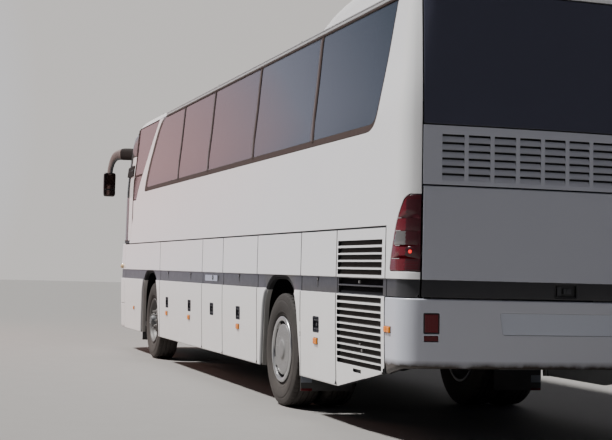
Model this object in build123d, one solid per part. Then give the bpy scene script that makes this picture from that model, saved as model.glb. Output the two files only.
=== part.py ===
from build123d import *
import math
import os

# Coach bus, two axles, about 12 m long. Millimetres. +X is forward, +Y is the driver's (left) side, +Z is up.
# The origin is on the ground, at the middle of the whole vehicle's box, mirrors included.

# ---------------------------------------------------------------- driving sizes
X_REAR, X_FRONT = -6100.0, 5900.0      # body ends on the centre line
HALF_W = 1250.0                        # body half width at the waist
FRONT_AXLE_X, REAR_AXLE_X = 3305.0, -2945.0
TYRE_R, TYRE_W = 522.0, 292.0
FRONT_TRACK_Y = 1032.0                 # middle of a front tyre
REAR_OUT_Y, REAR_IN_Y = 1066.0, 732.0  # middles of the twin rear tyres
KINGPIN_Y = 850.0
STEER_DEG = 40.0
Z_SKIRT = 330.0                        # lower edge of the skirt
Z_STRIPE0, Z_STRIPE1 = 1078.0, 1212.0  # recessed grey band round the body
STRIPE_DEEP = 14.0
Z_BELT = 1590.0                        # top edge of the flaps
Z_SILL = 2345.0                        # lower edge of the side glass
Z_GLASS_TOP = 3300.0
Z_ROOF = 3470.0
GAP = 8.0                              # gap round a moving panel
WALL = 50.0
PANEL = 40.0                           # thickness of a flap
Z_FLOOR = 1450.0                       # saloon floor
Z_CAB = 950.0                          # driver's platform
FLAP_OPEN, HATCH_OPEN = 88.0, 85.0

# Horizontal sections of the body. Columns: z, half width, front x, front bow radius, front corner radius,
# rear x, rear bow radius, rear corner radius.
LOWER = [
    (330.0, 1228.0, 5880.0, 6000.0, 340.0, -6085.0, 12000.0, 190.0),
    (1078.0, 1250.0, 5900.0, 6000.0, 350.0, -6100.0, 12000.0, 190.0),
    (1598.0, 1250.0, 5870.0, 6000.0, 420.0, -6096.0, 12000.0, 190.0),
]
UPPER = [
    (1598.0, 1250.0, 5862.0, 5000.0, 560.0, -6096.0, 12000.0, 190.0),
    (2370.0, 1245.0, 5850.0, 5000.0, 560.0, -6078.0, 12000.0, 186.0),
    (2900.0, 1202.3, 5800.0, 5000.0, 540.0, -6062.0, 12000.0, 182.0),
    (3150.0, 1182.1, 5680.0, 5000.0, 520.0, -6054.0, 12000.0, 180.0),
    (3240.0, 1174.9, 5480.0, 5000.0, 510.0, -6051.0, 12000.0, 179.0),
    (3300.0, 1170.0, 5200.0, 5000.0, 500.0, -6048.0, 12000.0, 178.0),
]


def at(table, z):
    """Row of a section table at height z, straight between its rows."""
    for a, b in zip(table, table[1:]):
        if a[0] <= z <= b[0]:
            t = (z - a[0]) / (b[0] - a[0])
            return [p + t * (q - p) for p, q in zip(a, b)]
    return list(table[0] if z < table[0][0] else table[-1])


def outline(row, inset=0.0):
    """Closed plan outline of the body: two straight sides, bowed ends and tangent corner arcs."""
    z, w, xf, bf, rf, xr, br, rr = row
    w, xf, bf, rf, xr, br, rr = w - inset, xf - inset, bf - inset, rf - inset, xr + inset, br - inset, rr - inset

    def end(x, big, r, s):
        c0 = x - s * big
        cx = c0 + s * math.sqrt((big - r) ** 2 - (w - r) ** 2)
        k = big / (big - r)
        tx, ty = c0 + (cx - c0) * k, (w - r) * k
        a = math.atan2(ty - (w - r), s * (tx - cx))
        m = (a + math.pi / 2) / 2
        return cx, tx, ty, cx + s * r * math.cos(m), (w - r) + r * math.sin(m)

    cf, txf, tyf, mxf, myf = end(xf, bf, rf, 1)
    cr, txr, tyr, mxr, myr = end(xr, br, rr, -1)
    e = [
        Line((cr, w, z), (cf, w, z)),
        ThreePointArc((cf, w, z), (mxf, myf, z), (txf, tyf, z)),
        ThreePointArc((txf, tyf, z), (xf, 0, z), (txf, -tyf, z)),
        ThreePointArc((txf, -tyf, z), (mxf, -myf, z), (cf, -w, z)),
        Line((cf, -w, z), (cr, -w, z)),
        ThreePointArc((cr, -w, z), (mxr, -myr, z), (txr, -tyr, z)),
        ThreePointArc((txr, -tyr, z), (xr, 0, z), (txr, tyr, z)),
        ThreePointArc((txr, tyr, z), (mxr, myr, z), (cr, w, z)),
    ]
    return make_face(Wire(e))


MADE = {}


def body(table, z0, z1, inset=0.0):
    """Solid of the body between two heights, drawn in by inset."""
    key = (id(table), z0, z1, inset)
    if key not in MADE:
        MADE[key] = body_made(table, z0, z1, inset)
    return MADE[key]


def shell(table, z0, z1, outer, inner):
    """Wall of the body between two heights, from one inset to another."""
    key = (id(table), z0, z1, outer, inner)
    if key not in MADE:
        MADE[key] = body(table, z0, z1, outer) - body(table, z0, z1, inner)
    return MADE[key]


def body_made(table, z0, z1, inset):
    zs = [z0] + [r[0] for r in table if z0 < r[0] < z1] + [z1]
    parts = [loft([outline(at(table, a), inset), outline(at(table, b), inset)], ruled=True) for a, b in zip(zs, zs[1:])]
    out = parts[0]
    for p in parts[1:]:
        out = out + p
    return out


def box(x0, x1, y0, y1, z0, z1):
    return Pos((x0 + x1) / 2, (y0 + y1) / 2, (z0 + z1) / 2) * Box(x1 - x0, y1 - y0, z1 - z0)


def poly_y(pts, y0, y1):
    """Prism along Y from points (x, z)."""
    f = make_face(Polyline(*[(x, y0, z) for x, z in pts], close=True))
    return extrude(f, amount=y1 - y0, dir=(0, 1, 0))


def poly_x(pts, x0, x1):
    """Prism along X from points (y, z)."""
    f = make_face(Polyline(*[(x0, y, z) for y, z in pts], close=True))
    return extrude(f, amount=x1 - x0, dir=(1, 0, 0))


def rod(a, b, r):
    """Cylinder from point a to point b."""
    a, b = Vector(*a), Vector(*b)
    return Solid.make_cylinder(r, (b - a).length, Plane(origin=a, z_dir=(b - a)))


def ring(y0, y1, r0, r1, x=0.0, z=0.0):
    """Ring about an axle along Y."""
    o = Solid.make_cylinder(r1, y1 - y0, Plane(origin=(x, y0, z), z_dir=(0, 1, 0)))
    return o if r0 <= 0 else o - Solid.make_cylinder(r0, y1 - y0 + 2, Plane(origin=(x, y0 - 1, z), z_dir=(0, 1, 0)))


def turned(pts, x, y, z, side=1):
    """Body turned about an axle along Y from points (offset outward, radius)."""
    f = make_face(Polyline(*[(x, y + side * o, z + r) for o, r in pts], close=True))
    return revolve(f, Axis((x, y, z), (0, 1, 0)), 360)


def flip(s):
    """The other side of the coach."""
    return mirror(s, Plane.XZ)


def save(name, shape):
    solids = shape.solids() if hasattr(shape, "solids") else [shape]
    c = Compound(children=list(solids)) if len(solids) > 1 else solids[0]
    c.label = name
    export_step(c, f"parts/{name}.step")
    return c


os.makedirs("parts", exist_ok=True)
for old in os.listdir("parts"):
    os.remove(os.path.join("parts", old))
N = {}  # every node by name

# ---------------------------------------------------------------- shells
up_shell = body(UPPER, 1598, 3300) - body(UPPER, 1598, 3300, WALL)
low_shell = body(LOWER, 330, 1590) - body(LOWER, 330, 1590, PANEL)
low_shell -= body(LOWER, Z_STRIPE0, Z_STRIPE1) - body(LOWER, Z_STRIPE0, Z_STRIPE1, STRIPE_DEEP)

# front edge of the white side wall, sweeping down from the roof to the front corner: (x, z)
SWEEP = [(3250, 3300), (3680, 2968), (4020, 2645), (4430, 2270), (4642, 2020), (4790, 1800), (4900, 1598)]
POST_X = 4680.0                         # post between the driver's window and the windscreen
BAND_FRONT = [(3830, 2345), (3700, 2620), (3500, 2900), (3300, 3130), (3040, 3280), (2930, 3300)]
BAND_REAR = [(-5330, 2345), (-5450, 2550), (-5625, 3300)]
DIVIDERS = [1600.0, 0.0, -1930.0, -3870.0]
OPEN_FRONT = [(3560, 2440), (3400, 2700), (3100, 3060), (2900, 3190)]   # front edge of the opening behind the first pane
HATCH_Y = 1122.0                        # half width of the rear hatch, louvre panel and rear glass
X_GRILLE_END = -5674.0


def band(outset=0.0):
    """Outline of the passenger glass band, as (x, z)."""
    o = outset
    return ([(BAND_REAR[0][0] - o, Z_SILL - o), (BAND_FRONT[0][0] + o, Z_SILL - o)]
            + [(x + o, z) for x, z in BAND_FRONT[1:-1]] + [(BAND_FRONT[-1][0] + o, Z_GLASS_TOP + 1), (BAND_REAR[-1][0] - o, Z_GLASS_TOP + 1)]
            + [(BAND_REAR[1][0] - o, BAND_REAR[1][1])])


def pane_cut(x0, x1, z0, z1, y0=1000, y1=1300, r=70.0):
    """Prism of a window opening with rounded corners."""
    b = box(x0, x1, y0, y1, z0, z1)
    return fillet(b.edges().filter_by(Axis.Y), r)


# side wall: the white wall, its pillars and the rear corner down to the bumper
wall_zone = poly_y([(-6200, 1598), (SWEEP[-1][0], 1598)] + [(x, z) for x, z in SWEEP[::-1][1:]] + [(-6200, 3300)], 0, 1400)
side = up_shell & wall_zone
side -= box(-6200, -5900, 0, HATCH_Y, 1500, 3400)
band_recess = poly_y(band(), 0, 1400) & (body(UPPER, 2300, 3300) - body(UPPER, 2300, 3300, 14))
side -= band_recess
pane_x = [BAND_REAR[0][0] + 90] + DIVIDERS[::-1] + [BAND_FRONT[0][0]]
for a, b in zip(pane_x, pane_x[1:]):
    x0, x1 = a + 60, b - 60
    if b == pane_x[-1]:
        opening = poly_y([(x0, 2440)] + OPEN_FRONT + [(x0, 3190)], 1000, 1300)
    else:
        opening = pane_cut(x0, x1, 2440, 3190)
    side -= opening
corner = low_shell & box(-6200, X_GRILLE_END - 4, 0, 1400, Z_STRIPE0 + 4, 1590)
corner -= box(-6200, -5900, 0, HATCH_Y, 1000, 1700)
corner_top = (body(LOWER, 1589, 1598) - body(LOWER, 1589, 1598, PANEL)) & box(-6200, X_GRILLE_END - 4, 0, 1400, 1589, 1598)
corner_top -= box(-6200, -5900, 0, HATCH_Y, 1000, 1700)
side_left = side + corner + corner_top
# recess for the tail lamp on the rear corner
LAMP = [(-6200, 1268), (-5757, 1268), (-5783, 1382), (-5833, 1526), (-5875, 1618), (-5915, 1703), (-5954, 1787), (-5975, 1815), (-6200, 1815)]  # (x, z)
lamp_zone = poly_y(LAMP, HATCH_Y, 1400)
lamp_skin = ((body(UPPER, 1598, 1830) - body(UPPER, 1598, 1830, 30)) + (body(LOWER, 1260, 1598) - body(LOWER, 1260, 1598, 30))) & lamp_zone
side_left -= lamp_zone & (body(UPPER, 1598, 1830) - body(UPPER, 1598, 1830, 31) + (body(LOWER, 1200, 1598) - body(LOWER, 1200, 1598, 31)))

# ---------------------------------------------------------------- doors (right side)
# columns: rear edge x, front edge x, lower edge z, upper edge z, post side (+1 front, -1 rear), arm length, arm heights
DOORS = {
    "front_door": (4080.0, 5020.0, 400.0, 2960.0, 1, 460.0, (800.0, 1640.0)),
    "middle_door": (-2080.0, -1280.0, 400.0, 2325.0, -1, 388.0, (800.0, 1620.0)),
}
ARM_IN, POST_IN, DOOR_OUT = 130.0, 108.0, 200.0   # arm pin and post inside the body side, and how far the leaf stands off


def door_geometry(name):
    x0, x1, z0, z1, s, L, zs = DOORS[name]
    a = -(ARM_IN - POST_IN)                       # outward offset of the closed pin from the post
    b = a + DOOR_OUT
    ux0, ux1 = math.sqrt(L * L - a * a), math.sqrt(L * L - b * b)
    px = (x1 - 160.0) if s > 0 else (x0 + 160.0)
    py = -(HALF_W - POST_IN)
    t0, t1 = math.atan2(a, -ux0), math.atan2(b, ux1)
    turn = (math.degrees(t0) % 360) - math.degrees(t1)
    return dict(px=px, py=py, ax=px - s * ux0, ay=py - a, turn=turn, s=s)


def zone(x0, x1, z0, z1, y0, y1):
    return box(x0, x1, y0, y1, z0, z1)


side_right = flip(side_left)
side_right -= zone(DOORS["middle_door"][0] - GAP, DOORS["middle_door"][1] + GAP, 1500, DOORS["middle_door"][3] + GAP, -1400, -1000)
side_right -= poly_y([(4080 - GAP, 1500), (5300, 1500), (5300, 3400), (4080 - GAP, 3400)], -1400, -900)
N["body_side_left"], N["body_side_right"] = side_left, side_right

# ---------------------------------------------------------------- front posts, windscreen, cab windows
UP = lambda z0, z1, t0, t1: shell(UPPER, z0, z1, t0, t1)
PILLAR_X, PILLAR_TOP = 5034.0, 2900.0   # front edge and top of the broad left front pillar
sweep_zone = poly_y([(3000, 1500)] + [(4904, 1500)] + [(x + 4, z) for x, z in SWEEP[::-1]] + [(3000, 3300)], 800, 1400)
post_l = UP(1602, 3300, 0, 60) & (box(4690, 4760, 900, 1400, 1600, 3300) + box(4700, PILLAR_X, 900, 1400, 1600, PILLAR_TOP))
post_r = UP(1602, 3300, 0, 60) & box(5032, 5096, -1400, -900, 1600, 3300)
glass = UP(1640, 3296, 6, 18)
screen = glass & box(4000, 6000, -1400, 1400, 1600, 3300)
screen -= box(3900, 4763, 0, 1400, 1500, 3400) + box(3900, PILLAR_X + 8, 0, 1400, 1500, PILLAR_TOP + 8)
screen -= box(3900, 5099, -1400, 0, 1500, 3400)
screen -= sweep_zone
N["windscreen"] = screen - box(5000, 6000, -6, 6, 1600, 3300)
cab = (glass & box(3200, 4687, 900, 1400, 1640, 3296)) - sweep_zone
over_door = (glass & (box(3200, 5028, -1400, -900, 2968, 3296) + box(3200, 4068, -1400, -900, 2600, 3296))) - flip(sweep_zone)
N["cab_windows"] = cab + over_door

# side panes: one solid in each opening, both sides
panes = None
for s in (1, -1):
    for i, (a, b) in enumerate(zip(pane_x, pane_x[1:])):
        x0, x1 = a + 7, b - 7
        p = (UP(2345, 3294, 1, 12)) & box(x0 - (300 if i == 0 else 0), x1, 900, 1400, 2300, 3300)
        p &= poly_y(band(-8), 800, 1400)
        p = p if s > 0 else flip(p)
        panes = p if panes is None else panes + p
N["side_windows"] = panes

# ---------------------------------------------------------------- roof
ROOF = [
    (3303.0, 1170.0, 5190.0, 5000.0, 500.0, -6048.0, 12000.0, 178.0),
    (3345.0, 1152.0, 5010.0, 5000.0, 480.0, -6035.0, 12000.0, 175.0),
    (3390.0, 1100.0, 4800.0, 5000.0, 440.0, -6000.0, 12000.0, 170.0),
    (3425.0, 1000.0, 4560.0, 5000.0, 400.0, -5950.0, 12000.0, 160.0),
    (3452.0, 820.0, 4300.0, 5000.0, 350.0, -5880.0, 12000.0, 150.0),
    (3468.0, 500.0, 3900.0, 5000.0, 300.0, -5800.0, 12000.0, 140.0),
]
roof = body(ROOF, 3303, 3468)
roof -= body(ROOF, 3303, 3440, 45)
gutter = box(-5850, 2760, 1171.5, 1184, 3303, 3346)
N["roof"] = roof
N["gutters"] = gutter + flip(gutter)
# rear roof fairing: (x, z) of its top line, half width
DOME = [(-3700, 3400), (-3980, 3520), (-4400, 3600), (-4900, 3640), (-5600, 3640), (-5880, 3600), (-6010, 3500), (-6030, 3400)]
dome = poly_y(DOME, -1130, 1130)
dome = fillet([e for e in dome.edges() if abs(abs(e.center().Y) - 1130) < 1 and e.center().Z > 3450], 70)
N["roof_fairing"] = dome - body(ROOF, 3303, 3468, -1.0)

# ---------------------------------------------------------------- rear end
def rear(z0, z1, half, t=40.0, out=0.0):
    s = None
    for tab, a, b in ((LOWER, max(z0, 330), min(z1, 1598)), (UPPER, max(z0, 1598), min(z1, 3300))):
        if b - a > 1:
            p = (body(tab, a, b, -out) - body(tab, a, b, t)) & box(-6300, -5950 if half < 1130 else -5670, -half, half, a, b)
            s = p if s is None else s + p
    return s


N["rear_window"] = rear(2322, 3297, HATCH_Y - 3, 12)
louvre = rear(1888, 2316, HATCH_Y - 4, 35)
LOUVRE_ROWS, LOUVRE_PITCH, LOUVRE_COLS, LOUVRE_COL_PITCH = 6, 56.0, 10, 199.0
for r in range(LOUVRE_ROWS):
    for c in range(LOUVRE_COLS):
        y = (c - (LOUVRE_COLS - 1) / 2) * LOUVRE_COL_PITCH
        louvre -= box(-6200, -5900, y - 82, y + 82, 1966 + r * LOUVRE_PITCH - 12, 1966 + r * LOUVRE_PITCH + 12)
N["louvre_panel"] = louvre
hatch = rear(1084, 1880, HATCH_Y - GAP, 40)
hatch -= body(LOWER, Z_STRIPE0, Z_STRIPE1, -20) - body(LOWER, Z_STRIPE0, Z_STRIPE1, STRIPE_DEEP) & box(-6300, -5900, -1400, 1400, Z_STRIPE0 - 20, Z_STRIPE1)
N["engine_hatch"] = hatch
bumper = (body(LOWER, 578, 1076, 0) - body(LOWER, 578, 1076, 60)) & box(-6300, X_GRILLE_END - 4, -1400, 1400, 570, 1080)
bumper -= box(-6200, -6075, -500, 500, 827, 985)
for s in (1, -1):
    bumper -= box(-6200, -5996, min(s * 977, s * 1095), max(s * 977, s * 1095), 772, 976)
N["rear_bumper"] = bumper
lamps = lamp_skin + flip(lamp_skin)
fogs = None
for s in (1, -1):
    f = shell(LOWER, 774, 974, 3, 40) & box(-6200, -5999, min(s * 980, s * 1092), max(s * 980, s * 1092), 774, 974)
    fogs = f if fogs is None else fogs + f
N["rear_lamps"] = lamps + fogs

# ---------------------------------------------------------------- front end
front_zone = box(5200, 6000, -1400, 1400, 300, 1640)
fpanel = (body(LOWER, 698, 1590) - body(LOWER, 698, 1590, PANEL)) & front_zone
fpanel = fpanel + ((body(LOWER, 1590, 1598) - body(LOWER, 1590, 1598, PANEL)) & front_zone)
fpanel -= body(LOWER, Z_STRIPE0, Z_STRIPE1) - body(LOWER, Z_STRIPE0, Z_STRIPE1, STRIPE_DEEP)
heads = None
for s in (1, -1):
    z = box(5400, 6000, min(s * 640, s * 1080), max(s * 640, s * 1080), 740, 930)
    zc = box(5400, 6000, min(s * 637, s * 1083), max(s * 637, s * 1083), 737, 933)
    fpanel -= zc
    h = (body(LOWER, 735, 935, 2) - body(LOWER, 735, 935, 90)) & z
    heads = h if heads is None else heads + h
N["front_panel"] = fpanel
scuttle = UP(1601, 1636, 0, 60) & (box(4690, 6000, 0, 1400, 1600, 1640) + box(5032, 6000, -1400, 0, 1600, 1640))
N["windscreen_frame"] = (post_l & box(4000, 6000, 0, 1400, 1636, 3300)) + (post_r & box(4000, 6000, -1400, 0, 1636, 3300)) + scuttle
N["windscreen_frame"] -= sweep_zone
N["head_lamps"] = heads
N["front_bumper"] = (body(LOWER, 330, 692) - body(LOWER, 330, 692, 60)) & front_zone

# ---------------------------------------------------------------- skirt: fixed arch panels and hinged flaps
def skirt(x0, x1, side_sign=1, z0=330.0, z1=1590.0, t=PANEL):
    """Panel of the lower body side, its outer face with the recessed band."""
    w = lambda z: at(LOWER, z)[1]
    pts = [(w(z0), z0), (w(1078), 1078), (w(1078) - STRIPE_DEEP, 1080), (w(1212) - STRIPE_DEEP, 1212), (w(1212), 1212), (w(z1), z1), (w(z1) - t, z1), (w(1000) - t - 4, 1000), (w(z0) - t, z0)]
    if z0 > 1078:
        pts = [(w(z0), z0), (w(z1), z1), (w(z1) - t, z1), (w(z0) - t, z0)]
    p = poly_x(pts, x0, x1)
    return p if side_sign > 0 else flip(p)


# wheel arches: leaning sides and a flat top with large rounded corners
ARCH_FOOT, ARCH_HEAD = 640.0, 480.0     # half widths at the lower edge and, before rounding, at the top
ARCH_TOP, ARCH_ROUND = 1178.0, 400.0
ARCHES = {"front": 3270.0, "rear": -2967.0}


def arch_cut(xc):
    lean = (ARCH_FOOT - ARCH_HEAD) / (ARCH_TOP - 330.0)
    tilt = math.atan(lean)
    turn = math.pi / 2 - tilt
    t = ARCH_ROUND * math.tan(turn / 2)
    zt, ht = ARCH_TOP - t * math.cos(tilt), ARCH_HEAD + t * math.sin(tilt)        # where the side meets the round
    xm, zm = ht - ARCH_ROUND * math.cos(tilt), ARCH_TOP - ARCH_ROUND               # middle of the round
    a = tilt / 2 + math.pi / 4
    mid = (xm + ARCH_ROUND * math.cos(a), zm + ARCH_ROUND * math.sin(a))
    foot = (ARCH_FOOT + lean * 130.0, 200.0)
    P = lambda x, z: Vector(xc + x, -1500, z)
    edges = [Edge.make_line(P(foot[0], foot[1]), P(ht, zt)), Edge.make_three_point_arc(P(ht, zt), P(*mid), P(xm, ARCH_TOP)),
             Edge.make_line(P(xm, ARCH_TOP), P(-xm, ARCH_TOP)), Edge.make_three_point_arc(P(-xm, ARCH_TOP), P(-mid[0], mid[1]), P(-ht, zt)),
             Edge.make_line(P(-ht, zt), P(-foot[0], foot[1])), Edge.make_line(P(-foot[0], foot[1]), P(foot[0], foot[1]))]
    return Solid.extrude(Face(Wire(edges)), Vector(0, 3000, 0))


fixed = None
for s, x0, x1, xc in ((1, 2556, 5192, ARCHES["front"]), (-1, 2556, 4080 - GAP, ARCHES["front"]), (1, -3631, -2224, ARCHES["rear"]), (-1, -3631, -2224, ARCHES["rear"])):
    p = skirt(x0, x1, s) - arch_cut(xc)
    fixed = p if fixed is None else fixed + p
fixed = fixed + skirt(5020 + GAP, 5192, -1)
N["arch_panels"] = fixed

# flaps: name, rear x, front x, lower edge z at rear, at front, side
FLAPS = [
    ("flap_left_1", 124.0, 2548.0, 330.0, 330.0, 1),
    ("flap_left_2", -841.0, 116.0, 330.0, 330.0, 1),
    ("flap_left_3", -2216.0, -849.0, 330.0, 330.0, 1),
    ("flap_left_4", -4581.0, -3639.0, 330.0, 330.0, 1),
    ("radiator_flap_left", -5671.0, -4589.0, 520.0, 335.0, 1),
    ("flap_right_1", 616.0, 2548.0, 330.0, 330.0, -1),
    ("flap_right_2", -1264.0, 608.0, 330.0, 330.0, -1),
    ("flap_right_3", -5671.0, -3639.0, 520.0, 335.0, -1),
]
X_TAIL_RISE = -4640.0                   # behind this the lower edge rises towards the tail
for name, x0, x1, za, zb, s in FLAPS:
    f = skirt(x0, x1, s)
    if za > zb:
        f -= poly_y([(x0 - 1, 300), (x1 + 1, 300), (x1 + 1, zb), (X_TAIL_RISE, zb), (x0 - 1, za)], -1400, 1400)
    if name == "radiator_flap_left":
        for i in range(17):
            z = 1425 - i * 55.0
            if abs(z - 1078) < 22 or abs(z - 1212) < 12:
                continue
            f -= box(-5600, -4615, 1100, 1300, z - 12, z + 12)
    else:
        xl = x1 - 500 if name.endswith("1") else x0 + 480
        f -= box(xl - 80, xl + 80, min(s * 1225, s * 1260), max(s * 1225, s * 1260), 740, 866)
    N[name] = f

strip_r = skirt(-2216, -2080 - GAP, -1)
N["arch_panels"] = N["arch_panels"] + strip_r

# ---------------------------------------------------------------- doors: leaf, posts and arms
for name, (x0, x1, z0, z1, s, L, zs) in DOORS.items():
    g = door_geometry(name)
    low = skirt(x0, x1, -1, z0, 1590.0, 45.0)
    low2 = (body(LOWER, 1589, 1598) - body(LOWER, 1589, 1598, 45)) & box(x0, x1, -1400, -900, 1589, 1598)
    up = (body(UPPER, 1598, z1) - body(UPPER, 1598, z1, 45)) & box(x0, x1, -1400, -900, 1598, z1)
    if name == "front_door":
        win = [(x0 + 70, 1750), (x1 - 70, 1750), (x1 - 70, z1 - 80), (x0 + 70, z1 - 80)]
    else:
        win = [(x0 + 80, 1700), (x1 - 80, 1700), (x1 - 80, z1 - 80), (x0 + 80, z1 - 80)]
    up -= poly_y(win, -1400, -1000)
    leaf = low + low2 + up
    pane = UP(1690, z1 - 60, 14, 24)
    pane = flip(flip(pane)) & poly_y([(x + (1 if x < (x0 + x1) / 2 else -1) * 1.0, z + (1 if z < 2000 else -1) * 1.0) for x, z in win], -1400, -1000)
    for z in zs:
        y_in = -(at(UPPER, max(z, 1598))[1] if z > 1598 else at(LOWER, z)[1]) + 44
        leaf = leaf + box(g["ax"] - 26, g["ax"] + 26, y_in - 1, g["ay"] + 26, z + 18, z + 40)
    N[name] = leaf
    N[name + "_glass"] = pane
    post = rod((g["px"], g["py"], zs[0] - 260), (g["px"], g["py"], zs[1] + 60), 20)
    th = math.radians(g["turn"])
    ex, ey = 45.0 if s > 0 else -45.0, -150.0          # elbow at the open pose, from the post
    # closed pose is the open pose turned back
    c, sn = math.cos(-s * th), math.sin(-s * th)
    ecx, ecy = ex * c - ey * sn, ex * sn + ey * c
    arms = post
    for z in zs:
        e = (g["px"] + ecx, g["py"] + ecy, z)
        arms = arms + rod((g["px"], g["py"], z), e, 15) + rod(e, (g["ax"], g["ay"], z), 15) + Pos(*e) * Sphere(15)
        arms = arms + rod((g["ax"], g["ay"], z - 16), (g["ax"], g["ay"], z + 16), 24)
    N[name + "_arms"] = arms
    print(name, {k: round(v, 2) for k, v in g.items()}, "elbow", round(ecx), round(ecy))

# ---------------------------------------------------------------- floors, holds and underframe
floor = box(-5900, 3990, -1190, 1190, 1400, 1450)
floor -= box(-2100, -1250, -1400, -450, 1300, 1500)
for s in (1, -1):
    floor = floor + box(-5900, 3990, min(s * 1150, s * 1190), max(s * 1150, s * 1190), 1450, 1680)
floor -= box(-2100, -1250, -1400, -1100, 1300, 1700)
N["saloon_floor"] = floor
cab_floor = (box(3994, 5640, -440, 1185, Z_CAB - 40, Z_CAB) & body(LOWER, Z_CAB - 45, Z_CAB + 5, 60)) + box(3994, 4030, -1185, 1185, 775, 1396)
N["cab_floor"] = cab_floor
# steps: columns x0, x1, y outer, y inner, lowest tread z, count, rise
steps = None
for x0, x1, y0, y1, z0, n, rise in ((4095, 5005, -1170, -450, 400, 4, 260), (-2070, -1290, -1170, -450, 400, 4, 260)):
    run = (y1 - y0) / n
    st = None
    for i in range(n):
        t = box(x0, x1, y0 + i * run, y1, z0 + i * rise - (30 if i == 0 else rise - 0), z0 + i * rise)
        st = t if st is None else st + t
    steps = st if steps is None else steps + st
N["entrance_steps"] = steps
hold = box(-2190, 2540, -1175, 1175, 345, 385) - box(-2110, -1240, -1300, -430, 300, 400)
bulk = None
for x0, x1, ya, yb in ((2500, 2540, -1175, 1175), (106, 134, -400, 1175), (-855, -831, -400, 1175), (600, 624, -1175, -420), (-1240, -1212, -1175, -420), (-2190, -2150, -400, 1175)):
    b = box(x0, x1, ya, yb, 386, 1398)
    bulk = b if bulk is None else bulk + b
N["luggage_hold"] = hold + bulk

AX_ALL = (FRONT_AXLE_X, REAR_AXLE_X)
hous = None
for xc, yin, half in ((3262, 490, 690), (-2922, 520, 690)):
    for s in (1, -1):
        o = box(xc - half, xc + half, min(s * yin, s * 1180), max(s * yin, s * 1180), 480, 1240)
        i = box(xc - half + 15, xc + half - 15, min(s * (yin + 15), s * 1300), max(s * (yin + 15), s * 1300), 400, 1225)
        h = o - i
        ax = AX_ALL[0] if xc > 0 else AX_ALL[1]
        h -= box(ax - 190, ax + 190, min(s * 400, s * 600), max(s * 400, s * 600), 400, 800)
        hous = h if hous is None else hous + h
N["wheel_housings"] = hous

frame = None
FRAME_JOINT = 1.0                       # weld line left open between a rail and a cross member
for x0, x1, y, z0, z1, xs in ((2545, 5600, 330, 620, 760, (2600, 3800, 4600, 5540)), (-5980, -2195, 400, 780, 920, (-5940, -3900, -2260))):
    for s in (1, -1):
        b = box(x0, x1, min(s * y, s * (y + 60)), max(s * y, s * (y + 60)), z0, z1)
        frame = b if frame is None else frame + b
    for x in xs:
        frame = frame + box(x, x + 60, -y + FRAME_JOINT, y - FRAME_JOINT, z0 + 20, z1 - 20)
TOW = (5620.0, 300.0, 560.0)            # towing socket: mouth x, y, z
TOW_R, TOW_LEN = 20.0, 120.0
frame = frame + (rod((TOW[0] - 140, TOW[1], TOW[2]), (TOW[0], TOW[1], TOW[2]), 42) + box(TOW[0] - 80, TOW[0] - 20, TOW[1] - 30, TOW[1] + 25, TOW[2], 700))
frame -= rod((TOW[0] - TOW_LEN, TOW[1], TOW[2]), (TOW[0] + 10, TOW[1], TOW[2]), TOW_R)
N["underframe"] = frame
N["front_bumper"] -= rod((5700, TOW[1], TOW[2]), (6100, TOW[1], TOW[2]), 52)
N["engine_block"] = box(-5830, -4500, -380, 380, 560, 1330)

# ---------------------------------------------------------------- axles
AX = FRONT_AXLE_X
beam = rod((AX, -705, 470), (AX, 705, 470), 48)
for s in (1, -1):
    beam = beam + box(AX - 60, AX + 60, min(s * 700, s * 798), max(s * 700, s * 798), 440, 600)
    beam = beam + rod((AX, s * 850, 478), (AX, s * 850, 566), 42) + box(AX - 42, AX + 42, min(s * 800, s * 850), max(s * 800, s * 850), 478, 566)
    beam -= rod((AX, s * 850, 470), (AX, s * 850, 570), 22)
    beam = beam + box(AX - 250, AX + 250, s * 380 - 60, s * 380 + 60, 470, 530) + box(AX - 65, AX + 65, s * 380 - 60, s * 380 + 60, 410, 480)
N["front_axle"] = beam
rbeam = rod((REAR_AXLE_X, -560, 522), (REAR_AXLE_X, 560, 522), 70) + Pos(REAR_AXLE_X, 0, 522) * Sphere(200)
rbeam = rbeam + rod((REAR_AXLE_X, 0, 522), (REAR_AXLE_X - 1100, 0, 640), 45)
for s in (1, -1):
    rbeam = rbeam + box(REAR_AXLE_X - 420, REAR_AXLE_X + 420, s * 430 - 50, s * 430 + 50, 400, 450) + box(REAR_AXLE_X - 60, REAR_AXLE_X + 60, s * 430 - 50, s * 430 + 50, 440, 600)
    rbeam = rbeam + rod((REAR_AXLE_X, s * 560, 522), (REAR_AXLE_X, s * 1130, 522), 45)
N["rear_axle"] = rbeam
springs = None
for x, y, z0, z1, r in ((AX - 190, 380, 532, 900, 95), (AX + 190, 380, 532, 900, 95), (REAR_AXLE_X - 340, 395, 452, 778, 112), (REAR_AXLE_X + 340, 395, 452, 778, 112)):
    for s in (1, -1):
        if x > 0:
            b = Solid.make_cylinder(r, 80, Plane(origin=(x, s * y, z0)))
            b = Solid.make_cylinder(r - 10, 618 - 532, Plane(origin=(x, s * y, 532)))
        else:
            b = Solid.make_cylinder(r, z1 - z0, Plane(origin=(x, s * y, z0)))
        springs = b if springs is None else springs + b
N["air_springs"] = springs
ARM_X, ARM_Y, ROD_Z = -190.0, -60.0, 392.0
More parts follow.
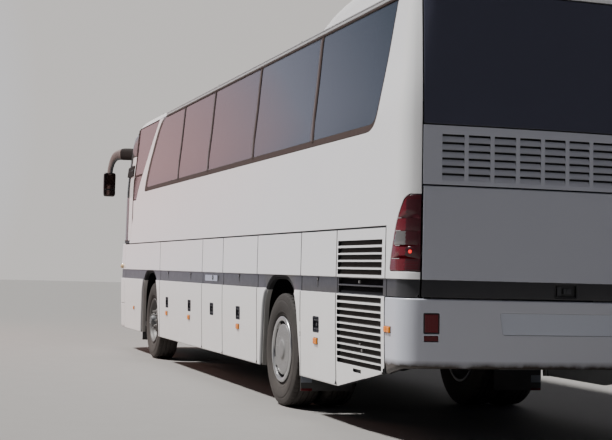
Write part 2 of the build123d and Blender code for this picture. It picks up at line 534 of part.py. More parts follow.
for s, nm in ((1, "left"), (-1, "right")):
    k = rod((AX, s * 850, 440), (AX, s * 850, 604), 20) + rod((AX, s * 850, 412), (AX, s * 850, 470), 46) + rod((AX, s * 850, 574), (AX, s * 850, 610), 46)
    k = k + box(AX - 40, AX + 40, min(s * 896, s * 930), max(s * 896, s * 930), 436, 610)
    for z0, z1 in ((436, 470), (574, 610)):
        k = k + box(AX - 40, AX + 40, min(s * 850, s * 930), max(s * 850, s * 930), z0, z1)
    k = k + rod((AX, s * 930, 522), (AX, s * 1110, 522), 38)
    y_end = s * 850 + s * ARM_Y
    k = k + box(AX - 30, AX + 20, min(s * 850, y_end), max(s * 850, y_end), 412, 434)
    k = k + box(AX + ARM_X - 22, AX + 20, min(y_end - 22, y_end + 22), max(y_end - 22, y_end + 22), 412, 434)
    N[f"knuckle_{nm}"] = k
track = rod((AX + ARM_X, -(850 + ARM_Y), ROD_Z), (AX + ARM_X, 850 + ARM_Y, ROD_Z), 16)
for s in (1, -1):
    track = track + rod((AX + ARM_X, s * (850 + ARM_Y), ROD_Z - 18), (AX + ARM_X, s * (850 + ARM_Y), 411.0), 20)
N["track_rod"] = track

# ---------------------------------------------------------------- wheels
# tyre half section: (offset from the middle, radius)
TYRE_OUT = [(-108, 290), (-111, 305), (-131, 320), (-143, 372), (-146, 410), (-140, 462), (-128, 505), (-112, 518), (0, 522), (112, 518), (128, 505), (140, 462), (146, 410), (143, 372), (131, 320), (111, 305), (108, 290)]
TYRE_IN = [(92, 290), (104, 322), (124, 375), (126, 410), (116, 470), (96, 494), (-96, 494), (-116, 470), (-126, 410), (-124, 375), (-104, 322), (-92, 290)]
RIM = [(-116, 286), (-116, 300), (-126, 302), (-130, 296), (-122, 276), (-80, 268), (-40, 240), (40, 240), (80, 268), (122, 276), (130, 296), (126, 302), (116, 300), (116, 286), (84, 280), (46, 252), (-46, 252), (-84, 280)]
for nm, x in (("front", AX), ("rear", REAR_AXLE_X)):
    for s, sd in ((1, "left"), (-1, "right")):
        if nm == "front":
            N[f"tyre_front_{sd}"] = turned(TYRE_OUT + TYRE_IN, x, s * FRONT_TRACK_Y, TYRE_R, s)
            rim = turned(RIM, x, s * FRONT_TRACK_Y, TYRE_R, s)
            disc = turned([(60, 39), (120, 39), (120, 105), (96, 130), (60, 235), (40, 262), (26, 258), (44, 228), (76, 128), (60, 110)], x, s * FRONT_TRACK_Y, TYRE_R, s)
            for i in range(10):
                a = math.radians(36 * i)
                disc -= rod((x + 190 * math.cos(a), s * 900, TYRE_R + 190 * math.sin(a)), (x + 190 * math.cos(a), s * 1300, TYRE_R + 190 * math.sin(a)), 24)
            N[f"rim_front_{sd}"] = rim + disc
        else:
            t = turned(TYRE_OUT + TYRE_IN, x, s * REAR_OUT_Y, TYRE_R, s) + turned(TYRE_OUT + TYRE_IN, x, s * REAR_IN_Y, TYRE_R, s)
            N[f"tyres_rear_{sd}"] = t
            r = turned(RIM, x, s * REAR_OUT_Y, TYRE_R, s) + turned(RIM, x, s * REAR_IN_Y, TYRE_R, s)
            r = r + ring(min(s * (REAR_IN_Y + 100), s * (REAR_OUT_Y - 100)), max(s * (REAR_IN_Y + 100), s * (REAR_OUT_Y - 100)), 235, 262, x, TYRE_R)
            mid = (REAR_OUT_Y + REAR_IN_Y) / 2
            r = r + turned([(-14, 46), (14, 46), (14, 245), (-14, 245)], x, s * mid, TYRE_R, s)
            r = r + turned([(14, 46), (130, 46), (150, 60), (150, 100), (100, 120), (14, 120)], x, s * mid, TYRE_R, s)
            N[f"rims_rear_{sd}"] = r

# ---------------------------------------------------------------- inside
dash = poly_y([(5250, 960), (5560, 960), (5600, 1250), (5640, 1560), (5300, 1600), (5200, 1520), (5230, 1300)], -400, 1080)
N["dashboard"] = dash
WHEEL_P, WHEEL_TILT = (4980.0, 620.0, 1500.0), 62.0
d = Vector(math.cos(math.radians(WHEEL_TILT)), 0, -math.sin(math.radians(WHEEL_TILT)))
sw = Solid.make_torus(230, 16, Plane(origin=WHEEL_P, z_dir=d))
hub = rod(WHEEL_P, (WHEEL_P[0] + d.X * 30, WHEEL_P[1], WHEEL_P[2] + d.Z * 30), 50)
col = rod((WHEEL_P[0] + d.X * 20, WHEEL_P[1], WHEEL_P[2] + d.Z * 20), (WHEEL_P[0] + d.X * 430, WHEEL_P[1], WHEEL_P[2] + d.Z * 430), 28)
sw = sw + hub + col
for a in (0, 120, 240):
    v = Vector(0, 1, 0).rotate(Axis((0, 0, 0), d), a)
    sw = sw + rod(WHEEL_P, (WHEEL_P[0] + v.X * 228, WHEEL_P[1] + v.Y * 228, WHEEL_P[2] + v.Z * 228), 12)
N["steering_wheel"] = sw


def seat(x, y0, y1, z, h=1080.0):
    """Seat facing forward, x at the front of its cushion."""
    p = poly_y([(x, z + 330), (x, z + 460), (x - 420, z + 450), (x - 520, z + h), (x - 600, z + h), (x - 560, z + 400), (x - 470, z + 330)], y0, y1)
    return p + box(x - 380, x - 120, y0 + 60, y1 - 60, z + 1, z + 332)


N["driver_seat"] = seat(4700, 370, 870, Z_CAB, 1050)
seats = None
SEAT_FRONT, SEAT_PITCH, SEAT_ROWS = 3560.0, 800.0, 12
for i in range(SEAT_ROWS):
    x = SEAT_FRONT - i * SEAT_PITCH
    for s in (1, -1):
        if s < 0 and (x - 610 < -1240 and x > -2110):
            continue
        p = seat(x, min(s * 240, s * 1120), max(s * 240, s * 1120), 1450)
        seats = p if seats is None else seats + p
N["passenger_seats"] = seats

# ---------------------------------------------------------------- curtains: two drawn across, two gathered at a pillar (rear x, front x)
CURTAINS = [(1450.0, 1750.0), (-1780.0, -130.0), (-3350.0, -2080.0), (-4020.0, -3720.0)]
drapes = None
for xa, xb in CURTAINS:
    for s in (1, -1):
        c = poly_x([(s * 1185, 2400), (s * 1155, 2400), (s * 1080, 3250), (s * 1110, 3250)], xa, xb)
        drapes = c if drapes is None else drapes + c
N["curtains"] = drapes

# ---------------------------------------------------------------- mirrors
# path of an arm: x, |y|, z, radius. The right arm starts higher, over the open front door.
ARM_PATH = [(5400, 1030, 2985, 88), (5600, 1100, 2998, 92), (5850, 1215, 3013, 92), (5950, 1305, 2990, 76), (6012, 1352, 2918, 58), (6040, 1380, 2808, 49), (6048, 1390, 2710, 47)]
ARM_LIFT_RIGHT = 75.0
mir = None
for s in (1, -1):
    m = None
    path = [(x, y, z + (ARM_LIFT_RIGHT if s < 0 and i < 4 else 0.0), r) for i, (x, y, z, r) in enumerate(ARM_PATH)]
    for (x0, y0, z0, ra), (x1, y1, z1, rb) in zip(path, path[1:]):
        r = rod((x0, s * y0, z0), (x1, s * y1, z1), (ra + rb) / 2) + Pos(x1, s * y1, z1) * Sphere(rb)
        m = r if m is None else m + r
    m = m + box(6000, 6100, min(s * 1296, s * 1491), max(s * 1296, s * 1491), 2346, 2728)
    mir = m if mir is None else mir + m
N["mirrors"] = mir - body(UPPER, 1598, 3300, 0.3)

for name, shape in N.items():
    save(name, shape)
boxes = [s.bounding_box() for s in N.values()]
print("box", [round(min(b.min.X for b in boxes)), round(min(b.min.Y for b in boxes)), round(min(b.min.Z for b in boxes))], [round(max(b.max.X for b in boxes)), round(max(b.max.Y for b in boxes)), round(max(b.max.Z for b in boxes))], len(N), "nodes")
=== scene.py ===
import bpy, bmesh, math
import numpy as np
from mathutils import Vector, Matrix
from mathutils.geometry import delaunay_2d_cdt


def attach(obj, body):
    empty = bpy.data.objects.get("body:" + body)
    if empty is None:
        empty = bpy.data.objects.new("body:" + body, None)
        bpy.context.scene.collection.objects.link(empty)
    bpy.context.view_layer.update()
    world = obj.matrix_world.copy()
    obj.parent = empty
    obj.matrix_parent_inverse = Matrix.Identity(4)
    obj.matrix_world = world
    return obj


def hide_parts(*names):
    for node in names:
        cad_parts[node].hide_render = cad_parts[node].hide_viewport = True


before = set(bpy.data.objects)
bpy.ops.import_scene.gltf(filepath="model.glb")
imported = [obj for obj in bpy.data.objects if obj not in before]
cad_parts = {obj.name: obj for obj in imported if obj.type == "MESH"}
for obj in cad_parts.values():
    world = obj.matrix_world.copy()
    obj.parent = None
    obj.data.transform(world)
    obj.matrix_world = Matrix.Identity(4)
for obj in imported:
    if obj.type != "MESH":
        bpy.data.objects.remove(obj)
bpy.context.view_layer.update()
PI = math.pi

# ------------------------------------------------------------------ body sections, metres
# columns: z, half width, front x, front bow radius, front corner radius, rear x, rear bow radius, rear corner radius
LOWER = [(0.330, 1.228, 5.880, 6.0, 0.340, -6.085, 12.0, 0.190), (1.078, 1.250, 5.900, 6.0, 0.350, -6.100, 12.0, 0.190),
         (1.598, 1.250, 5.870, 6.0, 0.420, -6.096, 12.0, 0.190)]
UPPER = [(1.598, 1.250, 5.862, 5.0, 0.560, -6.096, 12.0, 0.190), (2.370, 1.245, 5.850, 5.0, 0.560, -6.078, 12.0, 0.186),
         (2.900, 1.2023, 5.800, 5.0, 0.540, -6.062, 12.0, 0.182), (3.150, 1.1821, 5.680, 5.0, 0.520, -6.054, 12.0, 0.180),
         (3.240, 1.1749, 5.480, 5.0, 0.510, -6.051, 12.0, 0.179), (3.300, 1.170, 5.200, 5.0, 0.500, -6.048, 12.0, 0.178)]
ROOF = [(3.303, 1.170, 5.190, 5.0, 0.500, -6.048, 12.0, 0.178), (3.345, 1.152, 5.010, 5.0, 0.480, -6.035, 12.0, 0.175),
        (3.390, 1.100, 4.800, 5.0, 0.440, -6.000, 12.0, 0.170), (3.425, 1.000, 4.560, 5.0, 0.400, -5.950, 12.0, 0.160),
        (3.452, 0.820, 4.300, 5.0, 0.350, -5.880, 12.0, 0.150), (3.468, 0.500, 3.900, 5.0, 0.300, -5.800, 12.0, 0.140)]
SWEEP = [(3.250, 3.300), (3.680, 2.968), (4.020, 2.645), (4.430, 2.270), (4.642, 2.020), (4.790, 1.800), (4.900, 1.598)]
DIVIDERS = [-3.870, -1.930, 0.0, 1.600]
HATCH_Y = 1.122
STRIPE0, STRIPE1, STRIPE_DEEP = 1.078, 1.212, 0.014
FRONT_X, REAR_X, TYRE_R = 3.305, -2.945, 0.522


def pchip(xs, ys, x):
    """Smooth monotone curve through a table's column."""
    n = len(xs)
    if x <= xs[0]: return ys[0]
    if x >= xs[-1]: return ys[-1]
    h = [xs[i + 1] - xs[i] for i in range(n - 1)]
    d = [(ys[i + 1] - ys[i]) / h[i] for i in range(n - 1)]
    m = [d[0]] + [0.0] * (n - 2) + [d[-1]]
    for i in range(1, n - 1):
        if d[i - 1] * d[i] > 0:
            w1, w2 = 2 * h[i] + h[i - 1], h[i] + 2 * h[i - 1]
            m[i] = (w1 + w2) / (w1 / d[i - 1] + w2 / d[i])
    i = max(k for k in range(n - 1) if xs[k] <= x)
    t = (x - xs[i]) / h[i]
    return ((2 * t ** 3 - 3 * t ** 2 + 1) * ys[i] + (t ** 3 - 2 * t ** 2 + t) * h[i] * m[i]
            + (-2 * t ** 3 + 3 * t ** 2) * ys[i + 1] + (t ** 3 - t ** 2) * h[i] * m[i + 1])


_rows = {}


def row(table, z):
    key = (id(table), round(z, 5))
    if key not in _rows:
        xs = [r[0] for r in table]
        _rows[key] = [pchip(xs, [r[k] for r in table], z) for k in range(8)]
    return _rows[key]


class End:
    """Path of one end of the body at one height: side straight, corner arc, bowed end."""
    def __init__(self, table, z, e):
        _, w, xf, bf, rf, xr, br, rr = row(table, z)
        self.e, self.w = e, w
        X, B, r = (xf, bf, rf) if e > 0 else (-xr, br, rr)
        self.B, self.r = B, r
        self.c0 = X - B
        self.cx = self.c0 + math.sqrt((B - r) ** 2 - (w - r) ** 2)
        self.cy = w - r
        self.al = math.atan2(self.cy, self.cx - self.c0)
        self.l1 = self.cx + r * (PI / 2 - self.al)
        self.H = self.l1 + B * self.al

    def LX(self, x):
        """Path length where the side or corner passes |x|."""
        x = abs(x)
        if x <= self.cx: return x
        c = min(1.0, (x - self.cx) / self.r)
        phi = math.acos(c)
        if phi < self.al:
            phi = math.acos(min(1.0, (x - self.c0) / self.B))
            return self.l1 + self.B * (self.al - phi)
        return self.cx + self.r * (PI / 2 - phi)

    def LY(self, y):
        """Path length where the end passes y, on the side the path starts from."""
        if abs(y) <= self.B * math.sin(self.al): return self.l1 + self.B * (self.al - math.asin(y / self.B))
        phi = math.asin(max(-1, min(1, (y - self.cy) / self.r)))
        return self.cx + self.r * (PI / 2 - phi)

    def at(self, L, d=0.0):
        """Point (x, y) and normal at path length L, drawn in by d."""
        if L > self.H:
            (x, y), (nx, ny) = self.at(2 * self.H - L, d)
            return (x, -y), (nx, -ny)
        if L <= self.cx: p, n = (L, self.w), (0.0, 1.0)
        elif L <= self.l1:
            a = PI / 2 - (L - self.cx) / self.r
            p, n = (self.cx + self.r * math.cos(a), self.cy + self.r * math.sin(a)), (math.cos(a), math.sin(a))
        else:
            a = self.al - (L - self.l1) / self.B
            p, n = (self.c0 + self.B * math.cos(a), self.B * math.sin(a)), (math.cos(a), math.sin(a))
        return ((p[0] - n[0] * d) * self.e, p[1] - n[1] * d), (n[0] * self.e, n[1])


_ends = {}


def end(table, z, e):
    key = (id(table), round(z, 5), e)
    if key not in _ends: _ends[key] = End(table, z, e)
    return _ends[key]


# charts: (s, z, depth) -> point. Side charts use s = x; past the last straight stretch they follow the corner.
REAR_A, REAR_B = -5.670, -6.110       # side chart: s of the last straight station and of the hatch seam


def side_pt(table, sign=1, rear_y=HATCH_Y):
    def f(s, z, d=0.0):
        if s >= REAR_A:
            E = end(table, z, 1 if s > 0 else -1)
            (x, y), _ = E.at(abs(s), d)
        else:
            E = end(table, z, -1)
            t = (REAR_A - s) / (REAR_A - REAR_B)
            L0, L1 = -REAR_A, E.LY(rear_y)
            (x, y), _ = E.at(L0 + t * (L1 - L0), d)
        return Vector((x, sign * y, z))
    return f


def end_pt(table, e):
    """Chart of an end face: s = y."""
    def f(s, z, d=0.0):
        E = end(table, z, e)
        L = E.LY(abs(s))
        (x, y), _ = E.at(L, d)
        return Vector((x, y if s >= 0 else -y, z))
    return f


WRAP_X = 4.765
_REF = end(UPPER, 2.0, 1)
WRAP_D = _REF.H - _REF.LX(WRAP_X)


# ------------------------------------------------------------------ 2-D loops
def poly(pts, radii=0.0, seg=6):
    """Closed loop with rounded corners. radii: one value or one per point."""
    n = len(pts)
    rr = radii if isinstance(radii, (list, tuple)) else [radii] * n
    out = []
    for i in range(n):
        p, a, b = Vector(pts[i]), Vector(pts[i - 1]), Vector(pts[(i + 1) % n])
        r = rr[i]
        u, v = (a - p), (b - p)
        lu, lv = u.length, v.length
        if r <= 1e-6 or lu < 1e-9 or lv < 1e-9:
            out.append(tuple(p)); continue
        u /= lu; v /= lv
        c = max(-1, min(1, u.dot(v)))
        half = math.acos(c) / 2
        if half > PI / 2 - 0.02:
            out.append(tuple(p)); continue
        t = min(r / math.tan(half), lu * 0.49, lv * 0.49)
        r = t * math.tan(half)
        m = (u + v).normalized()
        o = p + m * (r / math.sin(half))
        p0, p1 = p + u * t - o, p + v * t - o
        a0, a1 = math.atan2(p0.y, p0.x), math.atan2(p1.y, p1.x)
        da = (a1 - a0 + PI) % (2 * PI) - PI
        k = max(2, int(seg * abs(da) / (PI / 2) + 0.5))
        for j in range(k + 1):
            aa = a0 + da * j / k
            out.append((o.x + r * math.cos(aa), o.y + r * math.sin(aa)))
    return out


def rect(s0, z0, s1, z1, r=0.0, seg=6):
    return poly([(s0, z0), (s1, z0), (s1, z1), (s0, z1)], r, seg)


def area2(loop):
    return sum(loop[i - 1][0] * loop[i][1] - loop[i][0] * loop[i - 1][1] for i in range(len(loop)))


def resample(loop, step, zl=()):
    """Divide long edges, and add a point wherever an edge crosses a hard line."""
    out = []
    n = len(loop)
    for i in range(n):
        a, b = loop[i], loop[(i + 1) % n]
        L = math.hypot(b[0] - a[0], b[1] - a[1])
        if L < 1e-7: continue
        ts = {j / max(1, math.ceil(L / step)) for j in range(max(1, math.ceil(L / step)))}
        if abs(b[1] - a[1]) > 1e-6:
            for z in zl:
                t = (z - a[1]) / (b[1] - a[1])
                if 0.0 < t < 1.0: ts.add(t)
        ts = sorted(ts)
        last = None
        for t in ts:
            if last is not None and (t - last) * L < 4e-4: continue
            out.append((a[0] + t * (b[0] - a[0]), a[1] + t * (b[1] - a[1])))
            last = t
    return out


def offset(loop, dd):
    """Move a loop to its inner side by dd (left of its direction), one value or one per point."""
    n = len(loop)
    out = []
    for i in range(n):
        d = dd[i] if isinstance(dd, (list, tuple)) else dd
        p, a, b = loop[i], loop[i - 1], loop[(i + 1) % n]
        u = (p[0] - a[0], p[1] - a[1]); v = (b[0] - p[0], b[1] - p[1])
        lu, lv = math.hypot(*u) or 1, math.hypot(*v) or 1
        n1 = (-u[1] / lu, u[0] / lu); n2 = (-v[1] / lv, v[0] / lv)
        k = 1 + n1[0] * n2[0] + n1[1] * n2[1]
        k = max(k, 0.35)
        out.append((p[0] + d * (n1[0] + n2[0]) / k, p[1] + d * (n1[1] + n2[1]) / k))
    return out


def inside(loops, P):
    """Even-odd test of many points against loops."""
    P = np.asarray(P, float)
    res = np.zeros(len(P), bool)
    for loop in loops:
        L = np.asarray(loop, float)
        for i in range(len(L)):
            (x0, y0), (x1, y1) = L[i - 1], L[i]
            if y0 == y1: continue
            c = (y0 > P[:, 1]) != (y1 > P[:, 1])
            xi = (x1 - x0) * (P[:, 1] - y0) / (y1 - y0) + x0
            res ^= c & (P[:, 0] < xi)
    return res


def near(loops, P, d):
    """Points closer than d to any loop edge."""
    P = np.asarray(P, float)
    bad = np.zeros(len(P), bool)
    for loop in loops:
        L = np.asarray(loop, float)
        A, B = np.roll(L, 1, 0), L
        for a, b in zip(A, B):
            ab = b - a
            den = float(ab @ ab) or 1e-12
            t = np.clip(((P - a) @ ab) / den, 0, 1)
            q = a + t[:, None] * ab
            bad |= ((P - q) ** 2).sum(1) < d * d
    return bad


# ------------------------------------------------------------------ mesh building
PIECES = []


def finish_obj(name, verts, faces, mats, fmat=None, body="body", smooth=True, angle=38, replaces=()):
    me = bpy.data.meshes.new(name)
    me.from_pydata([tuple(v) for v in verts], [], faces)
    for m in (mats if isinstance(mats, (list, tuple)) else [mats]): me.materials.append(m)
    if fmat is not None: me.polygons.foreach_set("material_index", fmat)
    bm = bmesh.new(); bm.from_mesh(me)
    bmesh.ops.remove_doubles(bm, verts=bm.verts, dist=1e-6)
    bmesh.ops.recalc_face_normals(bm, faces=bm.faces)
    bm.to_mesh(me); bm.free()
    me.validate()
    if smooth:
        me.shade_smooth()
        me.set_sharp_from_angle(angle=math.radians(angle))
    ob = bpy.data.objects.new(name, me)
    bpy.context.scene.collection.objects.link(ob)
    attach(ob, body)
    if replaces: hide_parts(*replaces)
    PIECES.append(ob)
    return ob


def panel(name, pt, outer, holes=(), t=0.04, r=0.004, gs=0.06, gz=0.06, hard=(), depth=None, mat=None, mat_fn=None,
          body="body", replaces=(), s_lines=None, back=True, step=None, angle=38, bulge=None):
    """A closed panel on a chart: rounded edges, holes, hard lines with a depth step. Returns (verts, faces, material indices) added as one object."""
    step = step or min(gs, gz)
    V, F, M = [], [], []
    outer = outer if area2(outer) > 0 else outer[::-1]
    holes = [h if area2(h) < 0 else h[::-1] for h in holes]
    loops = [resample(l, step, hard) for l in [outer] + list(holes)]
    dl = 0.0018
    rad = [[(r(s_, z_) if callable(r) else r) for s_, z_ in l] for l in loops]
    face_loops = [offset(l, [a + dl for a in ra]) for l, ra in zip(loops, rad)]
    dz = depth or (lambda s, z: 0.0)
    mf = mat_fn or (lambda s, z, kind: 0)
    # triangulate the face
    pts, edges = [], []
    for l in face_loops:
        b = len(pts)
        pts += l
        edges += [(b + i, b + (i + 1) % len(l)) for i in range(len(l))]
    nb = len(pts)
    S = [p[0] for p in face_loops[0]]; Z = [p[1] for p in face_loops[0]]
    s0, s1, z0, z1 = min(S), max(S), min(Z), max(Z)
    sl = list(np.arange(math.ceil(s0 / gs) * gs, s1, gs)) if s_lines is None else [s for s in s_lines if s0 < s < s1]
    zl = [z for z in np.arange(math.ceil(z0 / gz) * gz, z1, gz) if all(abs(z - h) > gz * 0.3 for h in hard)]
    grid = [(s, z) for z in zl for s in sl]
    if grid:
        G = np.asarray(grid)
        ok = inside(face_loops, G) & ~near(face_loops, G, 0.35 * min(gs, gz))
        pts += [tuple(g) for g in G[ok]]
    for h in hard:
        if not (z0 < h < z1): continue
        cross = []
        idx = {}
        for i in range(nb):
            if abs(pts[i][1] - h) < 6e-4: cross.append((pts[i][0], i))
        cross.sort()
        if len(cross) < 2: continue
        for (sa, ia), (sb, ib) in zip(cross, cross[1:]):
            mid = ((sa + sb) / 2, h)
            if sb - sa < 1e-4 or not inside(face_loops, [mid])[0]: continue
            chain = [ia]
            for s in sl:
                if sa + gs * 0.3 < s < sb - gs * 0.3:
                    pts.append((s, h)); chain.append(len(pts) - 1)
            chain.append(ib)
            edges += list(zip(chain, chain[1:]))
    vc, _, fc, ov, _, _ = delaunay_2d_cdt([Vector(p) for p in pts], edges, [], 0, 1e-7)
    vc = [(v.x, v.y) for v in vc]
    cen = np.array([[sum(vc[i][0] for i in f) / 3, sum(vc[i][1] for i in f) / 3] for f in fc])
    keep = inside(face_loops, cen)
    tris = [tuple(f) for f, k in zip(fc, keep) if k]
    out_of = {}
    for k, orig in enumerate(ov):
        for o in orig: out_of[o] = k
    used = sorted({i for f in tris for i in f})
    idx = {}
    for i in used:
        idx[i] = len(V)
        s, z = vc[i]
        V.append(pt(s, z, dz(s, z)))
    for f in tris:
        F.append(tuple(idx[i] for i in f))
        s, z = sum(vc[i][0] for i in f) / 3, sum(vc[i][1] for i in f) / 3
        M.append(mf(s, z, "front"))
    # rounded edges
    rings = []
    b = 0
    last_rings = []
    for l, fl, ra in zip(loops, face_loops, rad):
        n = len(l)
        ring = [idx.get(out_of.get(b + i, -1), None) for i in range(n)]
        for i in range(n):
            if ring[i] is None:
                ring[i] = len(V); V.append(pt(fl[i][0], fl[i][1], dz(*fl[i])))
        b += n
        prof = [(1.0, 0.0, "edge")] + [(1 - math.sin(q), 1 - math.cos(q), "edge") for q in (PI / 6, PI / 3, PI / 2)] + [(0.0, None, "side")]
        prev = ring
        for o, dd, kind in prof:
            lo = offset(l, [a * o for a in ra])
            cur = []
            for i in range(n):
                s, z = lo[i]
                deep = max(t, ra[i] + 0.001) if dd is None else dz(*fl[i]) + dd * ra[i]
                cur.append(len(V)); V.append(pt(s, z, deep))
            for i in range(n):
                j = (i + 1) % n
                F.append((prev[i], cur[i], cur[j], prev[j]))
                M.append(mf(lo[i][0], lo[i][1], kind))
            prev = cur
        last_rings.append(prev)
    if back:
        bidx = {}
        b = 0
        for l, ring in zip(loops, last_rings):
            for i in range(len(l)):
                k = out_of.get(b + i)
                if k is not None: bidx[k] = ring[i]
            b += len(l)
        for i in used:
            if i not in bidx:
                bidx[i] = len(V)
                V.append(pt(vc[i][0], vc[i][1], t))
        for f in tris:
            F.append(tuple(bidx[i] for i in f)[::-1])
            M.append(mf(0, 0, "back"))
    F2, M2 = [], []
    for f, m in zip(F, M):
        g = []
        for i in f:
            if i not in g: g.append(i)
        if len(g) > 2: F2.append(tuple(g)); M2.append(m)
    return finish_obj(name, V, F2, mat, M2, body, True, angle, replaces)


def join(objs, name=None):
    """Join several pieces of one body into one object."""
    objs = [o for o in objs if o]
    a = objs[0]
    with bpy.context.temp_override(active_object=a, object=a, selected_objects=objs, selected_editable_objects=objs):
        bpy.ops.object.join()
    for o in objs[1:]:
        if o in PIECES: PIECES.remove(o)
    if name: a.name = name; a.data.name = name
    return a


class Mesh:
    """Collects simple parts into one object."""
    def __init__(self): self.V, self.F, self.M = [], [], []

    def add(self, V, F, m=0):
        b = len(self.V)
        self.V += [Vector(v) for v in V]
        self.F += [tuple(i + b for i in f) for f in F]
        self.M += [m] * len(F)

    def box(self, x0, x1, y0, y1, z0, z1, m=0, r=0.0, T=None):
        """Box with chamfered-round edges of radius r."""
        bm = bmesh.new()
        bmesh.ops.create_cube(bm, size=1.0)
        bmesh.ops.scale(bm, vec=(x1 - x0, y1 - y0, z1 - z0), verts=bm.verts)
        bmesh.ops.translate(bm, vec=((x0 + x1) / 2, (y0 + y1) / 2, (z0 + z1) / 2), verts=bm.verts)
        if r > 0: bmesh.ops.bevel(bm, geom=list(bm.edges), offset=r, segments=2, profile=0.5, affect="EDGES")
        if T: bmesh.ops.transform(bm, matrix=T, verts=bm.verts)
        bm.verts.index_update()
        self.add([v.co.copy() for v in bm.verts], [[v.index for v in f.verts] for f in bm.faces], m)
        bm.free()

    def rod(self, a, b, r, m=0, seg=16, r2=None, cap=True):
        a, b = Vector(a), Vector(b)
        r2 = r if r2 is None else r2
        d = (b - a).normalized()
        u = d.orthogonal().normalized(); v = d.cross(u)
        V = []
        for p, rr in ((a, r), (b, r2)):
            V += [p + (u * math.cos(2 * PI * i / seg) + v * math.sin(2 * PI * i / seg)) * rr for i in range(seg)]
        F = [(i, (i + 1) % seg, seg + (i + 1) % seg, seg + i) for i in range(seg)]
        if cap: F += [tuple(range(seg))[::-1], tuple(range(seg, 2 * seg))]
        self.add(V, F, m)

    def tube(self, pts, r, m=0, seg=12, radii=None, flat=1.0):
        """Tube through points with round joints."""
        pts = [Vector(p) for p in pts]
        n = len(pts)
        V, F = [], []
        up = None
        for i, p in enumerate(pts):
            d = (pts[min(i + 1, n - 1)] - pts[max(i - 1, 0)]).normalized()
            if up is None: up = d.orthogonal().normalized()
            up = (up - d * up.dot(d)).normalized()
            w = d.cross(up)
            rr = radii[i] if radii else r
            V += [p + (up * math.cos(2 * PI * k / seg) * flat + w * math.sin(2 * PI * k / seg)) * rr for k in range(seg)]
        for i in range(n - 1):
            for k in range(seg):
                F.append((i * seg + k, i * seg + (k + 1) % seg, (i + 1) * seg + (k + 1) % seg, (i + 1) * seg + k))
        F += [tuple(range(seg))[::-1], tuple(range((n - 1) * seg, n * seg))]
        self.add(V, F, m)

    def lathe(self, prof, c, seg=96, m=0, axis="y", side=1, closed=True, mfn=None, deep=None):
        """Turned body about an axle along Y at c; prof is (offset outward, radius)."""
        n = len(prof)
        V, F, MM = [], [], []
        for k in range(seg):
            a = 2 * PI * k / seg
            for j, (o, r) in enumerate(prof):
                rr = r + (deep(j, a) if deep else 0.0)
                V.append((c[0] + rr * math.sin(a), c[1] + side * o, c[2] + rr * math.cos(a)))
        last = n if closed else n - 1
        b = len(self.V)
        self.V += [Vector(v) for v in V]
        for k in range(seg):
            k2 = (k + 1) % seg
            for j in range(last):
                j2 = (j + 1) % n
                self.F.append((b + k * n + j, b + k * n + j2, b + k2 * n + j2, b + k2 * n + j))
                self.M.append(mfn(j, k) if mfn else m)

    def make(self, name, mats, body="body", angle=38, replaces=(), slot=None, smooth=True):
        return finish_obj(name, self.V, self.F, mats, self.M, body, smooth, angle, replaces)


def smooth_path(pts, n=8):
    """Catmull-Rom through points."""
    P = [Vector(p) for p in pts]
    P = [P[0] * 2 - P[1]] + P + [P[-1] * 2 - P[-2]]
    out = []
    for i in range(1, len(P) - 2):
        for k in range(n):
            t = k / n
            out.append(0.5 * ((2 * P[i]) + (-P[i - 1] + P[i + 1]) * t + (2 * P[i - 1] - 5 * P[i] + 4 * P[i + 1] - P[i + 2]) * t * t
                              + (-P[i - 1] + 3 * P[i] - 3 * P[i + 1] + P[i + 2]) * t ** 3))
    out.append(P[-2])
    return out


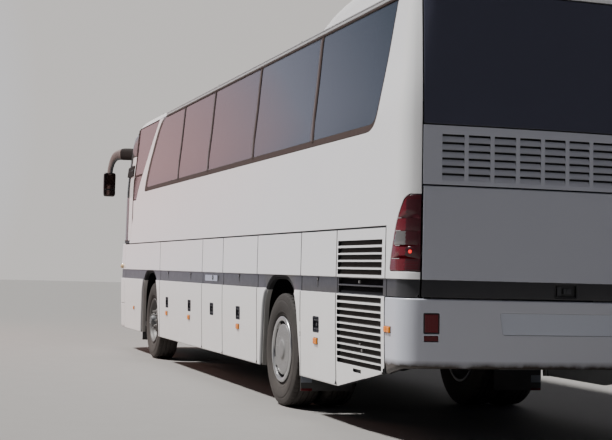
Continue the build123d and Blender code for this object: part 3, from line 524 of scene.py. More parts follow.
# ------------------------------------------------------------------ materials
def mat(name, color, rough=0.5, metal=0.0, coat=0.0, coat_rough=0.05, spec=0.5, var=0.06, scale=3.0, rvar=0.08, bump=0.0, bump_scale=60.0,
        dirt=None, alpha=None, emit=None, emit_s=0.0, trans=None, ior=None, sheen=0.0, extra=None, detail=4.0):
    m = bpy.data.materials.new(name)
    m.use_nodes = True
    nt = m.node_tree
    bs = nt.nodes["Principled BSDF"]
    L = nt.links.new
    tc = nt.nodes.new("ShaderNodeTexCoord")
    no = nt.nodes.new("ShaderNodeTexNoise"); no.inputs["Scale"].default_value = scale; no.inputs["Detail"].default_value = detail
    L(tc.outputs["Object"], no.inputs["Vector"])
    dark = [c * (1 - var) for c in color[:3]] + [1]
    lite = [min(1, c * (1 + var)) for c in color[:3]] + [1]
    mx = nt.nodes.new("ShaderNodeMix"); mx.data_type = "RGBA"
    mx.inputs["A"].default_value = dark; mx.inputs["B"].default_value = lite
    L(no.outputs["Fac"], mx.inputs["Factor"])
    col = mx.outputs["Result"]
    ro = nt.nodes.new("ShaderNodeMapRange")
    ro.inputs["To Min"].default_value = max(0.0, rough - rvar); ro.inputs["To Max"].default_value = min(1.0, rough + rvar)
    n2 = nt.nodes.new("ShaderNodeTexNoise"); n2.inputs["Scale"].default_value = scale * 2.3; n2.inputs["Detail"].default_value = detail
    L(tc.outputs["Object"], n2.inputs["Vector"])
    L(n2.outputs["Fac"], ro.inputs["Value"])
    rsock = ro.outputs["Result"]
    if dirt:
        # dirt: (colour, z where it is full, z where it ends, strength); a noisy band of this colour, full low down and
        # fading out upward: grime on most parts, and on the rear bumper also painted shade
        dc, z0, z1, k = dirt
        sep = nt.nodes.new("ShaderNodeSeparateXYZ"); L(tc.outputs["Object"], sep.inputs[0])
        mr = nt.nodes.new("ShaderNodeMapRange"); mr.inputs["From Min"].default_value = z0; mr.inputs["From Max"].default_value = z1
        mr.inputs["To Min"].default_value = 1.0; mr.inputs["To Max"].default_value = 0.0
        L(sep.outputs["Z"], mr.inputs["Value"])
        n3 = nt.nodes.new("ShaderNodeTexNoise"); n3.inputs["Scale"].default_value = 5.0; n3.inputs["Detail"].default_value = 8.0; n3.inputs["Roughness"].default_value = 0.65
        L(tc.outputs["Object"], n3.inputs["Vector"])
        mu = nt.nodes.new("ShaderNodeMath"); mu.operation = "MULTIPLY"; L(mr.outputs["Result"], mu.inputs[0]); L(n3.outputs["Fac"], mu.inputs[1])
        mk = nt.nodes.new("ShaderNodeMath"); mk.operation = "MULTIPLY"; L(mu.outputs[0], mk.inputs[0]); mk.inputs[1].default_value = k
        mk.use_clamp = True
        m2 = nt.nodes.new("ShaderNodeMix"); m2.data_type = "RGBA"
        L(col, m2.inputs["A"]); m2.inputs["B"].default_value = list(dc) + [1]
        L(mk.outputs[0], m2.inputs["Factor"]); col = m2.outputs["Result"]
        ad = nt.nodes.new("ShaderNodeMath"); ad.operation = "MULTIPLY_ADD"; L(mk.outputs[0], ad.inputs[0]); ad.inputs[1].default_value = 0.5; L(rsock, ad.inputs[2]); ad.use_clamp = True
        rsock = ad.outputs[0]
    L(col, bs.inputs["Base Color"]); L(rsock, bs.inputs["Roughness"])
    bs.inputs["Metallic"].default_value = metal
    bs.inputs["Specular IOR Level"].default_value = spec
    bs.inputs["Coat Weight"].default_value = coat
    bs.inputs["Coat Roughness"].default_value = coat_rough
    if alpha is not None: bs.inputs["Alpha"].default_value = alpha
    if trans is not None: bs.inputs["Transmission Weight"].default_value = trans
    if ior is not None: bs.inputs["IOR"].default_value = ior
    if sheen: bs.inputs["Sheen Weight"].default_value = sheen
    if emit: bs.inputs["Emission Color"].default_value = list(emit) + [1]; bs.inputs["Emission Strength"].default_value = emit_s
    if bump > 0:
        n4 = nt.nodes.new("ShaderNodeTexNoise"); n4.inputs["Scale"].default_value = bump_scale; n4.inputs["Detail"].default_value = 6.0
        L(tc.outputs["Object"], n4.inputs["Vector"])
        bp = nt.nodes.new("ShaderNodeBump"); bp.inputs["Strength"].default_value = bump; bp.inputs["Distance"].default_value = 0.002
        L(n4.outputs["Fac"], bp.inputs["Height"]); L(bp.outputs["Normal"], bs.inputs["Normal"])
    if extra: extra(nt, bs, tc, L)
    return m


DIRT = (0.36, 0.33, 0.29)
WHITE = mat("white_paint", (0.78, 0.785, 0.79), 0.30, coat=0.6, coat_rough=0.04, var=0.012, rvar=0.04, scale=1.3, bump=0.03, bump_scale=14, dirt=(DIRT, 0.30, 0.95, 0.30))
ROOFW = mat("roof_paint", (0.76, 0.765, 0.77), 0.36, coat=0.4, var=0.02, rvar=0.05, scale=1.3, bump=0.03, bump_scale=14)
STRIPE = mat("stripe_paint", (0.021, 0.022, 0.027), 0.36, metal=0.10, coat=0.25, var=0.10, rvar=0.06, scale=9, dirt=(DIRT, 1.0, 1.25, 0.10))
INNER = mat("inner_wall", (0.42, 0.43, 0.45), 0.75, var=0.05, rvar=0.08, scale=4, bump=0.15, bump_scale=180)
# near black: painted shade on panel sides and on edges in seams and under the arch tops; also the roof's dark seam
# lines
EDGE = mat("panel_edge", (0.030, 0.030, 0.032), 0.8, spec=0.12, var=0.08, rvar=0.1, scale=8, bump=0.05, bump_scale=80)
GASKET = mat("window_rubber", (0.058, 0.040, 0.036), 0.68, spec=0.2, var=0.12, rvar=0.12, scale=12, bump=0.12, bump_scale=220)
BLACKP = mat("black_plastic", (0.018, 0.019, 0.021), 0.48, var=0.15, rvar=0.1, scale=10, bump=0.10, bump_scale=260)
DARKGREY = mat("grey_plastic", (0.10, 0.105, 0.11), 0.55, var=0.1, rvar=0.1, scale=10, bump=0.12, bump_scale=240)
ALU = mat("gutter_aluminium", (0.47, 0.475, 0.48), 0.45, metal=0.35, var=0.08, rvar=0.12, scale=14, bump=0.05, bump_scale=120)
GLASS = mat("tinted_glass", (0.020, 0.024, 0.030), 0.035, spec=0.62, var=0.05, rvar=0.012, scale=0.8, alpha=0.84, coat=0.35, coat_rough=0.02)
REARGLASS = mat("rear_dark_glass", (0.075, 0.078, 0.112), 0.06, spec=0.5, var=0.08, rvar=0.02, scale=1.2, alpha=0.97)
SCREEN = mat("windscreen_glass", (0.045, 0.055, 0.06), 0.03, spec=0.6, var=0.04, rvar=0.01, scale=1.0, alpha=0.62)
CHASSIS = mat("chassis_black", (0.030, 0.030, 0.032), 0.6, var=0.2, rvar=0.15, scale=7, bump=0.25, bump_scale=90, dirt=(DIRT, 0.1, 1.1, 0.35))
FLOORM = mat("floor_cover", (0.16, 0.165, 0.175), 0.72, var=0.12, rvar=0.1, scale=30, bump=0.3, bump_scale=320)
IRON = mat("engine_iron", (0.13, 0.13, 0.135), 0.62, metal=0.4, var=0.2, rvar=0.15, scale=7, bump=0.35, bump_scale=60, dirt=(DIRT, 0.2, 1.2, 0.3))
RUBBER = mat("bellows_rubber", (0.03, 0.03, 0.03), 0.68, var=0.15, rvar=0.1, scale=12, bump=0.2, bump_scale=120)
ORANGE = mat("amber_lens", (0.74, 0.22, 0.008), 0.42, coat=0.15, var=0.08, rvar=0.05, scale=40, spec=0.6, emit=(1.0, 0.35, 0.02), emit_s=0.12)
# painted shade: a darker copy of the red lens for the lamp's part on the rear face, which lies in shade
RED_LENS_SHADED = mat("red_lens_dark", (0.035, 0.004, 0.008), 0.30, coat=0.35, coat_rough=0.12, var=0.12, rvar=0.04, scale=18, emit=(0.5, 0.0, 0.01), emit_s=0.012)
REDLENS = mat("red_lens", (0.115, 0.005, 0.014), 0.26, coat=0.40, coat_rough=0.10, var=0.12, rvar=0.04, scale=18, spec=0.6, emit=(0.5, 0.0, 0.01), emit_s=0.035)
CLEARLENS = mat("clear_lens", (0.13, 0.125, 0.125), 0.16, coat=0.9, coat_rough=0.03, var=0.12, rvar=0.04, scale=18, spec=0.6)
# painted highlight: a glowing red colour that stands for the glint of light on the tail lamp lens
GLINT = mat("lamp_glint", (1.0, 0.03, 0.03), 0.2, emit=(1.0, 0.01, 0.01), emit_s=0.9, var=0.1, rvar=0.05, scale=60)
CHROME = mat("reflector_chrome", (0.78, 0.79, 0.80), 0.12, metal=1.0, var=0.03, rvar=0.06, scale=20)
GREYRIM = mat("wheel_paint", (0.42, 0.43, 0.44), 0.36, metal=0.55, var=0.10, rvar=0.1, scale=14, bump=0.06, bump_scale=110, dirt=(DIRT, 0.0, 1.1, 0.45))
STEEL = mat("bare_steel", (0.34, 0.33, 0.32), 0.45, metal=0.9, var=0.15, rvar=0.15, scale=20, bump=0.1, bump_scale=120)
TYRE = mat("tyre_rubber", (0.027, 0.025, 0.024), 0.80, spec=0.3, var=0.25, rvar=0.12, scale=9, bump=0.25, bump_scale=140, dirt=((0.17, 0.15, 0.135), 0.0, 1.2, 0.50))
FABRIC = mat("seat_fabric", (0.10, 0.12, 0.18), 0.9, var=0.35, rvar=0.05, scale=55, bump=0.5, bump_scale=420, sheen=0.3)
WALLM = [WHITE, STRIPE, INNER, EDGE]

# ------------------------------------------------------------------ camera, lights, floor
CX, CY, CZ = -14.614, 4.732, 1.247
yaw, pitch, roll = math.radians(-17.769), math.radians(2.25), math.radians(1.496)
fwd = Vector((math.cos(yaw) * math.cos(pitch), math.sin(yaw) * math.cos(pitch), math.sin(pitch)))
right = fwd.cross(Vector((0, 0, 1))).normalized()
up = right.cross(fwd)
r2 = right * math.cos(roll) + up * math.sin(roll)
u2 = -right * math.sin(roll) + up * math.cos(roll)
cam = bpy.data.cameras.new("camera")
cam.sensor_width = 36.0
cam.lens = 1309.84 / 612 * 36.0
cam.clip_end = 500
co = bpy.data.objects.new("camera", cam)
co.matrix_world = Matrix(((r2.x, u2.x, -fwd.x, CX), (r2.y, u2.y, -fwd.y, CY), (r2.z, u2.z, -fwd.z, CZ), (0, 0, 0, 1)))
bpy.context.scene.collection.objects.link(co)
bpy.context.scene.camera = co


def area_light(name, loc, target, size, energy, color=(1, 1, 1), sy=None):
    l = bpy.data.lights.new(name, "AREA")
    l.shape = "RECTANGLE"; l.size = size; l.size_y = sy or size
    l.energy = energy; l.color = color
    o = bpy.data.objects.new(name, l)
    o.location = loc
    o.rotation_euler = (Vector(target) - Vector(loc)).to_track_quat("-Z", "Y").to_euler()
    bpy.context.scene.collection.objects.link(o)
    return o


sun = bpy.data.lights.new("key", "SUN")
sun.energy = 7.1; sun.color = (1.0, 0.985, 0.965); sun.angle = math.radians(6)
so = bpy.data.objects.new("key", sun)
so.location = (3.0, 8.5, 13.6)
so.rotation_euler = (Vector((0.2, 1.2, 0.0)) - Vector((3.0, 8.5, 13.6))).to_track_quat("-Z", "Y").to_euler()
bpy.context.scene.collection.objects.link(so)
wl = area_light("warm", (10.0, 8.5, 4.8), (4.0, 1.2, 1.9), 3, 480, (1.0, 0.50, 0.38))
wl.visible_glossy = False
w = bpy.data.worlds.new("studio")
bpy.context.scene.world = w
w.use_nodes = True
wn = w.node_tree
bgn = wn.nodes["Background"]
wtc = wn.nodes.new("ShaderNodeTexCoord")
glow = Vector((math.cos(math.radians(10)) * math.cos(math.radians(6)), math.sin(math.radians(10)) * math.cos(math.radians(6)), math.sin(math.radians(6))))
wdot = wn.nodes.new("ShaderNodeVectorMath"); wdot.operation = "DOT_PRODUCT"; wdot.inputs[1].default_value = glow
wr = wn.nodes.new("ShaderNodeValToRGB")
wn.links.new(wtc.outputs["Generated"], wdot.inputs[0])
wm = wn.nodes.new("ShaderNodeMapRange"); wm.inputs["From Min"].default_value = -1.0; wm.inputs["From Max"].default_value = 1.0
wn.links.new(wdot.outputs["Value"], wm.inputs["Value"]); wn.links.new(wm.outputs["Result"], wr.inputs["Fac"])
ramp = wr.color_ramp
ramp.elements[0].color = (0.09, 0.100, 0.165, 1); ramp.elements[0].position = 0.0
ramp.elements[1].color = (3.2, 1.95, 2.0, 1); ramp.elements[1].position = 1.0
for pos_, col_ in ((0.30, (0.12, 0.125, 0.17, 1)), (0.46, (0.20, 0.205, 0.26, 1)), (0.55, (0.46, 0.47, 0.52, 1)), (0.90, (0.56, 0.57, 0.61, 1)), (0.982, (0.64, 0.65, 0.71, 1)), (0.989, (0.85, 1.02, 1.40, 1)), (0.9962, (1.95, 2.0, 2.5, 1)), (0.9985, (2.47, 1.74, 1.94, 1))):
    e_ = ramp.elements.new(pos_); e_.color = col_
# pale backdrop ahead of the bus
wd2 = wn.nodes.new("ShaderNodeVectorMath"); wd2.operation = "DOT_PRODUCT"
wd2.inputs[1].default_value = Vector((math.cos(math.radians(-20)) * math.cos(math.radians(5)), math.sin(math.radians(-20)) * math.cos(math.radians(5)), math.sin(math.radians(5))))
wn.links.new(wtc.outputs["Generated"], wd2.inputs[0])
wm2 = wn.nodes.new("ShaderNodeMapRange"); wm2.inputs["From Min"].default_value = 0.890; wm2.inputs["From Max"].default_value = 0.950
wn.links.new(wd2.outputs["Value"], wm2.inputs["Value"])
wadd = wn.nodes.new("ShaderNodeVectorMath"); wadd.operation = "MULTIPLY_ADD"
wadd.inputs[1].default_value = (1.55, 1.45, 1.32)
wn.links.new(wm2.outputs["Result"], wadd.inputs[0]); wn.links.new(wr.outputs["Color"], wadd.inputs[2])
wn.links.new(wadd.outputs["Vector"], bgn.inputs["Color"])
bgn.inputs["Strength"].default_value = 0.33

fm = bpy.data.meshes.new("floor")
R = 90.0
fm.from_pydata([(-R, -R, 0), (R, -R, 0), (R, R, 0), (-R, R, 0)], [], [(0, 1, 2, 3)])
fm.materials.append(mat("studio_floor", (0.236, 0.229, 0.220), 0.8, var=0.04, rvar=0.05, scale=2.5, bump=0.15, bump_scale=40))
fo = bpy.data.objects.new("floor", fm)
bpy.context.scene.collection.objects.link(fo)

# ------------------------------------------------------------------ shared charts and bands
FULL = LOWER + UPPER[1:]
SIDES = {1: "left", -1: "right"}
SIDE = {s: side_pt(FULL, s) for s in (1, -1)}
REAR = end_pt(FULL, -1)
GROOVE = [(1.0755, 0.0), (1.0780, 0.002), (1.0795, 0.0120), (1.0815, STRIPE_DEEP), (1.2085, STRIPE_DEEP), (1.2105, 0.0120), (1.2120, 0.002), (1.2145, 0.0)]
GROOVE_Z = [g[0] for g in GROOVE]


def groove(s, z):
    if z <= GROOVE[0][0] or z >= GROOVE[-1][0]: return 0.0
    for (a, da), (b, db) in zip(GROOVE, GROOVE[1:]):
        if a <= z <= b: return da + (db - da) * (z - a) / (b - a)
    return 0.0


def wall_mat(s, z, kind):
    if kind == "back": return 2
    if kind == "side": return 3
    return 1 if 1.0785 < z < 1.2112 else 0


def rx(z, x):
    """Side-chart station where the rear corner passes x."""
    E = end(FULL, z, -1)
    L0, L1 = -REAR_A, E.LY(HATCH_Y)
    return REAR_A - (E.LX(x) - L0) / (L1 - L0) * (REAR_A - REAR_B)


def ry(z, y):
    """Side-chart station where the rear corner passes y."""
    E = end(FULL, z, -1)
    L0, L1 = -REAR_A, E.LY(HATCH_Y)
    return REAR_A - (E.LY(y) - L0) / (L1 - L0) * (REAR_A - REAR_B)


SEAM_S = -6.106
side_lines = sorted(set([round(x, 3) for x in np.arange(-5.6, 5.2, 0.20)] + [round(-5.67 - 0.022 * i, 4) for i in range(20)]))


def wrap(table, e, x_anchor, D):
    def f(s, z, d=0.0):
        E = end(table, z, e)
        La = E.LX(x_anchor)
        (x, y), _ = E.at(E.H - abs(s) / D * (E.H - La), d)
        return Vector((x, y if s >= 0 else -y, z))
    return f


def wrap_at_x(table, e, x_anchor, D, z, x):
    E = end(table, z, e)
    return D * (E.H - E.LX(x)) / (E.H - E.LX(x_anchor))


def wrap_at_y(table, e, x_anchor, D, z, y):
    E = end(table, z, e)
    return D * (E.H - E.LY(abs(y))) / (E.H - E.LX(x_anchor)) * (1 if y >= 0 else -1)


def sweep_x(z):
    for (xa, za), (xb, zb) in zip(SWEEP, SWEEP[1:]):
        if zb <= z <= za: return xa + (xb - xa) * (z - za) / (zb - za)
    return SWEEP[-1][0] if z < SWEEP[-1][1] else SWEEP[0][0]


def smooth2(pts, n=6):
    return [(v.x, v.y) for v in smooth_path([(a, b, 0) for a, b in pts], n)]


SWEEP_S = smooth2(SWEEP, 5)
BF = smooth2([(3.850, 2.322), (3.775, 2.480), (3.705, 2.620), (3.615, 2.770), (3.510, 2.900), (3.405, 3.020), (3.295, 3.130), (3.170, 3.220), (3.030, 3.280), (2.930, 3.3005)], 4)
BR = smooth2([(-5.160, 2.322), (-5.250, 2.328), (-5.320, 2.350), (-5.375, 2.388), (-5.410, 2.440), (-5.435, 2.500), (-5.460, 2.580), (-5.492, 2.700), (-5.528, 2.850), (-5.562, 3.000), (-5.628, 3.3005)], 3)
LAMPZ = [(1.268, -5.757), (1.331, -5.771), (1.382, -5.783), (1.454, -5.808), (1.526, -5.833), (1.618, -5.875), (1.703, -5.915), (1.787, -5.954), (1.815, -5.975)]


def over_door(pts):
    """The door side's band ends above the middle door."""
    return [(x, max(z, 2.3475)) for x, z in pts]


def lamp_edge(z):
    for (za, xa), (zb, xb) in zip(LAMPZ, LAMPZ[1:]):
        if za <= z <= zb: return rx(z, xa + (xb - xa) * (z - za) / (zb - za))
    return rx(z, LAMPZ[0][1] if z < LAMPZ[0][0] else LAMPZ[-1][1])


# ------------------------------------------------------------------ side walls with the rear corners
def wall_loop(sd):
    g = 0.004
    lamp_cut = [(SEAM_S, 1.819), (lamp_edge(1.815) - 0.012, 1.819), (lamp_edge(1.780) + g, 1.784)] + \
               [(lamp_edge(z) + g, z) for z in (1.72, 1.67, 1.60, 1.53, 1.45, 1.38, 1.31)] + [(lamp_edge(1.268) + g, 1.264), (SEAM_S, 1.264)]
    lr = [0.0, 0.035, 0.035, 0, 0, 0, 0, 0, 0, 0, 0.045, 0.0]
    low = [(SEAM_S, 1.082), (-5.679, 1.082), (-5.679, 1.598), (4.900, 1.598)]
    radii = [0.004, 0.004, 0.0, 0.004]
    if sd > 0:
        front = [(x, z) for x, z in SWEEP_S[::-1][1:]]
    else:
        low = low[:3] + [(-2.088, 1.598), (-2.088, 2.333), (-1.272, 2.333), (-1.272, 1.598), (4.072, 1.598)]
        radii = radii[:3] + [0.0, 0.004, 0.004, 0.0, 0.0]
        front = [(4.072, 2.597)] + [(x, z) for x, z in SWEEP_S[::-1][1:] if x < 4.06]
    bf, br = (BF, BR) if sd > 0 else (over_door(BF), over_door(BR))
    loop = low + front + [bf[-1]] + bf[::-1][1:] + br + [(SEAM_S, 3.300)] + lamp_cut
    radii = radii + [0.0] * len(front) + [0.0] + [0.0] * (len(BF) - 2) + [0.05, 0.0] + [0.0] * (len(BR) - 1) + [0.0] + lr
    return poly(loop, radii, 8)


for sd in (1, -1):
    panel(f"wall_{SIDES[sd]}", SIDE[sd], wall_loop(sd), t=0.045, r=0.0035, gs=0.2, gz=0.11, s_lines=side_lines, step=0.05,
          hard=[z for z in GROOVE_Z if z > 1.083] + [1.598], depth=groove, mat=WALLM, mat_fn=wall_mat, replaces=[f"body_side_{SIDES[sd]}"])

# ------------------------------------------------------------------ passenger glass: dark frame behind, rubber, panes
XS = [-5.36] + DIVIDERS + [3.60]
RUB_R, RUB_F = 0.010, 0.078     # rubber behind and before each divider line
Z_PANE0, Z_PANE1 = 2.378, 3.283
BF_IN = [(x - 0.150, z) for x, z in BF]
BR_IN = smooth2([(-5.230, Z_PANE0), (-5.315, 2.386), (-5.368, 2.416), (-5.402, 2.468), (-5.424, 2.530), (-5.448, 2.595), (-5.478, 2.706), (-5.514, 2.852), (-5.548, 3.001), (-5.596, 3.225), (-5.607, Z_PANE1)], 3)


def pane_loop(i, grow=0.0):
    x0, x1 = XS[i] + RUB_F, XS[i + 1] - RUB_R
    zb, zt = Z_PANE0, Z_PANE1
    if i == 0:
        pts = [(x1, zb), (x1, zt)] + BR_IN[::-1]
        rr = [0.014, 0.070, 0.030] + [0.0] * (len(BR_IN) - 1)
    elif i == 4:
        edge = [(x, z) for x, z in BF_IN if 2.42 < z < 3.25]
        pts = [(x0, zb), (3.665, zb)] + edge + [(2.840, zt), (x0, zt)]
        rr = [0.014, 0.030] + [0.0] * len(edge) + [0.03, 0.030]
    else:
        pts, rr = [(x0, zb), (x1, zb), (x1, zt), (x0, zt)], [0.014, 0.014, 0.070, 0.030]
    loop = poly(pts, rr, 6)
    return offset(loop, -grow) if grow else loop


def band(bf, br): return poly([br[0]] + bf + br[::-1][:-1], [0.0, 0.05] + [0.0] * (len(bf) - 1) + [0.0] * (len(br) - 1), 8)


band_loops = {1: band(BF, BR), -1: band(over_door(BF), over_door(BR))}
RUBL = [GASKET, mat("rubber_between_panes", (0.085, 0.078, 0.080), 0.34, var=0.12, rvar=0.10, scale=12, bump=0.06, bump_scale=180)]
for sd in (1, -1):
    nm = SIDES[sd]
    panel(f"window_rubber_{nm}", SIDE[sd], offset(band_loops[sd], 0.0025), [pane_loop(i, 0.0012) for i in range(5)], t=0.016, r=0.003, gs=0.25, gz=0.12, step=0.05,
          depth=lambda s, z: 0.0012, mat=RUBL, mat_fn=lambda s, z, k: 1 if (z > Z_PANE0 and s < 3.0 and s > -5.2) else 0)
    m = Mesh()
    for x in DIVIDERS:
        P = SIDE[sd]
        prof = [(-0.013, 0.0022), (-0.010, -0.0035), (0.010, -0.0060), (0.030, -0.0045), (0.036, 0.0016)]
        zz = [Z_PANE0 - 0.012, 2.60, 2.85, 3.10, Z_PANE1 - 0.05, Z_PANE1 + 0.004]
        V, F = [], []
        for k, z in enumerate(zz):
            sx = 0.030 if k == len(zz) - 1 else 0.010 if k == len(zz) - 2 else 0.0
            V += [P(x + dx - sx * 0.4, z, d) for dx, d in prof] + [P(x + 0.030 - sx * 0.4, z, 0.006), P(x - 0.010 - sx * 0.4, z, 0.006)]
        n = len(prof) + 2
        for k in range(len(zz) - 1): F += [(k * n + j, k * n + (j + 1) % n, (k + 1) * n + (j + 1) % n, (k + 1) * n + j) for j in range(n)]
        F += [tuple(range(n)), tuple(range((len(zz) - 1) * n, len(zz) * n))]
        m.add(V, F, 0)
    m.make(f"window_beads_{nm}", [GASKET], angle=50, slot="rubber")
    opens = []
    for a, b in zip([-5.22] + DIVIDERS, DIVIDERS + [3.76]):
        if b == 3.76:
            opens.append(poly([(a + 0.06, 2.44), (3.56, 2.44), (3.40, 2.70), (3.10, 3.06), (2.90, 3.19), (a + 0.06, 3.19)], 0.05))
        else: opens.append(rect(a + 0.06, 2.44, b - 0.06, 3.19, 0.07))
    panel(f"window_frame_{nm}", SIDE[sd], poly([(-5.60, 2.312 if sd > 0 else 2.349), (3.88, 2.312 if sd > 0 else 2.349), (3.00, 3.297), (-5.75, 3.297)], 0.02), opens, t=0.052, r=0.004, gs=0.25, gz=0.15,
          step=0.08, depth=lambda s, z: 0.020, mat=[BLACKP, INNER], mat_fn=lambda s, z, k: 1 if k in ("back", "side") else 0)
    for i in range(5):
        ob = panel(f"side_glass_{nm}_{i + 1}", SIDE[sd], pane_loop(i), t=0.0085, r=0.0016, gs=0.25, gz=0.12, step=0.06, depth=lambda s, z: 0.0022,
                   mat=GLASS)
        if i == 0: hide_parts("side_windows")

# ------------------------------------------------------------------ gutters
for sd in (1, -1):
    m = Mesh()
    w = 1.1700
    prof = [(w - 0.006, 3.2985), (w + 0.0085, 3.3010), (w + 0.0135, 3.305), (w + 0.0140, 3.309), (w + 0.0095, 3.312), (w + 0.0085, 3.331), (w + 0.0140, 3.334), (w + 0.0135, 3.340), (w + 0.008, 3.3435), (w - 0.006, 3.3445), (w - 0.020, 3.335)]
    xs = list(np.linspace(-5.90, 2.76, 40))
    V, F = [], []
    n = len(prof)
    for k, x in enumerate(xs):
        off = 0.0
        if x < -5.86: off = 0.004
        V += [(x, sd * (y - off), z) for y, z in prof]
    for k in range(len(xs) - 1):
        F += [(k * n + j, k * n + (j + 1) % n, (k + 1) * n + (j + 1) % n, (k + 1) * n + j) for j in range(n)]
    F += [tuple(range(n)), tuple(range((len(xs) - 1) * n, len(xs) * n))]
    m.add(V, F, 0)
    m.box(-5.90, 2.78, sd * 1.166 if sd > 0 else -1.1795, 1.1795 if sd > 0 else sd * 1.166, 3.2860, 3.3000, 1, 0.001)
    for x in np.arange(-5.7, 2.4, 0.6):
        m.rod((x, sd * 1.176, 3.3215), (x, sd * 1.1805, 3.3215), 0.004, 0, 8)
    ob = m.make(f"gutter_{SIDES[sd]}", [ALU, GASKET], angle=30, slot="plastic_grey")
    if sd > 0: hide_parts("gutters")


# ------------------------------------------------------------------ skirt: flaps and arch panels
GRILLE0, GRILLE1 = -5.603, -4.613
ARCHES = {"front": 3.270, "rear": -2.967}
ARCH_FOOT, ARCH_HEAD, ARCH_TOP, ARCH_ROUND = 0.640, 0.480, 1.178, 0.400
_tilt = math.atan((ARCH_FOOT - ARCH_HEAD) / (ARCH_TOP - 0.330))
_t = ARCH_ROUND * math.tan((PI / 2 - _tilt) / 2)
ARCH_SIDE = (ARCH_HEAD + _t * math.sin(_tilt), ARCH_TOP - _t * math.cos(_tilt))     # half width and height where the side meets the round
ARCH_MID = (ARCH_SIDE[0] - ARCH_ROUND * math.cos(_tilt), ARCH_TOP - ARCH_ROUND)


def arc_pts(xc, n=28):
    """Arch opening, from its front foot over the top to its rear foot."""
    k = n // 2
    side = [(ARCH_FOOT + (ARCH_SIDE[0] - ARCH_FOOT) * t, 0.330 + (ARCH_SIDE[1] - 0.330) * t) for t in (0.0, 0.16, 0.4, 0.7)]
    arc = [(ARCH_MID[0] + ARCH_ROUND * math.cos(_tilt + (PI / 2 - _tilt) * i / k), ARCH_MID[1] + ARCH_ROUND * math.sin(_tilt + (PI / 2 - _tilt) * i / k)) for i in range(k + 1)]
    half = side + arc
    return [(xc + x, z) for x, z in half] + [(xc - x, z) for x, z in half[::-1]]


def on_arch(s, z, xc):
    P = arc_pts(xc)
    for (xa, za), (xb, zb) in zip(P, P[1:]):
        L2 = (xb - xa) ** 2 + (zb - za) ** 2
        t = max(0.0, min(1.0, ((s - xa) * (xb - xa) + (z - za) * (zb - za)) / L2))
        if math.hypot(s - xa - t * (xb - xa), z - za - t * (zb - za)) < 0.0035: return True
    return False


def arch_r(xc, x0, x1):
    def f(s, z):
        if z > 0.3302 and on_arch(s, z, xc): return min(0.030, max(0.004, min(s - x0, x1 - s) - 0.014))
        return 0.010 if z < 0.334 else 0.004
    return f


def seam_mat(xc=None):
    """Wall colours, with the rounded edges that meet a neighbour painted near black: painted shade in the seams."""
    def f(s, z, kind):
        if kind == "edge" and z > 0.345 and not (GRILLE0 - 0.02 < s < GRILLE1 + 0.02 and 0.45 < z < 1.52) and not (xc and min(abs(s - xc + q) for q in (0,)) < ARCH_FOOT + 0.03 and near_arch(s, z, xc)): return 3
        return wall_mat(s, z, kind)
    return f


def ring_mat(xc):
    seam = seam_mat(xc)

    def f(s, z, kind):
        # painted shade on the arch's white rounded edge: near black high up under the arch top, grey on the
        # rearward-facing front half
        if kind == "edge" and z > 0.345 and near_arch(s, z, xc):
            if z > (1.070 if s > xc else 1.000): return 3
            return 4 if s > xc else 0
        return seam(s, z, kind)
    return f


def near_arch(s, z, xc):
    P = arc_pts(xc)
    return min(math.hypot(s - (xa + xb) / 2, z - (za + zb) / 2) - math.hypot(xb - xa, zb - za) / 2 for (xa, za), (xb, zb) in zip(P, P[1:])) < 0.034 and \
        min(abs((xb - xa) * (za - z) - (xa - s) * (zb - za)) / math.hypot(xb - xa, zb - za) for (xa, za), (xb, zb) in zip(P, P[1:])) < 0.034


def low_r(s, z):
    return 0.012 if z < 0.336 or (s < -4.6 and z < 0.53) else 0.004


def arch_panel(name, sd, x0, x1, xc):
    loop = [(x0, 0.330)] + arc_pts(xc)[::-1] + [(x1, 0.330), (x1, 1.590), (x0, 1.590)]
    panel(name, SIDE[sd], poly(loop, 0.0), t=0.04, r=arch_r(xc, x0, x1), gs=0.2, gz=0.12, step=0.045, hard=GROOVE_Z, depth=groove, mat=WALLM + [ARCH_EDGE_SHADED], mat_fn=ring_mat(xc))
    # folded-in flange of the arch; from the stripe's height up it is near black, painted shade under the arch top
    m = Mesh()
    pts = arc_pts(xc, 40)
    prof = [(0.022, 0.0), (0.034, 0.004), (0.044, 0.0065), (0.056, 0.0065), (0.070, 0.0065), (0.070, -0.0025), (0.050, -0.0025), (0.024, -0.006)]
    V, F = [], []
    for k, (x, z) in enumerate(pts):
        (xa, za), (xb, zb) = pts[max(0, k - 1)], pts[min(len(pts) - 1, k + 1)]
        l = math.hypot(xb - xa, zb - za)
        nx, nz = (zb - za) / l, -(xb - xa) / l
        for d, o in prof:
            p = SIDE[sd](x, z, d)
            V.append((p.x + nx * o, p.y, p.z + nz * o))
    n = len(prof)
    MI = []
    for k in range(len(pts) - 1):
        F += [(k * n + j, k * n + (j + 1) % n, (k + 1) * n + (j + 1) % n, (k + 1) * n + j) for j in range(n)]
        MI += [1 if (pts[k][1] + pts[k + 1][1]) / 2 > 1.066 else 0] * n
    F += [tuple(range(n)), tuple(range((len(pts) - 1) * n, len(pts) * n))]
    m.add(V, F, 0)
    m.M[:] = MI + [0, 0]
    m.make(name + "_flange", [FLANGE_FRONT_LIT if "front" in name else FLANGE_SHADED, EDGE], angle=40, slot="plastic_grey")
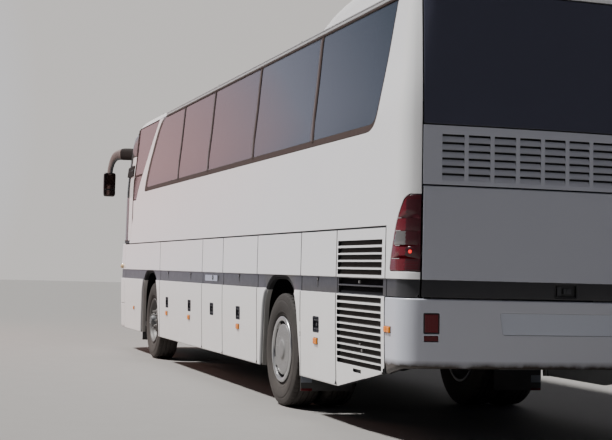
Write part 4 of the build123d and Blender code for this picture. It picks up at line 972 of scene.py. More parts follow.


# painted light and shade: one grey-white flange paint, darker on the rear arches and lighter on the front arches as
# light falls on them
FLANGE_SHADED = mat("arch_flange", (0.36, 0.36, 0.355), 0.55, var=0.1, rvar=0.1, scale=6, bump=0.15, bump_scale=120, dirt=(DIRT, 0.3, 1.1, 0.5))
# painted shade: grey for the white arch edge where it faces rearward
ARCH_EDGE_SHADED = mat("arch_edge_grey", (0.30, 0.305, 0.315), 0.6, spec=0.2, var=0.08, rvar=0.1, scale=6, dirt=(DIRT, 0.3, 1.1, 0.2))
FLANGE_FRONT_LIT = mat("arch_flange_front", (0.50, 0.49, 0.48), 0.55, var=0.1, rvar=0.1, scale=6, bump=0.15, bump_scale=120, dirt=(DIRT, 0.3, 1.1, 0.4))
arch_panel("arch_front_left", 1, 2.556, 5.192, ARCHES["front"])
arch_panel("arch_front_right", -1, 2.556, 4.072, ARCHES["front"])
arch_panel("arch_rear_left", 1, -3.631, -2.224, ARCHES["rear"])
arch_panel("arch_rear_right", -1, -3.631, -2.224, ARCHES["rear"])
for nm, a, b in (("strip_front_right", 5.028, 5.192), ("strip_middle_right", -2.216, -2.088)):
    ob = panel(nm, SIDE[-1], rect(a, 0.330, b, 1.590), t=0.04, r=low_r, gs=0.2, gz=0.12, hard=GROOVE_Z, depth=groove, mat=WALLM, mat_fn=wall_mat)
    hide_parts("arch_panels")

LATCHES = {"flap_left_1": [2.06, 0.76], "flap_left_2": [-0.365], "flap_left_3": [-1.507], "flap_left_4": [-4.076], "radiator_flap_left": [],
           "flap_right_1": [2.06, 1.10], "flap_right_2": [0.10, -0.80], "flap_right_3": [-4.10, -5.20]}
MARKERS = {"flap_left_1": [2.07, 0.78], "flap_left_3": [-1.507], "flap_left_4": [-4.076], "flap_right_1": [2.07], "flap_right_2": [-0.35], "flap_right_3": [-4.10]}
TICKS = {"flap_left_1": [2.06, 0.76], "flap_left_3": [-1.50], "flap_left_4": [-4.08], "flap_right_1": [2.06, 1.10], "flap_right_2": [0.10, -0.80], "flap_right_3": [-4.10, -5.20]}
FLAPS = [("flap_left_1", 0.124, 2.548, 1), ("flap_left_2", -0.841, 0.116, 1), ("flap_left_3", -2.216, -0.849, 1), ("flap_left_4", -4.581, -3.639, 1),
         ("radiator_flap_left", -5.671, -4.589, 1), ("flap_right_1", 0.616, 2.548, -1), ("flap_right_2", -1.264, 0.608, -1), ("flap_right_3", -5.671, -3.639, -1)]
SLATS_UP = [1.450, 1.396, 1.340, 1.282, 1.2265]
SLATS_LOW = [1.072, 1.015, 0.958, 0.904, 0.847, 0.793, 0.738, 0.683, 0.628, 0.574]
SLOT_Z = [(1.459, 1.499)] + [(b + 0.0055, a - 0.0085) for a, b in zip(SLATS_UP, SLATS_UP[1:])] + [(1.1555, 1.2045), (1.0860, 1.1435)] + \
         [(1.0235, 1.0650)] + [(b + 0.0055, a - 0.0085) for a, b in zip(SLATS_LOW[1:], SLATS_LOW[2:])] + [(0.528, 0.5655)]


def grille_bottom(s):
    """Lower edge of the tail flap."""
    return 0.335 if s > -4.64 else 0.335 + (0.520 - 0.335) * (s + 4.64) / (-5.671 + 4.64)


def latch(m, sd, x, hole_z=0.803):
    """Recessed latch: cup, lock plate, barrel and screws. The cup sits in the panel's hole."""
    def P(dx, dz, d): return SIDE[sd](x + dx, hole_z + dz, d)
    def slab(x0, x1, z0, z1, d0, d1, mi):
        V = [P(x0, z0, d0), P(x1, z0, d0), P(x1, z1, d0), P(x0, z1, d0), P(x0, z0, d1), P(x1, z0, d1), P(x1, z1, d1), P(x0, z1, d1)]
        m.add(V, [(0, 1, 2, 3), (4, 7, 6, 5), (0, 4, 5, 1), (1, 5, 6, 2), (2, 6, 7, 3), (3, 7, 4, 0)], mi)
    slab(-0.077, 0.077, -0.061, 0.061, 0.024, 0.028, 0)
    for a, b, c, d in ((-0.077, -0.071, -0.061, 0.061), (0.071, 0.077, -0.061, 0.061), (-0.077, 0.077, -0.061, -0.055), (-0.077, 0.077, 0.055, 0.061)):
        slab(a, b, c, d, 0.0015, 0.026, 0)
    slab(-0.052, 0.052, -0.020, 0.020, 0.010, 0.025, 1)
    slab(-0.066, 0.066, 0.030, 0.046, 0.0035, 0.012, 2)
    slab(-0.066, 0.066, -0.046, -0.030, 0.0035, 0.012, 2)
    for dx in (-0.036, 0.036):
        for dz in (0.038, -0.038):
            m.rod(P(dx, dz, 0.0040), P(dx, dz, 0.0020), 0.0055, 3, 10)
    m.rod(P(0, 0, 0.012), P(0, 0, 0.0065), 0.013, 3, 16)
    slab(-0.002, 0.002, -0.008, 0.008, 0.0060, 0.0075, 1)


def marker(m, sd, x, z=0.663, w=0.050, h=0.026, P=None):
    """Side marker: base, lens in two halves and its ribs."""
    P = P or (lambda dx, dz, d: SIDE[sd](x + dx, z + dz, d))
    def slab(x0, x1, z0, z1, d0, d1, mi, cut=0.0):
        V = [P(x0 + cut, z0 + cut, d0), P(x1 - cut, z0 + cut, d0), P(x1 - cut, z1 - cut, d0), P(x0 + cut, z1 - cut, d0), P(x0, z0, d1), P(x1, z0, d1), P(x1, z1, d1), P(x0, z1, d1)]
        m.add(V, [(0, 1, 2, 3), (4, 7, 6, 5), (0, 4, 5, 1), (1, 5, 6, 2), (2, 6, 7, 3), (3, 7, 4, 0)], mi)
    slab(-w - 0.003, w + 0.003, -h - 0.003, h + 0.003, -0.003, 0.001, 1)
    slab(-w, w * 0.10, -h, h, -0.0145, -0.003, 0, 0.004)
    slab(w * 0.14, w, -h, h, -0.0135, -0.003, 2, 0.004)
    for k in range(5):
        zz = -h + 0.006 + k * (2 * h - 0.012) / 4
        slab(-w + 0.006, w * 0.06, zz - 0.0012, zz + 0.0012, -0.0155, -0.0140, 0)


MARK = [ORANGE, BLACKP, mat("amber_reflector", (0.74, 0.20, 0.008), 0.40, coat=0.15, var=0.12, rvar=0.05, scale=120, bump=0.2, bump_scale=500)]
LATCHM = [mat("latch_cup", (0.040, 0.043, 0.055), 0.7, spec=0.2), mat("latch_well", (0.008, 0.008, 0.010), 0.85, spec=0.06), mat("latch_lever", (0.035, 0.036, 0.042), 0.65, spec=0.25, var=0.1, rvar=0.1, scale=20), mat("latch_screw", (0.09, 0.09, 0.10), 0.6, metal=0.3)]

for name, x0, x1, sd in FLAPS:
    holes = []
    if name == "radiator_flap_left":
        pts = [(x0, 0.520), (-4.64, 0.335), (x1, 0.335), (x1, 1.590), (x0, 1.590)]
        loop = poly(pts, [0.006, 0.02, 0.004, 0.004, 0.004])
        for a, b in SLOT_Z:
            z_low = max(a, 0)
            holes.append(poly([(GRILLE0, a), (GRILLE1, a), (GRILLE1, b), (GRILLE0, b)], 0.0035, 3))
        holes.append(rect(-5.172, 0.476, -4.990, 0.504, 0.010, 4))
    elif name == "flap_right_3":
        loop = poly([(x0, 0.520), (-4.64, 0.335), (x1, 0.335), (x1, 1.590), (x0, 1.590)], [0.006, 0.02, 0.004, 0.004, 0.004])
    else:
        loop = rect(x0, 0.330, x1, 1.590, 0.004)
    for x in LATCHES[name]:
        holes.append(rect(x - 0.080, 0.740, x + 0.080, 0.866, 0.012, 4))
    if name == "flap_left_2":
        holes.append([(-0.390 + 0.040 * math.cos(2 * PI * i / 32), 1.150 + 0.040 * math.sin(2 * PI * i / 32)) for i in range(32)])
    rfun = (lambda s, z: 0.0016 if (GRILLE0 - 0.003 < s < GRILLE1 + 0.003 and z < 1.51) else low_r(s, z)) if name == "radiator_flap_left" else low_r
    panel(name, SIDE[sd], loop, holes, t=0.040, r=rfun, gs=0.2, gz=0.12, step=0.06, hard=GROOVE_Z, depth=groove, mat=WALLM, mat_fn=seam_mat(),
          body=name, replaces=[name])
    if LATCHES[name]:
        m = Mesh()
        for x in LATCHES[name]: latch(m, sd, x)
        m.make(name + "_latches", LATCHM, body=name, smooth=False, slot="plastic_grey")
    if MARKERS.get(name):
        m = Mesh()
        for x in MARKERS[name]: marker(m, sd, x)
        m.make(name + "_markers", MARK, body=name, angle=20, slot="lamp_clear")
    if TICKS.get(name):
        m = Mesh()
        for x in TICKS[name]:
            P = lambda dx, dz, d: SIDE[sd](x + dx, 1.185 + dz, d)
            m.rod(P(0, 0, STRIPE_DEEP), P(0, 0, STRIPE_DEEP - 0.005), 0.017, 0, 20)
            m.rod(P(0, 0, STRIPE_DEEP - 0.004), P(0, 0, STRIPE_DEEP - 0.0065), 0.0095, 1, 16)
            V = [P(a, b, c) for a, b, c in ((-0.0022, -0.060, 0.0105), (0.0022, -0.060, 0.0105), (0.0022, -0.014, 0.0105), (-0.0022, -0.014, 0.0105), (-0.0022, -0.060, 0.0145), (0.0022, -0.060, 0.0145), (0.0022, -0.014, 0.0145), (-0.0022, -0.014, 0.0145))]
            m.add(V, [(0, 1, 2, 3), (4, 7, 6, 5), (0, 4, 5, 1), (1, 5, 6, 2), (2, 6, 7, 3), (3, 7, 4, 0)], 1)
        m.make(name + "_locks", [BLACKP, STEEL], body=name, angle=30, slot="plastic_black")

# filler cover in the band of the second left flap
panel("filler_plate", SIDE[1], rect(-0.600, 1.1150, -0.030, 1.1800, 0.006, 3), [[(-0.390 + 0.0400 * math.cos(2 * PI * i / 32), 1.150 + 0.028 * math.sin(2 * PI * i / 32)) for i in range(32)]],
      t=0.0030, r=0.0012, gs=0.2, gz=0.2, step=0.03, depth=lambda s, z: STRIPE_DEEP - 0.0032, mat=[CHROME, CHROME, CHROME, CHROME], body="flap_left_2")
m = Mesh()
P = lambda r, a, d: SIDE[1](-0.390 + r * math.cos(a), 1.150 + r * math.sin(a), d)
n = 40
ringsf = [(0.0385, 0.0150, 0), (0.0385, 0.0120, 0), (0.0350, 0.0105, 0), (0.0330, 0.0110, 1), (0.0300, 0.0210, 1), (0.0290, 0.0240, 2), (0.0100, 0.0235, 2), (0.0, 0.0235, 2)]
V, F, MI = [], [], []
for r, d, mi in ringsf: V += [P(max(r, 0.0002), 2 * PI * k / n, d) for k in range(n)]
for j in range(len(ringsf) - 1):
    for k in range(n):
        m_i = ringsf[j + 1][2]
        F.append((j * n + k, j * n + (k + 1) % n, (j + 1) * n + (k + 1) % n, (j + 1) * n + k)); MI.append(m_i)
m.add(V, F, 0)
m.M[:] = MI
m.box(-0.40, -0.38, 1.222, 1.232, 1.135, 1.165, 2, 0.002)
m.make("filler_cup", [CHROME, BLACKP, STEEL], body="flap_left_2", angle=40, slot="plastic_grey")

# blades behind the slots of the radiator flap, in painted shade; a near-black sheet behind them stands for the shade
# inside the flap
m = Mesh()
for k, (a, b) in enumerate(SLOT_Z):
    dark = 1.07 < (a + b) / 2 < 1.215
    V = []
    o = STRIPE_DEEP if dark else 0.0
    for x in (GRILLE0 + 0.002, GRILLE1 - 0.002):
        V += [SIDE[1](x, a - 0.003, o + 0.016), SIDE[1](x, b + 0.004, o + 0.036), SIDE[1](x, b + 0.006, o + 0.038), SIDE[1](x, a - 0.005, o + 0.0185)]
    m.add(V, [(0, 1, 5, 4), (1, 2, 6, 5), (2, 3, 7, 6), (3, 0, 4, 7), (0, 3, 2, 1), (4, 5, 6, 7)], 1 if dark else 0)
for x in np.linspace(GRILLE0 + 0.12, GRILLE1 - 0.12, 7):
    m.box(x - 0.0015, x + 0.0015, 1.150, 1.205, 0.54, 1.49, 1)
V = [SIDE[1](GRILLE0 - 0.01, 0.525, 0.055), SIDE[1](GRILLE1 + 0.01, 0.525, 0.055), SIDE[1](GRILLE1 + 0.01, 1.505, 0.055), SIDE[1](GRILLE0 - 0.01, 1.505, 0.055)]
V += [v + Vector((0, -0.004, 0)) for v in V]
m.add(V, [(0, 1, 2, 3), (4, 7, 6, 5), (0, 4, 5, 1), (1, 5, 6, 2), (2, 6, 7, 3), (3, 7, 4, 0)], 1)
m.rod(SIDE[1](-5.19, 0.655, 0.012), SIDE[1](-5.19, 0.655, 0.0), 0.012, 2, 16)
m.rod(SIDE[1](-5.10, 1.178, 0.022), SIDE[1](-5.10, 1.178, 0.008), 0.012, 2, 16)
m.rod(SIDE[1](-5.14, 0.700, 0.012), SIDE[1](-5.14, 0.700, 0.001), 0.008, 2, 12)
# painted shade: the blades are darkened to the tone of their faces in shadow; the near-black copy is for the sheet
# behind the slots, the uprights and the blades in the stripe band
BLADE_DEEP_SHADE = mat("grille_blade_dark", (0.010, 0.010, 0.012), 0.85, spec=0.06)
BLADE_SHADED = mat("grille_blade", (0.075, 0.073, 0.071), 0.85, spec=0.08, var=0.15, rvar=0.1, scale=18, bump=0.1, bump_scale=120)
m.make("radiator_blades", [BLADE_SHADED, BLADE_DEEP_SHADE, STEEL], body="radiator_flap_left", smooth=False, slot="plastic_grey")
m = Mesh()
V = [SIDE[1](a, b, c) for c in (0.018, 0.022) for a, b in ((-5.176, 0.472), (-4.986, 0.472), (-4.986, 0.508), (-5.176, 0.508))]
m.add(V, [(0, 1, 2, 3), (4, 7, 6, 5), (0, 4, 5, 1), (1, 5, 6, 2), (2, 6, 7, 3), (3, 7, 4, 0)], 0)
m.make("radiator_flap_pull", [BLACKP], body="radiator_flap_left", smooth=False, slot="plastic_black")

# markers that stay on the body: beside the rear corner and on the front corner
m = Mesh()
for sd in (1, -1):
    marker(m, sd, -5.745, 0.843, 0.060, 0.022)
    marker(m, sd, 4.40, 0.654, 0.030, 0.024)
m.make("body_markers", MARK, angle=20, slot="lamp_clear")

# ------------------------------------------------------------------ rear end
RL = [round(y, 3) for y in np.arange(-1.1, 1.11, 0.1)]
rear_glass = panel("rear_glass", REAR, rect(-1.116, 2.326, 1.116, 3.293, 0.02), t=0.010, r=0.003, gs=0.1, gz=0.12, s_lines=RL, step=0.08,
                   depth=lambda s, z: 0.0015, mat=REARGLASS, replaces=["rear_window"])
panel("rear_glass_rubber", REAR, rect(-1.1195, 2.3215, 1.1195, 3.297, 0.022), [rect(-1.1165, 2.3255, 1.1165, 3.2935, 0.02)], t=0.016, r=0.0008, gs=0.1, gz=0.2, s_lines=RL,
      step=0.08, depth=lambda s, z: 0.003, mat=BLACKP)
cells, ROWS, COLS = [], 6, 10
for r in range(ROWS):
    for c in range(COLS):
        y, z = (c - 4.5) * 0.199, 1.966 + 0.056 * r
        cells.append(rect(y - 0.083, z - 0.0425, y + 0.083, z + 0.0075, 0.004, 3))
# painted shade: the rear's white paint is given the greyer, bluer tone it shows in shade, about a third darker than the
# sides
REAR_PAINT_SHADED = mat("rear_paint", (0.515, 0.535, 0.605), 0.30, coat=0.6, coat_rough=0.04, var=0.012, rvar=0.04, scale=1.3, bump=0.03, bump_scale=14)
panel("louvre_panel_skin", REAR, rect(-1.118, 1.890, 1.118, 2.316, 0.004), cells, t=0.022, r=0.0022, gs=0.1, gz=0.10, s_lines=RL, step=0.07,
      mat=[REAR_PAINT_SHADED, REAR_PAINT_SHADED, INNER, EDGE], mat_fn=wall_mat, replaces=["louvre_panel"])
m = Mesh()
for r in range(ROWS):
    for c in range(COLS):
        y, z = (c - 4.5) * 0.199, 1.966 + 0.056 * r
        prof = [(-0.0425, 0.0015), (-0.030, 0.0030), (-0.014, 0.0075), (-0.0075, 0.0115), (-0.0075, 0.0135), (-0.016, 0.0100), (-0.031, 0.0060), (-0.044, 0.0055)]
        V = []
        for yy in (y - 0.0835, y, y + 0.0835): V += [REAR(yy, z + dz, d) for dz, d in prof]
        n = len(prof)
        F = []
        for k in range(2): F += [(k * n + j, k * n + (j + 1) % n, (k + 1) * n + (j + 1) % n, (k + 1) * n + j) for j in range(n)]
        m.add(V, F, 0)
V = [REAR(a, b, c) for c in (0.030, 0.034) for a, b in ((-1.05, 1.90), (1.05, 1.90), (1.05, 2.30), (-1.05, 2.30))]
m.add(V, [(0, 1, 2, 3), (4, 7, 6, 5), (0, 4, 5, 1), (1, 5, 6, 2), (2, 6, 7, 3), (3, 7, 4, 0)], 1)
m.make("louvre_blades", [REAR_PAINT_SHADED, BLACKP], angle=50, slot="paint_white")

REPEATER = mat("repeater_lens", (0.62, 0.45, 0.22), 0.3, coat=0.8, trans=0.15, var=0.05, rvar=0.05, scale=30, bump=0.05, bump_scale=300)
LATCHDARK = mat("hatch_latch_grey", (0.035, 0.037, 0.042), 0.5, var=0.12, rvar=0.1, scale=14, bump=0.1, bump_scale=200)
LBOX = (-0.100, 1.100, 0.086, 1.200)
panel("engine_hatch_skin", REAR, rect(-1.114, 1.086, 1.114, 1.880, 0.006), [rect(*LBOX, 0.010, 4)], t=0.040, r=lambda s, z: 0.008 if z > 1.876 else 0.004, gs=0.1, gz=0.1, s_lines=RL,
      step=0.06, hard=[z for z in GROOVE_Z if z > 1.09], depth=groove, mat=[REAR_PAINT_SHADED, STRIPE, INNER, EDGE], mat_fn=wall_mat, body="engine_hatch", replaces=["engine_hatch"])
m = Mesh()
def rslab(x0, x1, z0, z1, d0, d1, mi, mm=None):
    (mm or m).add([REAR(a, b, c) for c in (d0, d1) for a, b in ((x0, z0), (x1, z0), (x1, z1), (x0, z1))], [(0, 1, 2, 3), (4, 7, 6, 5), (0, 4, 5, 1), (1, 5, 6, 2), (2, 6, 7, 3), (3, 7, 4, 0)], mi)
rslab(LBOX[0] + 0.001, LBOX[2] - 0.001, LBOX[1] + 0.001, LBOX[3] - 0.001, 0.034, 0.038, 0)
for a, b, c, d in ((LBOX[0] + 0.001, LBOX[0] + 0.008, LBOX[1], LBOX[3]), (LBOX[2] - 0.008, LBOX[2] - 0.001, LBOX[1], LBOX[3]), (LBOX[0], LBOX[2], LBOX[1] + 0.001, LBOX[1] + 0.008), (LBOX[0], LBOX[2], LBOX[3] - 0.008, LBOX[3] - 0.001)):
    rslab(a, b, c, d, STRIPE_DEEP + 0.001, 0.036, 0)
rslab(-0.052, 0.010, 1.130, 1.168, 0.018, 0.034, 1)
rslab(0.030, 0.062, 1.118, 1.180, 0.020, 0.034, 1)
m.rod(REAR(-0.021, 1.149, 0.018), REAR(-0.021, 1.149, 0.0155), 0.010, 1, 16)
m.make("engine_hatch_latch", [BLACKP, LATCHDARK], body="engine_hatch", smooth=False, slot="plastic_black")

# rear bumper, wrapped round both corners
BX, BD = -5.679, 1.60
RW = wrap(LOWER, -1, BX, BD)
bs_x = lambda z, x: wrap_at_x(LOWER, -1, BX, BD, z, x)
bs_y = lambda z, y: wrap_at_y(LOWER, -1, BX, BD, z, y)
def tail_z(x): return 0.516 + (0.580 - 0.516) * (x - BX) / (-5.965 - BX) if x > -5.965 else 0.580
bot = [(bs_x(tail_z(x), x), tail_z(x)) for x in (BX, -5.75, -5.82, -5.89, -5.94)]
loop = [(bs_x(1.076, BX), 1.076)] + bot + [(bs_y(0.58, 1.10), 0.580)] + [(-bs_y(0.58, 1.10), 0.580)] + [(-a, b) for a, b in bot[::-1]] + [(-bs_x(1.076, BX), 1.076)]
plate = lambda g: poly([(bs_y(0.827, 0.493) + g, 0.827 - g), (bs_y(0.985, 0.520) + g, 0.985 + g), (-bs_y(0.985, 0.520) - g, 0.985 + g), (-bs_y(0.827, 0.493) - g, 0.827 - g)], 0.016, 5)
fog = lambda sd, g: rect(*sorted_rect(bs_y(0.90, 0.977) * sd, bs_y(0.90, 1.095) * sd, 0.829, 0.976, g), 0.008, 4)
lowfog = lambda sd: rect(*sorted_rect(bs_y(0.80, 0.983) * sd, bs_y(0.80, 1.089) * sd, 0.773, 0.8155, 0.0), 0.005, 4)
def sorted_rect(a, b, z0, z1, g): return (min(a, b) - g, z0 - g, max(a, b) + g, z1 + g)
def bumper_r(s, z):
    if z < 0.584 or (abs(s) > bs_x(0.58, -5.94) - 0.02 and z < 0.60): return 0.030
    return 0.010 if z > 1.07 else 0.004
BLN = [round(v, 4) for v in np.concatenate([-np.arange(1.0, 1.60, 0.022)[::-1], np.arange(-0.9, 0.91, 0.1), np.arange(1.0, 1.60, 0.022)])]
# painted shade: the bumper takes the same shaded grey-blue tone as the rear paint
BUMPER_PAINT_SHADED = mat("bumper_paint", (0.515, 0.535, 0.605), 0.30, coat=0.6, coat_rough=0.04, var=0.012, rvar=0.04, scale=1.3, bump=0.03, bump_scale=14, dirt=((0.030, 0.022, 0.018), 0.566, 0.640, 3.2))
# the bumper paint's dark band along the bottom edge (z 0.566 to 0.640) is painted shade under the rounded edge,
# together with grime
panel("rear_bumper_skin", RW, poly(loop, 0.0), [plate(0.0), fog(1, 0.0), fog(-1, 0.0), lowfog(1), lowfog(-1)], t=0.050, r=bumper_r, gs=0.1, gz=0.08,
      s_lines=BLN, step=0.05, mat=[BUMPER_PAINT_SHADED, BUMPER_PAINT_SHADED, INNER, EDGE], mat_fn=wall_mat, replaces=["rear_bumper"])
FOGLENS = mat("fog_lens", (0.085, 0.005, 0.010), 0.35, spec=0.3, coat=0.2, var=0.2, rvar=0.05, scale=16, emit=(0.5, 0.0, 0.01), emit_s=0.03)
REFLECTOR = mat("red_reflector", (0.115, 0.008, 0.012), 0.35, spec=0.3, coat=0.15, var=0.15, rvar=0.06, scale=90, bump=0.3, bump_scale=700)
# painted shade: the recess's white paint is given a bluish grey shaded tone, a little lighter than the rest of the rear
# as it leans up
PLATE_PAINT_SHADED = mat("plate_recess_paint", (0.62, 0.66, 0.75), 0.34, coat=0.5, var=0.012, rvar=0.04, scale=2)
def plate_depth(s, z):
    return 0.004 + 0.011 * max(0.0, min(1.0, (z - 0.832) / 0.148))
panel("licence_recess", RW, plate(-0.0012), t=0.030, r=0.0012, gs=0.1, gz=0.05, s_lines=BLN, step=0.06, depth=plate_depth, mat=PLATE_PAINT_SHADED)
for sd in (1, -1):
    nm = SIDES[sd]
    m = Mesh()
    y0, y1 = sorted((bs_y(0.90, 0.977) * sd, bs_y(0.90, 1.095) * sd))
    def fslab(x0, x1, z0, z1, d0, d1, mi, cut=0.0, k=4):
        V, F = [], []
        xs = [x0 + (x1 - x0) * i / k for i in range(k + 1)]
        n = 4
        for x in xs:
            xx = x + (cut if x == xs[0] else -cut if x == xs[-1] else 0)
            V += [RW(xx, z0 + cut, d0), RW(xx, z1 - cut, d0), RW(x, z1, d1), RW(x, z0, d1)]
        for i in range(k): F += [(i * n + j, i * n + (j + 1) % n, (i + 1) * n + (j + 1) % n, (i + 1) * n + j) for j in range(n)]
        F += [tuple(range(n)), tuple(range(k * n, k * n + n))]
        m.add(V, F, mi)
    fslab(y0 + 0.001, y1 - 0.001, 0.830, 0.975, 0.012, 0.020, 1)
    fslab(y0 + 0.0015, y1 - 0.0015, 0.8305, 0.9745, 0.003, 0.012, 1)
    fslab(y0 + 0.009, y1 - 0.009, 0.839, 0.967, -0.0035, 0.003, 0, 0.006)
    yl0, yl1 = sorted((bs_y(0.80, 0.984) * sd, bs_y(0.80, 1.088) * sd))
    fslab(yl0, yl1, 0.774, 0.8145, 0.0005, 0.014, 2, 0.003)
    for q in range(6):
        xq = y0 + 0.018 + q * (y1 - y0 - 0.036) / 5
        fslab(xq - 0.0012, xq + 0.0012, 0.846, 0.960, -0.0044, -0.003, 0, 0, 1)
    m.make(f"fog_lamp_{nm}", [FOGLENS, BLACKP, REFLECTOR], angle=25, slot="lamp_red")

# tail lamps on the corners
TICKM = mat("lamp_tick", (0.40, 0.38, 0.38), 0.25, var=0.05, scale=40)
SEG = [1.357, 1.455, 1.555, 1.645]
LAMP_HARD = sorted([z + dz for z in SEG for dz in (-0.0022, -0.0006, 0.0006, 0.0022)])
def lamp_depth(s, z):
    for q in SEG:
        if abs(z - q) < 0.0014: return 0.0022
    return 0.0006
def lamp_mat(s, z, kind):
    if 1.4555 < z < 1.5545 and -5.985 < s < lamp_edge(z) - 0.020: return 1
    # the lens past the corner, on the rear face, takes the darker copy: painted shade
    return 2 if s < -5.985 else 0
def lamp_loop(g):
    pts = [(SEAM_S + g, 1.268 + g)] + [(lamp_edge(z) - g, z) for z in (1.270, 1.31, 1.38, 1.45, 1.53, 1.60, 1.67, 1.72)] + [(lamp_edge(1.780) - g, 1.780), (lamp_edge(1.815) - 0.014 - g, 1.814 - g), (SEAM_S + g, 1.814 - g)]
    return poly(pts, [0.004, 0.045, 0, 0, 0, 0, 0, 0, 0, 0.03, 0.03, 0.004], 8)
for sd in (1, -1):
    nm = SIDES[sd]
    ob = panel(f"tail_lamp_{nm}", SIDE[sd], lamp_loop(0.001), t=0.026, r=0.004, gs=0.03, gz=0.03, s_lines=[round(-5.76 - 0.011 * i, 4) for i in range(32)], step=0.016, hard=LAMP_HARD,
               depth=lamp_depth, mat=[REDLENS, CLEARLENS, RED_LENS_SHADED], mat_fn=lamp_mat, angle=50)
    if sd > 0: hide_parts("rear_lamps")
    m = Mesh()
    def lslab(s0, s1, z0, z1, d0, d1, mi, k=5):
        V, F = [], []
        for i in range(k + 1):
            s = s0 + (s1 - s0) * i / k
            V += [SIDE[sd](s, z0, d0), SIDE[sd](s, z1, d0), SIDE[sd](s, z1, d1), SIDE[sd](s, z0, d1)]
        for i in range(k): F += [(i * 4 + j, i * 4 + (j + 1) % 4, (i + 1) * 4 + (j + 1) % 4, (i + 1) * 4 + j) for j in range(4)]
        F += [(0, 1, 2, 3), (k * 4, k * 4 + 1, k * 4 + 2, k * 4 + 3)]
        m.add(V, F, mi)
    for z, a, b in ((1.357, -5.930, -5.800), (1.450, -5.932, -5.868), (1.556, -5.938, -5.866), (1.647, -5.944, -5.890)):
        lslab(a, b, z - 0.0022, z + 0.0022, -0.0008, 0.001, 0)
    for k in range(5): lslab(-6.09, -5.80, 1.288 + 0.011 * k, 1.2905 + 0.011 * k, -0.0002, 0.001, 1, 10)
    for k in range(3): lslab(-6.098, -5.98, 1.783 + 0.009 * k, 1.7850 + 0.009 * k, -0.0002, 0.001, 1, 8)
    gl = m.make(f"tail_lamp_detail_{nm}", [TICKM, REDLENS], smooth=False, slot="lamp_red")
    # painted highlight: a small glowing disc on the lens corner stands for a glint of light
    m = Mesh()
    c = SIDE[sd](-6.026, 1.408, -0.0004); q = SIDE[sd](-6.026, 1.408, 0.0008)
    m.rod(c, q, 0.0135, 0, 20)
    m.rod(c + (c - q) * 0.4, q, 0.007, 0, 16)
    m.make(f"tail_lamp_glint_{nm}", [GLINT], slot="lamp_red")

# ------------------------------------------------------------------ roof
def loft(name, table, rows, cap_z, mats, npts=(26, 10, 16), inset=0.0, replaces=(), slot=None, body="body", fmat=None):
    V, F = [], []
    rings = []
    for z in rows:
        pts = []
        for e in (1, -1):
            E = end(table, z, e)
            L = [E.cx * t for t in np.linspace(0.0, 1.0, npts[0])][(0 if e > 0 else 1):]
            L += [E.cx + (E.l1 - E.cx) * t for t in np.linspace(0, 1, npts[1])[1:]]
            L += [E.l1 + (E.H - E.l1) * t for t in np.linspace(0, 1, npts[2])[1:]]
            left = [E.at(l, inset)[0] for l in L]
            right = [(x, -y) for x, y in left[::-1]][1:]
            if e > 0: pts += left + right
            else: pts += (left + right)[::-1]
        rings.append([Vector((x, y, z)) for x, y in pts])
    n = len(rings[0])
    for r in rings: V += r
    for k in range(len(rings) - 1):
        F += [(k * n + j, k * n + (j + 1) % n, (k + 1) * n + (j + 1) % n, (k + 1) * n + j) for j in range(n)]
    # crown: shrink the last ring towards the middle line
    last = rings[-1]
    prev0 = (len(rings) - 1) * n
    for f, dz in ((0.8, 0.0012), (0.55, 0.0022), (0.3, 0.0028), (0.08, 0.003)):
        b = len(V)
        V += [Vector((p.x * (1 - (1 - f) * 0.06), p.y * f, cap_z + dz)) for p in last]
        F += [(prev0 + j, prev0 + (j + 1) % n, b + (j + 1) % n, b + j) for j in range(n)]
        prev0 = b
    return V, F, prev0, n

rows = [3.3035, 3.309, 3.316, 3.325, 3.335, 3.345, 3.360, 3.375, 3.390, 3.405, 3.418, 3.430, 3.440, 3.449, 3.456, 3.462, 3.466]
V, F, p0, n = loft("roof", ROOF, rows, 3.466, None)
ctr = len(V)
V.append(Vector((-1.0, 0, 3.4692)))
F += [(p0 + j, p0 + (j + 1) % n, ctr) for j in range(n)]
ob = finish_obj("roof_skin", V, F, [ROOFW], None, "body", True, 50, ["roof"])
V, F, p0, n2 = loft("ceiling", ROOF, [3.3045, 3.335, 3.375, 3.41, 3.425], 3.425, None, (14, 6, 8), 0.045)
ctr = len(V); V.append(Vector((-1.0, 0, 3.428)))
F += [(p0 + j, p0 + (j + 1) % n2, ctr) for j in range(n2)]
finish_obj("ceiling_lining", V, F, [INNER], None, "body", True, 50, ())

# hatches and seams on the roof
m = Mesh()
for x in (1.95, -1.60):
    m.box(x - 0.40, x + 0.40, -0.36, 0.36, 3.452, 3.486, 0, 0.014)
    m.box(x - 0.34, x + 0.34, -0.30, 0.30, 3.480, 3.504, 0, 0.011)
    m.box(x - 0.42, x + 0.42, -0.38, 0.38, 3.450, 3.470, 1, 0.004)
    for k in range(5): m.box(x - 0.26, x + 0.26, -0.22 + 0.11 * k - 0.006, -0.22 + 0.11 * k + 0.006, 3.500, 3.508, 0, 0.003)
for x in (3.4, 0.2, -3.0):
    pts = []
    for k in range(25):
        y = -1.10 + 2.20 * k / 24
        zz = 3.468 if abs(y) < 0.5 else pchip([0.5, 0.82, 1.0, 1.1], [3.4685, 3.4535, 3.4265, 3.3915], abs(y))
        pts.append((x, y, zz))
    m.tube(pts, 0.0035, 2, 6)
m.make("roof_hatches", [ROOFW, GASKET, EDGE], angle=40, slot="paint_white")

